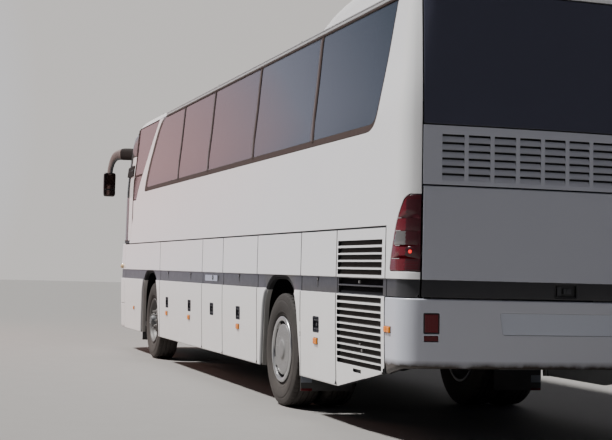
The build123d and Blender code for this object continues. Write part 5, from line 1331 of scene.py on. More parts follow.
# fairing over the rear of the roof
DOMEX = [(-3.700, 3.400), (-3.980, 3.520), (-4.400, 3.600), (-4.900, 3.640), (-5.600, 3.640), (-5.880, 3.600), (-6.010, 3.500), (-6.030, 3.400)]
dx, dzv = [-x for x, z in DOMEX][:6], [z for x, z in DOMEX][:6]
V, F = [], []
NX, NY = 60, 44
xs = [-3.705 - (6.018 - 3.705) * k / NX for k in range(NX + 1)]
for x in xs:
    if -x <= 5.88: h = pchip([3.70, 3.98, 4.40, 4.90, 5.60, 5.88], [3.400, 3.520, 3.600, 3.637, 3.637, 3.600], -x)
    else:
        t = (-x - 5.88) / (6.018 - 5.88)
        h = 3.600 - 0.225 * (1 - math.sqrt(max(0.0, 1 - t * t))) - 0.02 * t
    wd = 1.128 if x > -5.80 else 1.128 - 0.5 * ((-x - 5.80) ** 2)
    base = 3.345
    H = h - base
    for j in range(NY + 1):
        a = PI * (j / NY)                  # superellipse across
        c, sn = math.cos(a), math.sin(a)
        p = 6.5
        y = wd * math.copysign(abs(c) ** (2 / p), c)
        z = base + H * abs(sn) ** (2 / (p * 0.72))
        V.append((x, y, z))
for k in range(NX):
    F += [(k * (NY + 1) + j, k * (NY + 1) + j + 1, (k + 1) * (NY + 1) + j + 1, (k + 1) * (NY + 1) + j) for j in range(NY)]
    F.append((k * (NY + 1), k * (NY + 1) + NY, (k + 1) * (NY + 1) + NY, (k + 1) * (NY + 1)))
F += [tuple(range(NY + 1)), tuple(range(NX * (NY + 1), (NX + 1) * (NY + 1)))]
finish_obj("roof_fairing_skin", V, F, [ROOFW], None, "body", True, 45, ["roof_fairing"])
m = Mesh()
for k in range(7):
    x = -4.75 - 0.14 * k
    m.box(x - 0.045, x + 0.045, -0.42, 0.42, 3.632, 3.6385, 0, 0.003)
m.rod((-4.28, 1.02, 3.52), (-4.28, 1.06, 3.535), 0.010, 1, 14)
m.make("fairing_vents", [DARKGREY, STEEL], angle=40, slot="plastic_grey")

# ------------------------------------------------------------------ wheels
def tyre_profile():
    """Half section of the outer skin, offset from the middle and radius, from the bead over the sidewall to the tread centre."""
    side = [(-0.108, 0.290), (-0.113, 0.296), (-0.1165, 0.305), (-0.1150, 0.309), (-0.1215, 0.3135), (-0.1265, 0.322), (-0.1240, 0.327), (-0.1330, 0.340),
            (-0.1375, 0.352), (-0.1365, 0.355), (-0.1410, 0.370), (-0.1445, 0.392), (-0.1458, 0.412), (-0.1452, 0.432), (-0.1428, 0.450), (-0.1405, 0.453), (-0.1412, 0.457), (-0.1385, 0.468),
            (-0.1345, 0.484), (-0.1310, 0.496), (-0.1285, 0.5035), (-0.1225, 0.5110), (-0.1140, 0.5160)]
    tread = []
    def R(y): return 0.522 - 0.0040 * (abs(y) / 0.112) ** 2
    grooves = [-0.078, -0.028, 0.028, 0.078]
    ys = [-0.104, -0.090]
    for g in grooves: ys += [g - 0.0075, g - 0.0050, g + 0.0050, g + 0.0075]
    ys += [-0.053, 0.0, 0.053, 0.090, 0.104]
    for y in sorted(ys):
        deep = any(abs(y - g) < 0.006 for g in grooves)
        tread.append((y, R(y) - (0.014 if deep else 0.0), deep))
    out = [(a, b, False, False) for a, b in side] + [(a, b, True, d) for a, b, d in tread] + [(-a, b, False, False) for a, b in side[::-1]]
    return out


PROF = tyre_profile()
INNER_PROF = [(0.092, 0.290), (0.104, 0.322), (0.124, 0.375), (0.126, 0.410), (0.116, 0.470), (0.096, 0.494), (-0.096, 0.494), (-0.116, 0.470), (-0.126, 0.410), (-0.124, 0.375), (-0.104, 0.322), (-0.092, 0.290)]


def tyre(m, c, side, mi=0, lugs=56):
    prof = [(a, b) for a, b, _, _ in PROF] + INNER_PROF
    flags = [(t, d) for _, _, t, d in PROF] + [(False, False)] * len(INNER_PROF)
    seg = lugs * 4
    def deep(j, a):
        t, d = flags[j]
        y = prof[j][0]
        if j >= len(PROF): return 0.0
        k = int(round(a / (2 * PI) * seg)) % 4
        if t and not d and abs(y) > 0.083: return -0.010 if k == 0 else 0.0
        if not t and prof[j][1] > 0.49 and abs(y) > 0.10: return -0.007 * (1.0 if prof[j][1] > 0.505 else 0.5) if k == 0 else 0.0
        if t and not d and k == 2: return -0.0015
        return 0.0
    m.lathe(prof, c, seg, mi, side=side, deep=deep)


def ring_of(m, c, side, n, r, fn):
    for k in range(n): fn(2 * PI * k / n, r)


def rim_base(m, c, side, mi=0):
    prof = [(-0.116, 0.286), (-0.1185, 0.297), (-0.1265, 0.3015), (-0.1305, 0.2965), (-0.1270, 0.283), (-0.119, 0.2755), (-0.090, 0.2700), (-0.072, 0.2650), (-0.050, 0.2450), (-0.040, 0.2400), (0.040, 0.2400), (0.050, 0.2450),
            (0.072, 0.2650), (0.090, 0.2700), (0.119, 0.2755), (0.1270, 0.283), (0.1305, 0.2965), (0.1265, 0.3015), (0.1185, 0.297), (0.116, 0.286), (0.084, 0.280), (0.046, 0.252), (-0.046, 0.252), (-0.084, 0.280)]
    m.lathe(prof, c, 96, mi, side=side)


def nuts(m, c, side, off, r, n, mi, phase=0.0, h=0.026, w=0.0155):
    for k in range(n):
        a = 2 * PI * k / n + phase
        p = Vector((c[0] + r * math.sin(a), c[1] + side * off, c[2] + r * math.cos(a)))
        q = p + Vector((0, side * h, 0))
        m.rod(p, q, w, mi, 6)
        m.rod(p + Vector((0, side * 0.0, 0)), p + Vector((0, side * 0.005, 0)), w * 1.35, mi, 16)
        m.rod(q, q + Vector((0, side * 0.010, 0)), w * 0.55, mi, 10)


def disc_with_holes(m, c, side, prof, nh, rh, rad, mi, seg_per=12, thick=0.010):
    """Dished wheel disc with round hand holes at radius rh. prof maps radius to offset."""
    def offat(r):
        xs = [p[0] for p in prof]; ys = [p[1] for p in prof]
        return pchip(xs, ys, r)
    r0, r1 = prof[0][0], prof[-1][0]
    V, F = [], []
    n = nh * seg_per
    # polar grid inside and outside the ring of holes; each hole's cell joins the two
    rings = []
    inner = [r0 + (rh - rad * 1.6 - r0) * t for t in (0, 0.25, 0.5, 0.75, 1.0)]
    outer = [rh + rad * 1.6 + (r1 - rh - rad * 1.6) * t for t in (0.0, 0.33, 0.66, 1.0)]
    def P(r, a, d): return (c[0] + r * math.sin(a), c[1] + side * (offat(r) + d), c[2] + r * math.cos(a))
    def grid(rs):
        b = len(V)
        for r in rs: V.extend([P(r, 2 * PI * k / n, 0.0) for k in range(n)])
        for i in range(len(rs) - 1):
            for k in range(n): F.append((b + i * n + k, b + i * n + (k + 1) % n, b + (i + 1) * n + (k + 1) % n, b + (i + 1) * n + k))
        b2 = len(V)
        for r in rs: V.extend([P(r, 2 * PI * k / n, -thick) for k in range(n)])
        for i in range(len(rs) - 1):
            for k in range(n): F.append((b2 + i * n + k, b2 + (i + 1) * n + k, b2 + (i + 1) * n + (k + 1) % n, b2 + i * n + (k + 1) % n))
        return b, b2
    bi, bi2 = grid(inner)
    bo, bo2 = grid(outer)
    ri, ro = inner[-1], outer[0]
    ib, ob_, ib2, ob2 = bi + (len(inner) - 1) * n, bo, bi2 + (len(inner) - 1) * n, bo2
    for h in range(nh):
        ac = 2 * PI * (h + 0.5) / nh
        # boundary of the cell between ri and ro
        k0 = h * seg_per
        ks = [(k0 + q) % n for q in range(seg_per + 1)]
        cell = [(ri, 2 * PI * (k0 + q) / n, ib + ks[q], ib2 + ks[q]) for q in range(seg_per + 1)]
        cell2 = [(ro, 2 * PI * (k0 + q) / n, ob_ + ks[q], ob2 + ks[q]) for q in range(seg_per, -1, -1)]
        bound = cell + cell2
        nb = len(bound)
        hole, hole_in = [], []
        cx_, cz_ = rh * math.sin(ac), rh * math.cos(ac)
        for r, a, i1, i2 in bound:
            dx_, dz_ = r * math.sin(a) - cx_, r * math.cos(a) - cz_
            l = math.hypot(dx_, dz_)
            hx, hz = cx_ + dx_ / l * rad, cz_ + dz_ / l * rad
            hr, ha = math.hypot(hx, hz), math.atan2(hx, hz)
            hx2, hz2 = cx_ + dx_ / l * (rad - 0.003), cz_ + dz_ / l * (rad - 0.003)
            hr2, ha2 = math.hypot(hx2, hz2), math.atan2(hx2, hz2)
            hole.append((len(V), len(V) + 1, len(V) + 2, len(V) + 3))
            V.extend([P(hr, ha, 0.0), P(hr2, ha2, -0.003), P(hr2, ha2, -thick + 0.003), P(hr, ha, -thick)])
        for q in range(nb):
            w_ = (q + 1) % nb
            F.append((bound[q][2], bound[w_][2], hole[w_][0], hole[q][0]))
            F.append((hole[q][0], hole[w_][0], hole[w_][1], hole[q][1]))
            F.append((hole[q][1], hole[w_][1], hole[w_][2], hole[q][2]))
            F.append((hole[q][2], hole[w_][2], hole[w_][3], hole[q][3]))
            F.append((hole[q][3], hole[w_][3], bound[w_][3], bound[q][3]))
    for b_, b2_, i in ((bi, bi2, 0), (bo, bo2, len(outer) - 1)):
        for k in range(n): F.append((b_ + i * n + k, b_ + i * n + (k + 1) % n, b2_ + i * n + (k + 1) % n, b2_ + i * n + k))
    m.add(V, F, mi)


# painted shade: a near-black matte sheet stands for the shade behind the trim's openings
TRIM_WELL_SHADE = mat("trim_well", (0.007, 0.007, 0.008), 0.9, spec=0.05)
TRIM = mat("trim_silver", (0.23, 0.232, 0.236), 0.42, metal=0.45, var=0.10, rvar=0.12, scale=9, bump=0.05, bump_scale=60, dirt=(DIRT, 0.0, 1.4, 0.42))
TRIM_RING = mat("trim_ring", (0.50, 0.505, 0.51), 0.28, metal=0.85, var=0.05, rvar=0.08, scale=9, dirt=(DIRT, 0.0, 1.3, 0.18))
# painted shade: the front disc's paint is darkened to the tone it shows in shade under the arch; grime rises from the
# bottom
DISC_PAINT_SHADED = mat("disc_wheel_paint", (0.085, 0.084, 0.085), 0.50, metal=0.25, var=0.14, rvar=0.1, scale=14, bump=0.08, bump_scale=110, dirt=(DIRT, 0.0, 1.1, 0.40))
VALVE = mat("valve_rubber", (0.03, 0.03, 0.03), 0.5)

for sd in (1, -1):
    nm = SIDES[sd]
    # front: painted disc wheel with round hand holes
    c = (FRONT_X, sd * 1.032, TYRE_R)
    body = f"wheel_front_{nm}"
    m = Mesh(); tyre(m, c, sd)
    m.make(f"tyre_front_{nm}_skin", [TYRE], body=body, angle=30, replaces=[f"tyre_front_{nm}"], slot="tyre_rubber")
    m = Mesh(); rim_base(m, c, sd)
    disc_with_holes(m, c, sd, [(0.100, 0.112), (0.128, 0.110), (0.145, 0.100), (0.175, 0.072), (0.205, 0.045), (0.235, 0.030), (0.248, 0.029)], 10, 0.190, 0.0300, 0)
    m.lathe([(0.0, 0.030), (0.100, 0.030), (0.100, 0.102), (0.060, 0.104), (0.0, 0.104)], c, 64, 1, side=sd)
    m.lathe([(0.108, 0.0005), (0.172, 0.0005), (0.176, 0.030), (0.172, 0.052), (0.160, 0.062), (0.128, 0.068), (0.119, 0.084), (0.108, 0.086)], c, 64, 1, side=sd)
    nuts(m, c, sd, 0.108, 0.122, 10, 2, PI / 10)
    for k in range(8):
        a = 2 * PI * k / 8
        p = Vector((c[0] + 0.050 * math.sin(a), c[1] + sd * 0.164, c[2] + 0.050 * math.cos(a)))
        m.rod(p, p + Vector((0, sd * 0.012, 0)), 0.007, 2, 6)
    v0 = Vector((c[0], c[1] + sd * 0.050, c[2] + 0.232))
    m.tube([v0, v0 + Vector((0, sd * 0.03, 0.002)), v0 + Vector((0, sd * 0.055, -0.012))], 0.005, 3, 8)
    m.make(f"rim_front_{nm}_skin", [DISC_PAINT_SHADED, DARKGREY, STEEL, VALVE], body=body, angle=35, replaces=[f"rim_front_{nm}"], slot="rim_silver")
    # rear: twin wheels, trim disc on the outer one
    body = f"wheels_rear_{nm}"
    m = Mesh()
    co_, ci_ = (REAR_X, sd * 1.066, TYRE_R), (REAR_X, sd * 0.732, TYRE_R)
    tyre(m, co_, sd); tyre(m, ci_, sd)
    m.make(f"tyres_rear_{nm}_skin", [TYRE], body=body, angle=30, replaces=[f"tyres_rear_{nm}"], slot="tyre_rubber")
    m = Mesh(); rim_base(m, co_, sd, 1); rim_base(m, ci_, sd, 1)
    cm = (REAR_X, sd * 0.899, TYRE_R)
    m.lathe([(-0.014, 0.046), (0.014, 0.046), (0.014, 0.248), (-0.014, 0.248)], cm, 64, 1, side=sd)
    m.lathe([(-0.070, 0.242), (0.070, 0.242), (0.070, 0.255), (-0.070, 0.255)], cm, 64, 1, side=sd)
    # trim: outer ring, dark gap with spokes, shallow disc, raised centre
    ring = [(0.120, 0.262), (0.1345, 0.266), (0.1395, 0.2760), (0.1400, 0.290), (0.1375, 0.3000), (0.1325, 0.3050), (0.1290, 0.3060), (0.1270, 0.300), (0.1300, 0.288), (0.1260, 0.272)]
    m.lathe(ring, co_, 128, 3, side=sd)
    dpro = [(0.1120, 0.232), (0.1180, 0.2345), (0.1215, 0.2320), (0.1235, 0.2260), (0.1245, 0.205), (0.1240, 0.165), (0.1235, 0.120), (0.1245, 0.096), (0.1290, 0.086), (0.1345, 0.0810), (0.1370, 0.0740), (0.1375, 0.050), (0.1380, 0.0005),
            (0.1300, 0.0005), (0.1200, 0.080), (0.1180, 0.16), (0.1180, 0.2250)]
    m.lathe(dpro, co_, 128, 2, side=sd)
    # near-black well behind the crescent openings: painted shade inside the wheel
    m.lathe([(0.0900, 0.225), (0.0920, 0.245), (0.1080, 0.2600), (0.1180, 0.2618), (0.1180, 0.2575), (0.1000, 0.246), (0.0960, 0.222)], co_, 96, 5, side=sd)
    for k in range(4):
        a0 = 2 * PI * k / 4 + 0.35
        n = 10
        wid = 0.36
        for q in range(n):
            aa, ab = a0 + wid * q / n, a0 + wid * (q + 1) / n
            Vq = []
            for a in (aa, ab):
                for r_, o_ in ((0.2300, 0.1190), (0.2680, 0.1300), (0.2680, 0.1240), (0.2300, 0.1130)):
                    Vq.append((co_[0] + r_ * math.sin(a), co_[1] + sd * o_, co_[2] + r_ * math.cos(a)))
            m.add(Vq, [(0, 1, 5, 4), (1, 2, 6, 5), (2, 3, 7, 6), (3, 0, 4, 7), (0, 3, 2, 1), (4, 5, 6, 7)], 2)
    for k in range(10):
        a = 2 * PI * k / 10 + 0.2
        p = Vector((co_[0] + 0.157 * math.sin(a), co_[1] + sd * 0.1235, co_[2] + 0.157 * math.cos(a)))
        m.rod(p, p + Vector((0, sd * 0.0022, 0)), 0.010, 2, 18, 0.0085)
    v0 = Vector((co_[0], co_[1] + sd * 0.085, co_[2] + 0.250))
    m.tube([v0, v0 + Vector((0, sd * 0.030, 0.003)), v0 + Vector((0, sd * 0.050, 0.0))], 0.005, 4, 8)
    m.make(f"rims_rear_{nm}_skin", [STEEL, GREYRIM, TRIM, TRIM_RING, BLACKP, TRIM_WELL_SHADE], body=body, angle=32, replaces=[f"rims_rear_{nm}"], slot="rim_silver")

# aprons before the front wheels, mud flaps behind the rear ones
FLAPRUB = mat("mud_flap_rubber", (0.030, 0.032, 0.036), 0.7, var=0.15, rvar=0.1, scale=8, bump=0.15, bump_scale=120, dirt=(DIRT, 0.1, 0.5, 0.25))
FLAPGREY = mat("mud_flap_edge", (0.20, 0.22, 0.26), 0.6, var=0.12, rvar=0.1, scale=8, bump=0.1, bump_scale=120)
m = Mesh()
for sd in (1, -1):
    y0, y1 = sorted((sd * 1.020, sd * 1.194))
    m.box(3.921, 3.933, y0, y1, 0.215, 0.410, 0, 0.003)
    m.box(3.916, 3.938, y0, y1, 0.380, 0.412, 0, 0.003)
    y0, y1 = sorted((sd * 0.700, sd * 1.186))
    m.box(-3.519, -3.507, y0, y1, 0.190, 0.430, 0, 0.003)
    m.box(-3.528, -3.500, y0, y1, 0.405, 0.435, 0, 0.003)
    for yb in (0.78, 0.95, 1.12): m.box(-3.610, -3.520, sd * yb - 0.012, sd * yb + 0.012, 0.410, 0.430, 0, 0.002)
    y0, y1 = sorted((sd * 1.080, sd * 1.184))
    m.box(-3.5215, -3.5045, y0, y1, 0.188, 0.212, 2, 0.003)
    m.box(-3.5205, -3.5055, y0, y1, 0.262, 0.330, 1, 0.003)
m.make("mud_flaps", [FLAPRUB, FLAPGREY, REFLECTOR], angle=40, slot="rubber")

# ------------------------------------------------------------------ front posts, windscreen, driver's and door-side windows
WS = wrap(UPPER, 1, WRAP_X, WRAP_D)


def wsx(z, x, sd=1): return sd * wrap_at_x(UPPER, 1, WRAP_X, WRAP_D, z, x)
def on_ws(pts, sd=1): return [(wsx(z, x, sd), z) for x, z in pts]
def sl(z, x): return end(FULL, z, 1).LX(x)


def sweep_at(z):
    """Front edge of the side wall on its smoothed line."""
    for (xa, za), (xb, zb) in zip(SWEEP_S, SWEEP_S[1:]):
        if min(za, zb) <= z <= max(za, zb): return xa + (xb - xa) * (z - za) / ((zb - za) or 1)
    return SWEEP_S[-1][0] if z < SWEEP_S[-1][1] else SWEEP_S[0][0]


WLN = [round(v, 3) for v in np.concatenate([-np.arange(0.80, 2.60, 0.05)[::-1], np.arange(-0.75, 0.76, 0.15), np.arange(0.80, 2.60, 0.05)])]
left_pane = [(0.0062, 1.641)] + on_ws([(5.045, z) for z in (1.641, 1.80, 2.0, 2.2, 2.4, 2.6, 2.75, 2.905)]) + on_ws([(4.770, z) for z in (2.905, 3.0, 3.1, 3.2, 3.26, 3.295)]) + [(0.0062, 3.295)]
left_r = [0.016, 0.05] + [0.0] * 6 + [0.03] + [0.03] + [0.0] * 4 + [0.05, 0.016]
right_pane = [(0.0062, 1.641)] + on_ws([(5.099, z) for z in (1.641, 1.80, 2.0, 2.2, 2.4, 2.6, 2.8, 2.95, 3.1, 3.2, 3.26, 3.295)]) + [(0.0062, 3.295)]
right_r = [0.016, 0.05] + [0.0] * 10 + [0.05, 0.016]
pane_loops = {"left": poly(left_pane, left_r, 6), "right": [(-s, z) for s, z in poly(right_pane, right_r, 6)][::-1]}


def clear_loop(raw):
    return poly(offset(raw, [0.075 if z < 1.70 else 0.050 for s, z in raw]), 0.018, 4)


clear_loops = {"left": clear_loop(left_pane), "right": [(-s, z) for s, z in clear_loop(right_pane)][::-1]}
for nm, loop in pane_loops.items():
    ob = panel(f"windscreen_{nm}_glass", WS, offset(loop, 0.0015), t=0.015, r=0.0020, gs=0.15, gz=0.10, s_lines=WLN, step=0.06, depth=lambda s, z: 0.005, mat=SCREEN)
    if nm == "left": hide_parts("windscreen")
    panel(f"windscreen_{nm}_border", WS, offset(loop, 0.002), [clear_loops[nm]], t=0.0185, r=0.0008, gs=0.15, gz=0.12, s_lines=WLN, step=0.06, depth=lambda s, z: 0.0165, mat=BLACKP)
    panel(f"windscreen_{nm}_seal", WS, offset(loop, -0.0048), [offset(loop, 0.0100)], t=0.012, r=0.0032, gs=0.15, gz=0.15, s_lines=WLN, step=0.05, depth=lambda s, z: -0.0015, mat=GASKET)
panel("scuttle", WS, poly(on_ws([(4.700, 1.6015), (4.700, 1.6355)]) + on_ws([(5.040, 1.6355), (5.040, 1.6015)], -1), 0.0), t=0.030, r=0.004, gs=0.1, gz=0.05, s_lines=WLN, step=0.05,
      depth=lambda s, z: 0.001, mat=BLACKP)
pil_z = [1.642, 1.72, 1.80, 1.862, 2.0, 2.2, 2.4, 2.6, 2.8, 2.895]
pillar = [(5.030, 1.642)] + [(max(4.760, sweep_at(z) + 0.010), z) for z in pil_z] + [(5.030, z) for z in (2.895, 2.8, 2.6, 2.4, 2.2, 2.0, 1.8)]
ob = panel("front_pillar_left", WS, poly(on_ws(pillar), 0.0), t=0.032, r=0.005, gs=0.12, gz=0.12, s_lines=WLN, step=0.06, mat=WALLM, mat_fn=wall_mat, replaces=["windscreen_frame"])
MATTE = mat("matte_black", (0.016, 0.012, 0.011), 0.72, spec=0.18, var=0.15, rvar=0.08, scale=9, bump=0.10, bump_scale=200)
DARKBROWN = mat("window_post_rubber", (0.040, 0.021, 0.018), 0.65, spec=0.15, var=0.12, rvar=0.10, scale=12, bump=0.08, bump_scale=200)
post = [(4.755, 1.885), (4.694, 1.975)] + [(4.694, z) for z in (2.2, 2.5, 2.8, 3.1, 3.296)] + [(4.755, z) for z in (3.296, 3.1, 2.8, 2.5, 2.2)]
panel("window_post_left", WS, poly(on_ws(post), 0.0), t=0.034, r=0.004, gs=0.12, gz=0.12, s_lines=WLN, step=0.06, depth=lambda s, z: 0.001, mat=DARKBROWN)
post = [(5.034, z) for z in (1.642, 1.9, 2.2, 2.5, 2.8, 3.1, 3.296)] + [(5.094, z) for z in (3.296, 3.1, 2.8, 2.5, 2.2, 1.9, 1.642)]
panel("window_post_right", WS, poly(on_ws(post, -1), 0.0), t=0.045, r=0.004, gs=0.12, gz=0.12, s_lines=WLN, step=0.06, depth=lambda s, z: 0.001, mat=BLACKP)
# clamp that carries the mirror arm's foot
clamp = [(4.80, 2.60), (4.80, 2.68), (4.80, 2.765), (5.06, 2.765), (5.30, 2.75), (5.30, 2.68), (5.30, 2.61), (5.06, 2.60)]
panel("mirror_clamp", WS, poly(on_ws(clamp), 0.012, 4), t=0.004, r=0.006, gs=0.1, gz=0.1, s_lines=WLN, step=0.05, depth=lambda s, z: -0.014, mat=MATTE)
m = Mesh()
for x in (4.86, 4.98, 5.20):
    m.rod(WS(wsx(2.69, x), 2.69, -0.013), WS(wsx(2.69, x), 2.69, -0.020), 0.011, 0, 6)
m.make("mirror_clamp_bolts", [DARKGREY], smooth=False, slot="plastic_grey")


def cab_edge(z0, z1, g, n=14):
    """Points down the swept edge between two heights, g ahead of it."""
    return [(sweep_at(z) + g, z) for z in np.linspace(z1, z0, n)]


CABLIN = [round(x, 3) for x in np.arange(3.3, 5.3, 0.12)]
up_l = poly([(4.686, 2.602), (4.686, 3.290)] + cab_edge(2.602, 3.290, 0.0145), [0.02, 0.03, 0.02] + [0.0] * 12 + [0.02], 5)
lo_l = poly([(4.686, 2.246), (4.686, 2.574)] + cab_edge(2.246, 2.574, 0.0145), [0.015, 0.015, 0.01] + [0.0] * 12 + [0.01], 5)
GLASSDARK = mat("dark_lower_pane", (0.035, 0.022, 0.020), 0.10, spec=0.5, var=0.08, rvar=0.03, scale=3)
ob = panel("cab_glass_left_upper", SIDE[1], up_l, t=0.015, r=0.0018, gs=0.12, gz=0.12, s_lines=CABLIN, step=0.06, depth=lambda s, z: 0.004, mat=GLASS)
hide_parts("cab_windows")
panel("cab_glass_left_lower", SIDE[1], lo_l, t=0.015, r=0.0018, gs=0.12, gz=0.12, s_lines=CABLIN, step=0.06, depth=lambda s, z: 0.004, mat=GLASSDARK)
ring = poly([(4.6895, 2.2335), (4.6895, 3.2965)] + cab_edge(2.2335, 3.2965, 0.0055), 0.0)
panel("cab_rubber_left", SIDE[1], ring, [offset(up_l, 0.0012), offset(lo_l, 0.0012)], t=0.018, r=0.0022, gs=0.12, gz=0.12, s_lines=CABLIN, step=0.05, depth=lambda s, z: 0.0006, mat=DARKBROWN)
corner = [(4.6885, 2.229), (4.6885, 2.10), (4.6885, 1.990)] + [(sweep_at(z) + 0.0045, z) for z in (1.972, 2.02, 2.08, 2.15, 2.229)]
panel("cab_corner_left", SIDE[1], poly(corner, 0.0), t=0.030, r=0.0025, gs=0.12, gz=0.12, step=0.05, depth=lambda s, z: 0.0008, mat=WALLM, mat_fn=wall_mat)
# door side: a swept quarter pane, a divider and the pane over the door
qr = poly([(4.062, 2.625), (4.062, 3.290)] + cab_edge(2.625, 3.290, 0.0145), [0.012, 0.02, 0.02] + [0.0] * 12 + [0.012], 5)
over = poly([(4.090, 2.978), (4.9, 2.978), (sl(2.978, 5.022), 2.978), (sl(3.10, 5.022), 3.10), (sl(3.20, 5.022), 3.20), (sl(3.290, 5.022), 3.290), (4.5, 3.290), (4.090, 3.290)], [0.012, 0, 0.02, 0, 0, 0.02, 0, 0.012], 5)
for nm, lp in (("quarter", qr), ("over_door", over)):
    panel(f"cab_glass_right_{nm}", SIDE[-1], lp, t=0.015, r=0.0018, gs=0.12, gz=0.12, s_lines=CABLIN, step=0.06, depth=lambda s, z: 0.004, mat=GLASS)
ring = poly([(4.0665, 2.6165), (4.0665, 2.9680), (sl(2.968, 5.0275), 2.9680), (sl(3.10, 5.0275), 3.10), (sl(3.20, 5.0275), 3.20), (sl(3.2965, 5.0275), 3.2965)] + cab_edge(2.6165, 3.2965, 0.0055), 0.0)
panel("cab_rubber_right", SIDE[-1], ring, [offset(qr, 0.0012), offset(over, 0.0012)], t=0.018, r=0.0022, gs=0.12, gz=0.12, s_lines=CABLIN, step=0.05, depth=lambda s, z: 0.0006, mat=DARKBROWN)

# ------------------------------------------------------------------ front panel, head lamps, bumper, wipers
FD = end(LOWER, 1.0, 1).H - end(LOWER, 1.0, 1).LX(5.2)
FW = wrap(LOWER, 1, 5.2, FD)
fwy = lambda z, y: wrap_at_y(LOWER, 1, 5.2, FD, z, y)
FLN = [round(v, 4) for v in np.concatenate([-np.arange(0.86, 1.62, 0.035)[::-1], np.arange(-0.8, 0.81, 0.1), np.arange(0.86, 1.62, 0.035)])]


def head_loop(sd, g=0.0):
    a, b = (0.637 - g) * sd, (1.083 + g) * sd
    lp = poly([(fwy(0.8, a), 0.737 - g), (fwy(0.74, (a + b) / 2), 0.737 - g), (fwy(0.8, b), 0.737 - g), (fwy(0.9, b), 0.933 + g), (fwy(0.9, (a + b) / 2), 0.933 + g), (fwy(0.9, a), 0.933 + g)], [0.03, 0, 0.03, 0.03, 0, 0.03], 6)
    return lp if area2(lp) > 0 else lp[::-1]


slots_f = [rect(fwy(0.8, -0.50), z - 0.011, fwy(0.8, 0.50), z + 0.011, 0.0095, 4) for z in (0.772, 0.816, 0.860, 0.904)]
panel("front_panel_skin", FW, rect(-FD, 0.698, FD, 1.5975, 0.0), [head_loop(1), head_loop(-1)] + slots_f, t=0.040, r=lambda s, z: 0.012 if z > 1.594 else 0.004, gs=0.1, gz=0.1,
      s_lines=FLN, step=0.05, hard=GROOVE_Z, depth=groove, mat=WALLM, mat_fn=wall_mat, replaces=["front_panel"])
m = Mesh()
V = [FW(a, b, c) for c in (0.050, 0.054) for a, b in ((-0.56, 0.745), (0.56, 0.745), (0.56, 0.925), (-0.56, 0.925))]
m.add(V, [(0, 1, 2, 3), (4, 7, 6, 5), (0, 4, 5, 1), (1, 5, 6, 2), (2, 6, 7, 3), (3, 7, 4, 0)], 0)
for k in range(16):
    s = -0.52 + 1.04 * k / 15
    m.box(-0.003, 0.003, -0.002, 0.002, -0.085, 0.085, 0, 0, Matrix.Translation(FW(s, 0.838, 0.030)))
m.make("front_grille_backing", [BLACKP], smooth=False, slot="plastic_black")
LENSCLEAR = mat("headlamp_cover", (0.55, 0.57, 0.58), 0.05, spec=0.6, coat=0.5, var=0.03, rvar=0.02, scale=30, alpha=0.28)
BULB = mat("lamp_bulb", (0.85, 0.86, 0.84), 0.2, var=0.03, scale=60, coat=0.5)
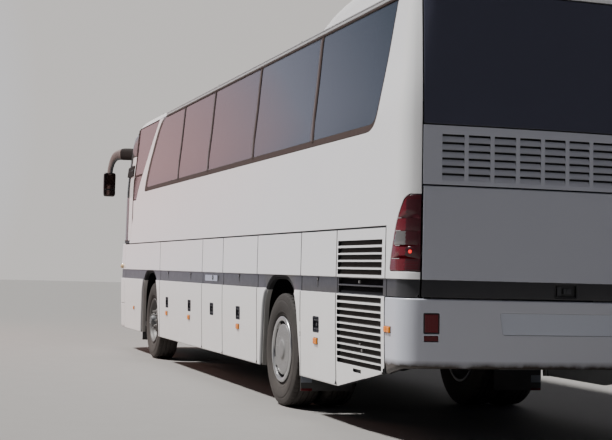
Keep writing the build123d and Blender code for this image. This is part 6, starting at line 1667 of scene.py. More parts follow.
for sd in (1, -1):
    nm = SIDES[sd]
    lp = head_loop(sd, -0.0015)
    ob = panel(f"head_lamp_{nm}_lens", FW, lp, t=0.0085, r=0.003, gs=0.08, gz=0.06, step=0.03, depth=lambda s, z: 0.0025, mat=LENSCLEAR)
    if sd > 0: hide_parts("head_lamps")
    panel(f"head_lamp_{nm}_housing", FW, offset(lp, 0.0005), [offset(lp, 0.0055)], t=0.084, r=0.0012, gs=0.08, gz=0.08, step=0.03, depth=lambda s, z: 0.010, mat=DARKGREY)
    panel(f"head_lamp_{nm}_back", FW, offset(lp, 0.0045), t=0.086, r=0.001, gs=0.08, gz=0.06, step=0.03, depth=lambda s, z: 0.080, mat=DARKGREY)
    m = Mesh()
    for y in (0.752, 0.958):
        s0 = fwy(0.835, y * sd)
        prof = [(0.090, 0.018), (0.088, 0.022), (0.083, 0.030), (0.072, 0.044), (0.056, 0.057), (0.036, 0.066), (0.018, 0.070), (0.0165, 0.074), (0.060, 0.062), (0.086, 0.036), (0.0925, 0.020)]
        n = 40
        V = []
        for r_, d_ in prof: V += [FW(s0 + r_ * math.cos(2 * PI * k / n), 0.835 + r_ * 0.98 * math.sin(2 * PI * k / n), d_) for k in range(n)]
        F = []
        for j in range(len(prof)):
            j2 = (j + 1) % len(prof)
            F += [(j * n + k, j * n + (k + 1) % n, j2 * n + (k + 1) % n, j2 * n + k) for k in range(n)]
        m.add(V, F, 0)
        m.rod(FW(s0, 0.835, 0.078), FW(s0, 0.835, 0.040), 0.017, 1, 16)
        m.rod(FW(s0, 0.835, 0.042), FW(s0, 0.835, 0.026), 0.013, 1, 16, 0.008)
    m.make(f"head_lamp_{nm}_reflectors", [CHROME, BULB], angle=40, slot="lamp_clear")
    # direction lamp at the corner
    a, b = sorted((fwy(0.835, 1.112 * sd), fwy(0.835, 1.205 * sd)))
    panel(f"front_indicator_{nm}", FW, rect(a, 0.745, b, 0.925, 0.020, 5), t=0.003, r=0.006, gs=0.05, gz=0.05, step=0.02, depth=lambda s, z: -0.010, mat=ORANGE)
    m = Mesh()
    for k in range(6): m.box(-0.0015, 0.0015, -0.0015, 0.0015, -0.078, 0.078, 0, 0, Matrix.Translation(FW(a + (b - a) * (k + 1) / 7, 0.835, -0.0105)))
    # side repeater over the stripe
    P = lambda dx, dz, d: SIDE[sd](5.37 + dx, 1.257 + dz, d)
    n = 20
    V = []
    for sc, d in ((1.0, 0.001), (1.0, -0.010), (0.92, -0.024), (0.70, -0.034), (0.35, -0.039), (0.02, -0.040)):
        V += [P(0.054 * sc * math.cos(2 * PI * k / n), 0.034 * sc * math.sin(2 * PI * k / n), d) for k in range(n)]
    F = [tuple(range(n)), tuple(range(5 * n, 6 * n))]
    for j in range(5): F += [(j * n + k, j * n + (k + 1) % n, (j + 1) * n + (k + 1) % n, (j + 1) * n + k) for k in range(n)]
    m.add(V, F, 0)
    m.make(f"side_repeater_{nm}", [REPEATER], angle=40, slot="lamp_clear")

tow_c = (fwy(0.56, 0.30), 0.56)
tow = [(tow_c[0] + 0.050 * math.cos(2 * PI * k / 36), tow_c[1] + 0.050 * math.sin(2 * PI * k / 36)) for k in range(36)]
ffog = {sd: rect(min(fwy(0.47, 0.70 * sd), fwy(0.47, 0.93 * sd)), 0.425, max(fwy(0.47, 0.70 * sd), fwy(0.47, 0.93 * sd)), 0.515, 0.018, 5) for sd in (1, -1)}
panel("front_bumper_skin", FW, rect(-FD, 0.331, FD, 0.692, 0.0), [tow, ffog[1], ffog[-1]], t=0.058, r=lambda s, z: 0.032 if z < 0.34 else 0.008 if z > 0.68 else 0.004, gs=0.1, gz=0.08,
      s_lines=FLN, step=0.04, mat=[WHITE, WHITE, INNER, EDGE], mat_fn=wall_mat, replaces=["front_bumper"])
m = Mesh()
for sd in (1, -1):
    a, b = sorted((fwy(0.47, 0.70 * sd), fwy(0.47, 0.93 * sd)))
    for z0, z1, a2, b2, d0, d1, mi in ((0.4255, 0.5145, a + 0.0005, b - 0.0005, 0.030, 0.034, 0), (0.434, 0.506, a + 0.010, b - 0.010, 0.006, 0.030, 1)):
        V = [FW(x_, z_, d_) for d_ in (d0, d1) for x_, z_ in ((a2, z0), ((a2 + b2) / 2, z0), (b2, z0), (b2, z1), ((a2 + b2) / 2, z1), (a2, z1))]
        m.add(V, [(0, 1, 2, 3, 4, 5), (6, 11, 10, 9, 8, 7)] + [(k, (k + 1) % 6, 6 + (k + 1) % 6, 6 + k) for k in range(6)], mi)
m.make("front_fog_lamps", [BLACKP, CLEARLENS], smooth=False, slot="lamp_clear")
# painted shade: the plate panel uses the recess's shaded tone
panel("front_plate_panel", FW, rect(-0.27, 0.435, 0.20, 0.555, 0.012, 4), t=0.002, r=0.003, gs=0.1, gz=0.1, step=0.06, depth=lambda s, z: -0.007, mat=PLATE_PAINT_SHADED)

# wipers
m = Mesh()
WP = lambda s, z, d: WS(s, z, d)
for piv, cen, half_l in ((0.98, 0.47, 0.42), (0.03, -0.46, 0.42)):
    zc = 1.745
    m.rod(WP(piv, 1.617, 0.004), WP(piv, 1.617, -0.034), 0.017, 0, 18)
    m.rod(WP(piv, 1.617, -0.034), WP(piv, 1.617, -0.044), 0.022, 0, 18, 0.017)
    arm = [WP(piv + (cen - piv) * t, 1.617 + (zc - 1.617) * t, -0.036 - 0.020 * math.sin(PI * t) + 0.004 * t) for t in np.linspace(0, 1, 9)]
    m.tube(arm, 0.009, 0, 10, radii=[0.013 - 0.006 * i / 8 for i in range(9)], flat=0.55)
    bl = [WP(cen + half_l * t, zc - 0.045 * t * (1 if cen > 0 else 1) - 0.004 * t * t, -0.022 - 0.006 * (1 - t * t)) for t in np.linspace(-1, 1, 17)]
    m.tube(bl, 0.0085, 0, 8, radii=[0.005 + 0.005 * (1 - (2 * i / 16 - 1) ** 2) for i in range(17)], flat=0.6)
    bl = [WP(cen + half_l * t, zc - 0.045 * t - 0.004 * t * t, -0.0065) for t in np.linspace(-1, 1, 17)]
    m.tube(bl, 0.0042, 1, 6)
    for t in (-0.7, -0.25, 0.25, 0.7):
        a = WP(cen + half_l * t, zc - 0.045 * t, -0.026); b = WP(cen + half_l * t, zc - 0.045 * t, -0.0065)
        m.rod(a, b, 0.0055, 0, 8)
m.make("wipers", [BLACKP, GASKET], angle=45, slot="plastic_black")

# ------------------------------------------------------------------ doors
DOORS = {"front_door": (4.080, 5.020, 0.400, 2.960, 1.750, 0.070), "middle_door": (-2.080, -1.280, 0.400, 2.325, 1.700, 0.080)}
for name, (x0, x1, z0, z1, wz, wx_) in DOORS.items():
    win = rect(x0 + wx_, wz, x1 - wx_, z1 - 0.080, 0.045, 6)
    handle = rect((x0 + 0.10) if name == "front_door" else (x1 - 0.22), 1.335, (x0 + 0.22) if name == "front_door" else (x1 - 0.10), 1.395, 0.012, 4)
    lines = [round(v, 3) for v in np.arange(x0, x1 + 0.01, 0.12)]
    panel(name + "_leaf", SIDE[-1], rect(x0, z0, x1, z1, 0.006, 3), [win, handle], t=0.044, r=lambda s, z: 0.010 if z < 0.41 else 0.0045, gs=0.12, gz=0.12, s_lines=lines, step=0.05,
          hard=GROOVE_Z + [1.598], depth=groove, mat=WALLM, mat_fn=wall_mat, body=name, replaces=[name])
    panel(name + "_pane", SIDE[-1], offset(win, 0.0012), t=0.020, r=0.0018, gs=0.12, gz=0.12, s_lines=lines, step=0.06, depth=lambda s, z: 0.008, mat=GLASS, body=name, replaces=[name + "_glass"])
    panel(name + "_seal", SIDE[-1], offset(win, -0.016), [offset(win, 0.014)], t=0.007, r=0.003, gs=0.12, gz=0.15, s_lines=lines, step=0.05, depth=lambda s, z: -0.0020, mat=GASKET, body=name)
    m = Mesh()
    hx0, hx1 = min(p[0] for p in handle), max(p[0] for p in handle)
    def dslab(a, b, c, d, d0, d1, mi):
        V = [SIDE[-1](x_, z_, d_) for d_ in (d0, d1) for x_, z_ in ((a, c), (b, c), (b, d), (a, d))]
        m.add(V, [(0, 1, 2, 3), (4, 7, 6, 5), (0, 4, 5, 1), (1, 5, 6, 2), (2, 6, 7, 3), (3, 7, 4, 0)], mi)
    dslab(hx0 + 0.001, hx1 - 0.001, 1.336, 1.394, 0.034, 0.038, 0)
    dslab(hx0 + 0.012, hx1 - 0.012, 1.372, 1.386, 0.004, 0.016, 1)
    m.rod(SIDE[-1]((hx0 + hx1) / 2, 1.352, 0.034), SIDE[-1]((hx0 + hx1) / 2, 1.352, 0.026), 0.010, 2, 16)
    # inner grab rail and seal strips on the upright edges
    gx = x1 - 0.17 if name == "front_door" else x0 + 0.17
    def inn(x_, z_, d_): return SIDE[-1](x_, z_, 0.044 + d_)
    m.tube([inn(gx, 1.05, 0.0), inn(gx, 1.06, 0.045), inn(gx, 1.12, 0.060), inn(gx, 1.35, 0.060), inn(gx, 1.54, 0.060), inn(gx, 1.60, 0.045), inn(gx, 1.61, 0.0)], 0.014, 3, 12)
    dslab(x0 + 0.003, x0 + 0.014, z0 + 0.02, z1 - 0.02, 0.0455, 0.056, 0)
    dslab(x1 - 0.014, x1 - 0.003, z0 + 0.02, z1 - 0.02, 0.0455, 0.056, 0)
    m.make(name + "_fittings", [BLACKP, DARKGREY, STEEL, STEEL], body=name, angle=40, slot="plastic_black")

# ------------------------------------------------------------------ mirrors
ARM = [(5.400, 1.030, 2.985, 0.088), (5.600, 1.100, 2.998, 0.092), (5.850, 1.215, 3.013, 0.092), (5.950, 1.305, 2.990, 0.076), (6.012, 1.352, 2.918, 0.058), (6.040, 1.380, 2.808, 0.049), (6.048, 1.390, 2.710, 0.047)]
ARMGREY = mat("arm_grey", (0.20, 0.165, 0.160), 0.46, spec=0.4, coat=0.15, var=0.06, rvar=0.08, scale=6, bump=0.05, bump_scale=120)
ARMBROWN = mat("arm_foot", (0.022, 0.010, 0.008), 0.70, spec=0.10, var=0.12, rvar=0.08, scale=9, bump=0.06, bump_scale=160)
HEADM = mat("mirror_shell", (0.030, 0.018, 0.017), 0.36, coat=0.3, var=0.12, rvar=0.08, scale=8, bump=0.06, bump_scale=240)
# painted reflection: the mirror glass is a dark brown metal that stands for what it reflects
MIRROR_PAINTED_REFLECTION = mat("mirror_glass", (0.085, 0.055, 0.050), 0.05, metal=0.75, var=0.06, rvar=0.02, scale=4)
for sd in (1, -1):
    nm = SIDES[sd]
    lift = 0.075 if sd < 0 else 0.0
    ctrl = [(x, sd * y, z + (lift if i < 4 else 0.0), r) for i, (x, y, z, r) in enumerate(ARM)]
    P3 = smooth_path([(x, y, z) for x, y, z, r in ctrl], 8)
    R1 = [v.x for v in smooth_path([(r, 0, 0) for x, y, z, r in ctrl], 8)]
    N_ = len(P3)
    upv = Vector((0, 0, 1))
    seg = 28
    V, F, MI = [], [], []
    cuts = []
    for i, p in enumerate(P3):
        d = (P3[min(i + 1, N_ - 1)] - P3[max(i - 1, 0)]).normalized()
        upv = (upv - d * upv.dot(d)).normalized()
        w_ = d.cross(upv)
        ra = R1[i]; rb = max(0.033, ra * 0.62)
        dark = 5.50 <= p.x <= 5.862
        grow = 1.0 if dark else 0.965
        for k in range(seg):
            a = 2 * PI * k / seg
            c_, s_ = math.cos(a), math.sin(a)
            q = 2 / 2.6
            V.append(p + (upv * math.copysign(abs(c_) ** q, c_) * ra + w_ * math.copysign(abs(s_) ** q, s_) * rb) * grow)
    for i in range(N_ - 1):
        xm = (P3[i].x + P3[i + 1].x) / 2
        for k in range(seg):
            F.append((i * seg + k, i * seg + (k + 1) % seg, (i + 1) * seg + (k + 1) % seg, (i + 1) * seg + k))
            inner_edge = seg * 0.36 < k < seg * 0.64 and xm > 5.86
            MI.append(1 if 5.50 <= xm <= 5.862 else 0 if xm < 5.50 else 3 if inner_edge else 2)
    F += [tuple(range(seg))[::-1], tuple(range((N_ - 1) * seg, N_ * seg))]; MI += [0, 2]
    m = Mesh(); m.V = V; m.F = F; m.M = MI
    ob = m.make(f"mirror_arm_{nm}", [ARMBROWN, MATTE, ARMGREY, DARKGREY], angle=50, slot="plastic_black")
    if sd > 0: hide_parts("mirrors")
    # head: rounded, a little narrower at the foot
    bm = bmesh.new()
    bmesh.ops.create_cube(bm, size=2.0)
    bmesh.ops.subdivide_edges(bm, edges=list(bm.edges), cuts=9, use_grid_fill=True)
    cy, hy, cz, hz = 1.3935, 0.0965, 2.537, 0.189
    for v in bm.verts:
        x, y, z = v.co
        nrm = (abs(x) ** 5 + abs(y) ** 9 + abs(z) ** 9)
        k = 1.0 / max(1e-6, nrm) ** (1 / 9)
        x, y, z = x * min(1.0, k * 1.0), y * min(1.0, k), z * min(1.0, k)
        taper = 1.0 - 0.045 * (0.5 - z / 2)
        bow = 0.008 * (1 - z * z)
        xx = 6.052 + (x * 0.047 if x > 0 else x * 0.050)
        if x > 0: xx -= 0.020 * (y * y) * 0.6 + 0.014 * z * z
        v.co = (xx, sd * (cy + y * hy * taper), cz + z * hz)
    m = Mesh()
    bm.verts.index_update()
    m.add([v.co.copy() for v in bm.verts], [[v.index for v in f.verts] for f in bm.faces], 0)
    bm.free()
    m.make(f"mirror_head_{nm}", [HEADM], angle=60, slot="plastic_black")
    # glass faces set in the back of the head: large above, small below; their dark brown is a painted reflection
    for q, (za, zb) in enumerate(((2.468, 2.708), (2.368, 2.452))):
        RF = lambda s, z, d: Vector((6.0024 + d, sd * s, z))
        fr = rect(1.309, za, 1.478, zb, 0.020, 6)
        panel(f"mirror_rim_{nm}_{q + 1}", RF, offset(fr, -0.005), [offset(fr, 0.0025)], t=0.006, r=0.0016, gs=0.2, gz=0.2, step=0.03, depth=lambda s, z: -0.0045, mat=BLACKP)
        panel(f"mirror_face_{nm}_{q + 1}", RF, offset(fr, 0.0015), t=0.006, r=0.0012, gs=0.2, gz=0.2, step=0.03, depth=lambda s, z: -0.0015, mat=MIRROR_PAINTED_REFLECTION)

# ------------------------------------------------------------------ seats
SEATM = mat("seat_shell", (0.055, 0.058, 0.065), 0.5, var=0.1, rvar=0.1, scale=8, bump=0.15, bump_scale=200)


def pad_mesh(m, L, W, T, to, nx=9, ny=9, crown=0.022, seams=(), roll=0.030, side=0.5, mi=0):
    """Stuffed pad L by W by T: crowned top, rolled rim, pinched seams. to(u, v, w) places it (w up from the base)."""
    n_ring = 4
    def stations(n, size, ax_):
        base = [(-0.5 + i / (n - 1)) for i in range(n)]
        sm = [at_ for axis, at_, d in seams if axis == ax_]
        keep = [q for q in base if all(abs(q - at_) * size > 0.024 for at_ in sm) or abs(abs(q) - 0.5) < 1e-9]
        return sorted(keep + [at_ + e / size for at_ in sm for e in (-0.013, 0.0, 0.013)])

    us, vs = stations(nx, L, "u"), stations(ny, W, "v")
    nx, ny = len(us), len(vs)
    idx = {}
    V, F = [], []

    def top(u, v):
        cu, cv = 1 - (2 * u) ** 4, 1 - (2 * v) ** 4
        h = T + crown * max(0, cu) ** 0.7 * max(0, cv) ** 0.7
        for axis, at_, d in seams:
            q = (u if axis == "u" else v) - at_
            h -= d * math.exp(-(q * (L if axis == "u" else W) / 0.011) ** 2)
        h += 0.0018 * math.sin(u * 31 + v * 13) * math.sin(v * 27 - u * 9)
        return h

    def rim(u, v, k):
        """k: 0 top edge … n_ring base."""
        a = PI / 2 * min(k, n_ring) / n_ring
        out = roll * math.sin(a) - roll
        du = math.copysign(1, u) if abs(abs(u) - 0.5) < 1e-6 else 0
        dv = math.copysign(1, v) if abs(abs(v) - 0.5) < 1e-6 else 0
        return du * out, dv * out, -roll * (1 - math.cos(a))

    def pos(u, v, k):
        du, dv, dh = rim(u, v, k)
        edge = abs(abs(u) - 0.5) < 1e-6 or abs(abs(v) - 0.5) < 1e-6
        uu = u * L - (0 if not edge else 0) + du
        vv = v * W + dv
        h = top(u, v) + dh
        return to(uu, vv, h)

    for i, u in enumerate(us):
        for j, v in enumerate(vs):
            uu = u * (1 - 2 * roll / L) if 0 < i < nx - 1 else u
            vv = v * (1 - 2 * roll / W) if 0 < j < ny - 1 else v
            idx[(i, j)] = len(V)
            V.append(pos(uu, vv, 0))
    for i in range(nx - 1):
        for j in range(ny - 1): F.append((idx[(i, j)], idx[(i + 1, j)], idx[(i + 1, j + 1)], idx[(i, j + 1)]))
    ring0 = [(i, 0) for i in range(nx)] + [(nx - 1, j) for j in range(1, ny)] + [(i, ny - 1) for i in range(nx - 2, -1, -1)] + [(0, j) for j in range(ny - 2, 0, -1)]
    prev = [idx[k] for k in ring0]
    for k in range(1, n_ring + 1):
        cur = []
        for i, j in ring0:
            cur.append(len(V)); V.append(pos(us[i], vs[j], k))
        for q in range(len(prev)):
            F.append((prev[q], cur[q], cur[(q + 1) % len(cur)], prev[(q + 1) % len(prev)]))
        prev = cur
    cur = []
    for i, j in ring0:
        cur.append(len(V)); V.append(to(us[i] * L * 0.985, vs[j] * W * 0.985, 0.0))
    for q in range(len(prev)): F.append((prev[q], cur[q], cur[(q + 1) % len(cur)], prev[(q + 1) % len(prev)]))
    F.append(tuple(cur)[::-1])
    m.add(V, F, mi)


FABRIC2 = mat("seat_side_cloth", (0.062, 0.070, 0.095), 0.92, var=0.22, rvar=0.04, scale=60, bump=0.45, bump_scale=480, sheen=0.25)


def seat_parts(pads, hard_, x, yc, half, z, facing=1, high=1.08, armrest=None):
    """One seat: stuffed cushion and back (into pads), shell and frame (into hard_). x is the front edge of the cushion."""
    Wd = 2 * half - 0.012
    # cushion
    def to(u, v, w): return Vector((x - 0.225 + u, yc + v, z + 0.345 + w + 0.020 * (u / 0.40)))
    pad_mesh(pads, 0.400, Wd, 0.070, to, 9, 9, 0.024, seams=(("u", 0.16, 0.010), ("v", -0.30, 0.006), ("v", 0.30, 0.006)))
    # back, leaning
    a = math.atan2(0.125, high - 0.44)
    ux, uz = -math.sin(a), math.cos(a)
    hb = (high - 0.475) / math.cos(a)
    base = Vector((x - 0.448, yc, z + 0.455))
    def tb(u, v, w):
        lift = u + hb / 2
        p = base + Vector((ux, 0, uz)) * lift
        narrow = 1 - 0.16 * max(0.0, (lift / hb - 0.70) / 0.30) ** 1.5
        return Vector((p.x + math.cos(a) * (w - 0.004), yc + v * narrow, p.z + math.sin(a) * w))
    pad_mesh(pads, hb, Wd, 0.058, tb, 13, 9, 0.022, seams=(("u", 0.235, 0.012), ("u", -0.16, 0.007), ("v", -0.30, 0.006), ("v", 0.30, 0.006)))
    # moulded shell behind the back, pan under the cushion
    def ts(u, v, w):
        lift = u + hb / 2
        p = base + Vector((ux, 0, uz)) * lift
        narrow = 1 - 0.16 * max(0.0, (lift / hb - 0.70) / 0.30) ** 1.5
        return Vector((p.x - math.cos(a) * (w + 0.006), yc + v * narrow, p.z - math.sin(a) * w))
    pad_mesh(hard_, hb - 0.01, Wd - 0.006, 0.014, ts, 7, 5, 0.010, roll=0.009, mi=0)
    hard_.box(x - 0.42, x - 0.035, yc - half + 0.014, yc + half - 0.014, z + 0.328, z + 0.343, 0, 0.004)
    # grip on the top corner
    hd = base + Vector((ux, 0, uz)) * (hb * 0.93)
    hard_.tube([hd + Vector((-0.012, -half * 0.55, 0)), hd + Vector((-0.048, -half * 0.52, 0.004)), hd + Vector((-0.052, 0, 0.006)), hd + Vector((-0.048, half * 0.52, 0.004)), hd + Vector((-0.012, half * 0.55, 0))], 0.009, 1, 8)


SX, SY0, SY1, SZ = 3.560, 0.240, 1.120, 1.450
for sd in (1, -1):
    pads, hard_ = Mesh(), Mesh()
    for i in range(12):
        if sd < 0 and i in (6, 7): continue
        x = SX - 0.800 * i
        for a, b in ((SY0, (SY0 + SY1) / 2), ((SY0 + SY1) / 2, SY1)):
            seat_parts(pads, hard_, x, sd * (a + b) / 2, (b - a) / 2, SZ)
        # pedestal, wall rail and aisle armrest of the double
        hard_.box(x - 0.36, x - 0.13, sd * 0.60 - 0.030, sd * 0.60 + 0.030, SZ + 0.001, SZ + 0.327, 1, 0.006)
        hard_.box(x - 0.39, x - 0.10, sd * 0.60 - 0.055, sd * 0.60 + 0.055, SZ + 0.0005, SZ + 0.012, 1, 0.003)
        hard_.box(x - 0.33, x - 0.16, min(sd * 0.300, sd * 1.060), max(sd * 0.300, sd * 1.060), SZ + 0.300, SZ + 0.327, 1, 0.004)
        ya = sd * (SY0 + 0.006)
        hard_.tube([(x - 0.45, ya, SZ + 0.60), (x - 0.30, ya, SZ + 0.625), (x - 0.16, ya, SZ + 0.622), (x - 0.13, ya, SZ + 0.612)], 0.017, 0, 10, radii=[0.015, 0.018, 0.018, 0.012])
        hard_.rod((x - 0.43, ya, SZ + 0.46), (x - 0.43, ya, SZ + 0.61), 0.011, 1, 10)
    ob = pads.make(f"passenger_pads_{SIDES[sd]}", [FABRIC], angle=60, slot="seat_fabric")
    if sd > 0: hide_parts("passenger_seats")
    hard_.make(f"passenger_seat_shells_{SIDES[sd]}", [SEATM, DARKGREY], angle=45, slot="plastic_black")
pads, hard_ = Mesh(), Mesh()
seat_parts(pads, hard_, 4.700, 0.620, 0.250, 0.950, high=1.03)
hard_.box(4.31, 4.59, 0.50, 0.74, 0.951, 1.10, 1, 0.01)
hard_.box(4.34, 4.56, 0.53, 0.71, 1.10, 1.277, 0, 0.012)
ob = pads.make("driver_pads", [FABRIC2], angle=60, slot="seat_fabric", replaces=["driver_seat"])
hard_.make("driver_seat_frame", [SEATM, DARKGREY], angle=45, slot="plastic_black")

# ------------------------------------------------------------------ dashboard and steering wheel
DASHM = mat("dash_moulding", (0.085, 0.085, 0.090), 0.58, var=0.08, rvar=0.08, scale=6, bump=0.25, bump_scale=340)
DASHL = mat("dash_lower", (0.20, 0.195, 0.19), 0.6, var=0.06, rvar=0.08, scale=6, bump=0.2, bump_scale=300)
GAUGE = mat("gauge_glass", (0.02, 0.02, 0.022), 0.12, coat=0.6, var=0.05, scale=8)
DASH = poly([(5.252, 0.962), (5.558, 0.962), (5.598, 1.250), (5.636, 1.556), (5.300, 1.596), (5.203, 1.520), (5.232, 1.300)], [0.02, 0.03, 0.0, 0.05, 0.05, 0.04, 0.03], 5)
ys = [-0.397, -0.390, -0.375] + [round(v, 3) for v in np.arange(-0.34, 1.06, 0.07)] + [1.055, 1.070, 1.077]
m = Mesh()
V, F = [], []
cxd = sum(p[0] for p in DASH) / len(DASH); czd = sum(p[1] for p in DASH) / len(DASH)
nD = len(DASH)
for y in ys:
    e = min(y - ys[0], ys[-1] - y)
    k = 1.0 if e > 0.02 else 1.0 - 0.035 * (1 - e / 0.02) ** 2
    hood = 0.0
    for x, z in DASH:
        lift = 0.0
        V.append((cxd + (x - cxd) * k, y, czd + (z - czd) * k + lift))
for j in range(len(ys) - 1): F += [(j * nD + k, j * nD + (k + 1) % nD, (j + 1) * nD + (k + 1) % nD, (j + 1) * nD + k) for k in range(nD)]
F += [tuple(range(nD)), tuple(range((len(ys) - 1) * nD, len(ys) * nD))]
m.add(V, F, 0)
# binnacle hood over the instruments, blank dials, switch rows, air vents, lower cover
hood = [(-0.27, 0.0), (-0.25, 0.050), (-0.17, 0.072), (0.0, 0.080), (0.17, 0.072), (0.25, 0.050), (0.27, 0.0)]
V, F = [], []
for x, kx in ((5.300, 1.0), (5.235, 0.96), (5.190, 0.90)):
    for q in (0.0, 0.010):
        V += [(x, 0.62 + dy * kx * (1 - q * 2), 1.575 + dz * kx - q) for dy, dz in hood]
nH = len(hood)
for a in range(2):
    o0, o1, i0, i1 = a * 2 * nH, (a + 1) * 2 * nH, a * 2 * nH + nH, (a + 1) * 2 * nH + nH
    for k in range(nH - 1):
        F += [(o0 + k, o0 + k + 1, o1 + k + 1, o1 + k), (i0 + k, i1 + k, i1 + k + 1, i0 + k + 1)]
    F += [(o0, o1, i1, i0), (o0 + nH - 1, i0 + nH - 1, i1 + nH - 1, o1 + nH - 1)]
for o, i in ((0, nH), (4 * nH, 5 * nH)):
    for k in range(nH - 1): F.append((o + k, i + k, i + k + 1, o + k + 1))
m.add(V, F, 0)
for dy, r_ in ((-0.14, 0.052), (0.0, 0.040), (0.14, 0.052)):
    c = Vector((5.232, 0.62 + dy, 1.560)); nrm_ = Vector((-0.86, 0, 0.51)).normalized()
    m.rod(c - nrm_ * 0.004, c + nrm_ * 0.006, r_, 1, 28)
    m.rod(c + nrm_ * 0.005, c + nrm_ * 0.0085, r_ * 0.86, 2, 28)
for j in range(2):
    for k in range(7):
        y = -0.02 + 0.055 * k; z = 1.40 + 0.06 * j
        x = 5.206 + (1.52 - z) * 0.13
        m.box(x - 0.008, x + 0.010, y - 0.019, y + 0.019, z - 0.018, z + 0.018, 1, 0.003)
for y in (-0.30, -0.20, 0.94, 1.02):
    m.box(5.196, 5.225, y - 0.035, y + 0.035, 1.415, 1.475, 1, 0.006)
    for k in range(4): m.box(5.190, 5.200, y - 0.030, y + 0.030, 1.424 + 0.012 * k, 1.428 + 0.012 * k, 0, 0.001)
m.box(5.224, 5.250, 0.30, 0.94, 1.02, 1.28, 3, 0.008)
for dy, w_ in ((-0.10, 0.05), (0.04, 0.045), (0.14, 0.045)):
    T = Matrix.Translation((5.13, 0.62 + dy, 1.02)) @ Matrix.Rotation(math.radians(-42), 4, "Y")
    m.box(-0.07, 0.07, -w_ / 2, w_ / 2, -0.006, 0.006, 1, 0.003, T)
    m.rod((5.16, 0.62 + dy, 1.04), (5.245, 0.62 + dy, 1.10), 0.008, 1, 8)
m.make("dashboard_moulding", [DASHM, BLACKP, GAUGE, DASHL], angle=35, replaces=["dashboard"], slot="plastic_black")

m = Mesh()
C0 = Vector((4.980, 0.620, 1.500))
tl = math.radians(62)
ax = Vector((math.cos(tl), 0, -math.sin(tl)))
ux_ = Vector((math.sin(tl), 0, math.cos(tl))); vy_ = Vector((0, 1, 0))
n, q = 72, 12
V, F = [], []
for k in range(n):
    a = 2 * PI * k / n
    rd = ux_ * math.cos(a) + vy_ * math.sin(a)
    for j in range(q):
        b = 2 * PI * j / q
        grip = 0.016 + (0.0008 if abs(math.sin(a * 18)) > 0.5 else 0)
        V.append(C0 + rd * (0.230 - 0.016 + math.cos(b) * grip) + ax * math.sin(b) * grip)
for k in range(n):
    for j in range(q): F.append((k * q + j, k * q + (j + 1) % q, ((k + 1) % n) * q + (j + 1) % q, ((k + 1) % n) * q + j))
m.add(V, F, 0)
for a in (PI / 2, -PI / 2, PI):
    rd = ux_ * math.cos(a) + vy_ * math.sin(a)
    m.tube([C0 + ax * 0.030 + rd * 0.040, C0 + ax * 0.024 + rd * 0.110, C0 + ax * 0.008 + rd * 0.175, C0 + rd * 0.206], 0.014, 1, 10, radii=[0.019, 0.016, 0.014, 0.013], flat=0.6)
m.rod(C0 + ax * 0.055, C0 + ax * 0.004, 0.062, 1, 32)
m.rod(C0 + ax * 0.004, C0 - ax * 0.006, 0.062, 1, 32, 0.048)
m.rod(C0 + ax * 0.055, C0 + ax * 0.400, 0.036, 1, 24, 0.030)
m.rod(C0 + ax * 0.090, C0 + ax * 0.190, 0.052, 1, 24)
for sy in (1, -1):
    m.tube([C0 + ax * 0.13 + vy_ * sy * 0.05, C0 + ax * 0.11 + vy_ * sy * 0.13, C0 + ax * 0.10 + vy_ * sy * 0.185], 0.007, 0, 8, radii=[0.007, 0.006, 0.009])
m.make("steering_wheel_skin", [BLACKP, DASHM], angle=45, replaces=["steering_wheel"], slot="plastic_black")

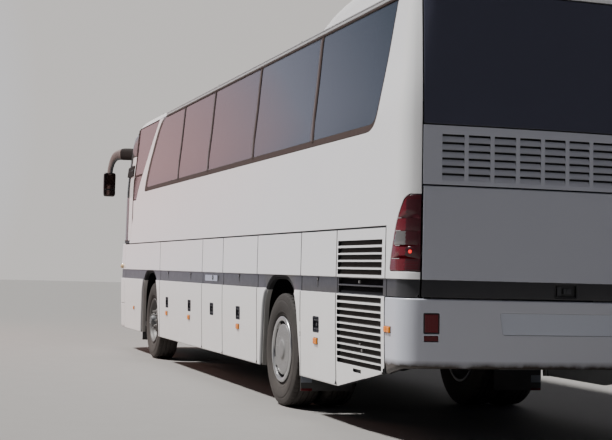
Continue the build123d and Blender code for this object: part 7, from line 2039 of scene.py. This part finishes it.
# ------------------------------------------------------------------ curtains: one closed, folded cloth each, hung from a rail
CURTM = mat("curtain_cloth", (0.50, 0.45, 0.41), 0.85, var=0.08, rvar=0.05, scale=14, bump=0.35, bump_scale=520, sheen=0.25)
CURTAINS = [(1.450, 1.750), (-1.780, -0.130), (-3.350, -2.080), (-4.020, -3.720)]
CZ0, CZ1, CTH = 2.404, 3.246, 0.0012
rails = Mesh()
for sd in (1, -1):
    for q, (xa, xb) in enumerate(CURTAINS):
        xa, xb = xa + 0.003, xb - 0.003
        wide = xb - xa
        waves = max(4, round(wide / (0.075 if wide > 1 else 0.043)))
        amp0 = 0.0100
        per = 10 if wide > 1 else 12
        nx_ = waves * per + 1
        nz_ = 13 if wide > 1 else 17
        rows_ = []
        area_len = 0.0
        for j in range(nz_):
            z = CZ0 + (CZ1 - CZ0) * j / (nz_ - 1)
            yc = 1.170 - (z - 2.4) * 0.075 / 0.85
            t_ = 1 - j / (nz_ - 1)
            rowp = []
            for i in range(nx_):
                u = i / (nx_ - 1)
                ph = 2 * PI * waves * u + 0.35 * math.sin(5 * u + 2.0 * t_) + 0.25 * math.sin(17 * u + q)
                amp = amp0 * (0.86 + 0.14 * math.sin(11 * u + q + 3 * t_))
                x = xa + wide * u + 0.0035 * math.sin(2 * ph) * (0.4 + 0.6 * t_)
                x = min(xb, max(xa, x))
                rowp.append((x, yc + amp * math.sin(ph) * (0.80 + 0.20 * t_), z))
            rows_.append(rowp)
        length = sum(math.dist(rows_[nz_ // 2][i], rows_[nz_ // 2][i + 1]) for i in range(nx_ - 1))
        tall = sum(math.dist(rows_[j][0], rows_[j + 1][0]) for j in range(nz_ - 1))
        V, F = [], []
        for o in (CTH / 2, -CTH / 2):
            for j in range(nz_):
                for i in range(nx_):
                    a = Vector(rows_[j][max(0, i - 1)]); b = Vector(rows_[j][min(nx_ - 1, i + 1)])
                    d = (b - a); d.z = 0; d.normalize()
                    nrm_ = Vector((-d.y, d.x, 0))
                    p = Vector(rows_[j][i]) + nrm_ * o
                    V.append((p.x, sd * p.y, p.z))
        N1 = nx_ * nz_
        at_ = lambda s_, j, i: s_ * N1 + j * nx_ + i
        for j in range(nz_ - 1):
            for i in range(nx_ - 1):
                F.append((at_(0, j, i), at_(0, j, i + 1), at_(0, j + 1, i + 1), at_(0, j + 1, i)))
                F.append((at_(1, j, i), at_(1, j + 1, i), at_(1, j + 1, i + 1), at_(1, j, i + 1)))
        for i in range(nx_ - 1):
            F.append((at_(0, 0, i), at_(1, 0, i), at_(1, 0, i + 1), at_(0, 0, i + 1)))
            F.append((at_(0, nz_ - 1, i), at_(0, nz_ - 1, i + 1), at_(1, nz_ - 1, i + 1), at_(1, nz_ - 1, i)))
        for j in range(nz_ - 1):
            F.append((at_(0, j, 0), at_(0, j + 1, 0), at_(1, j + 1, 0), at_(1, j, 0)))
            F.append((at_(0, j, nx_ - 1), at_(1, j, nx_ - 1), at_(1, j + 1, nx_ - 1), at_(0, j + 1, nx_ - 1)))
        m = Mesh(); m.add(V, F, 0)
        ob = m.make(f"curtain_{SIDES[sd]}_{q + 1}", [CURTM], angle=180, slot="curtain_fabric")
        if sd > 0 and q == 0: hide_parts("curtains")
        yr = 1.170 - (CZ1 + 0.010 - 2.4) * 0.075 / 0.85
        rails.rod((xa - 0.05, sd * yr, CZ1 + 0.012), (xb + 0.05, sd * yr, CZ1 + 0.012), 0.005, 0, 8)
rails.make("curtain_rails", [ALU], angle=45, slot="plastic_grey")

# ------------------------------------------------------------------ what stays as built: cabin floor, chassis, axles, engine
DARKHOUSE = mat("wheel_housing_coat", (0.014, 0.014, 0.015), 0.85, var=0.2, rvar=0.1, scale=9, bump=0.3, bump_scale=70)
HOLD = mat("hold_lining", (0.055, 0.056, 0.058), 0.75, var=0.15, rvar=0.1, scale=8, bump=0.2, bump_scale=90)
STAYS = {"saloon_floor": FLOORM, "cab_floor": FLOORM, "entrance_steps": FLOORM, "luggage_hold": HOLD, "wheel_housings": DARKHOUSE, "underframe": CHASSIS, "engine_block": IRON,
         "front_axle": CHASSIS, "rear_axle": CHASSIS, "air_springs": RUBBER, "knuckle_left": IRON, "knuckle_right": IRON, "track_rod": STEEL,
         "front_door_arms": STEEL, "middle_door_arms": STEEL}
for nm, mt in STAYS.items():
    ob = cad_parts.get(nm)
    if ob is None: continue
    ob.data.materials.clear()
    ob.data.materials.append(mt)
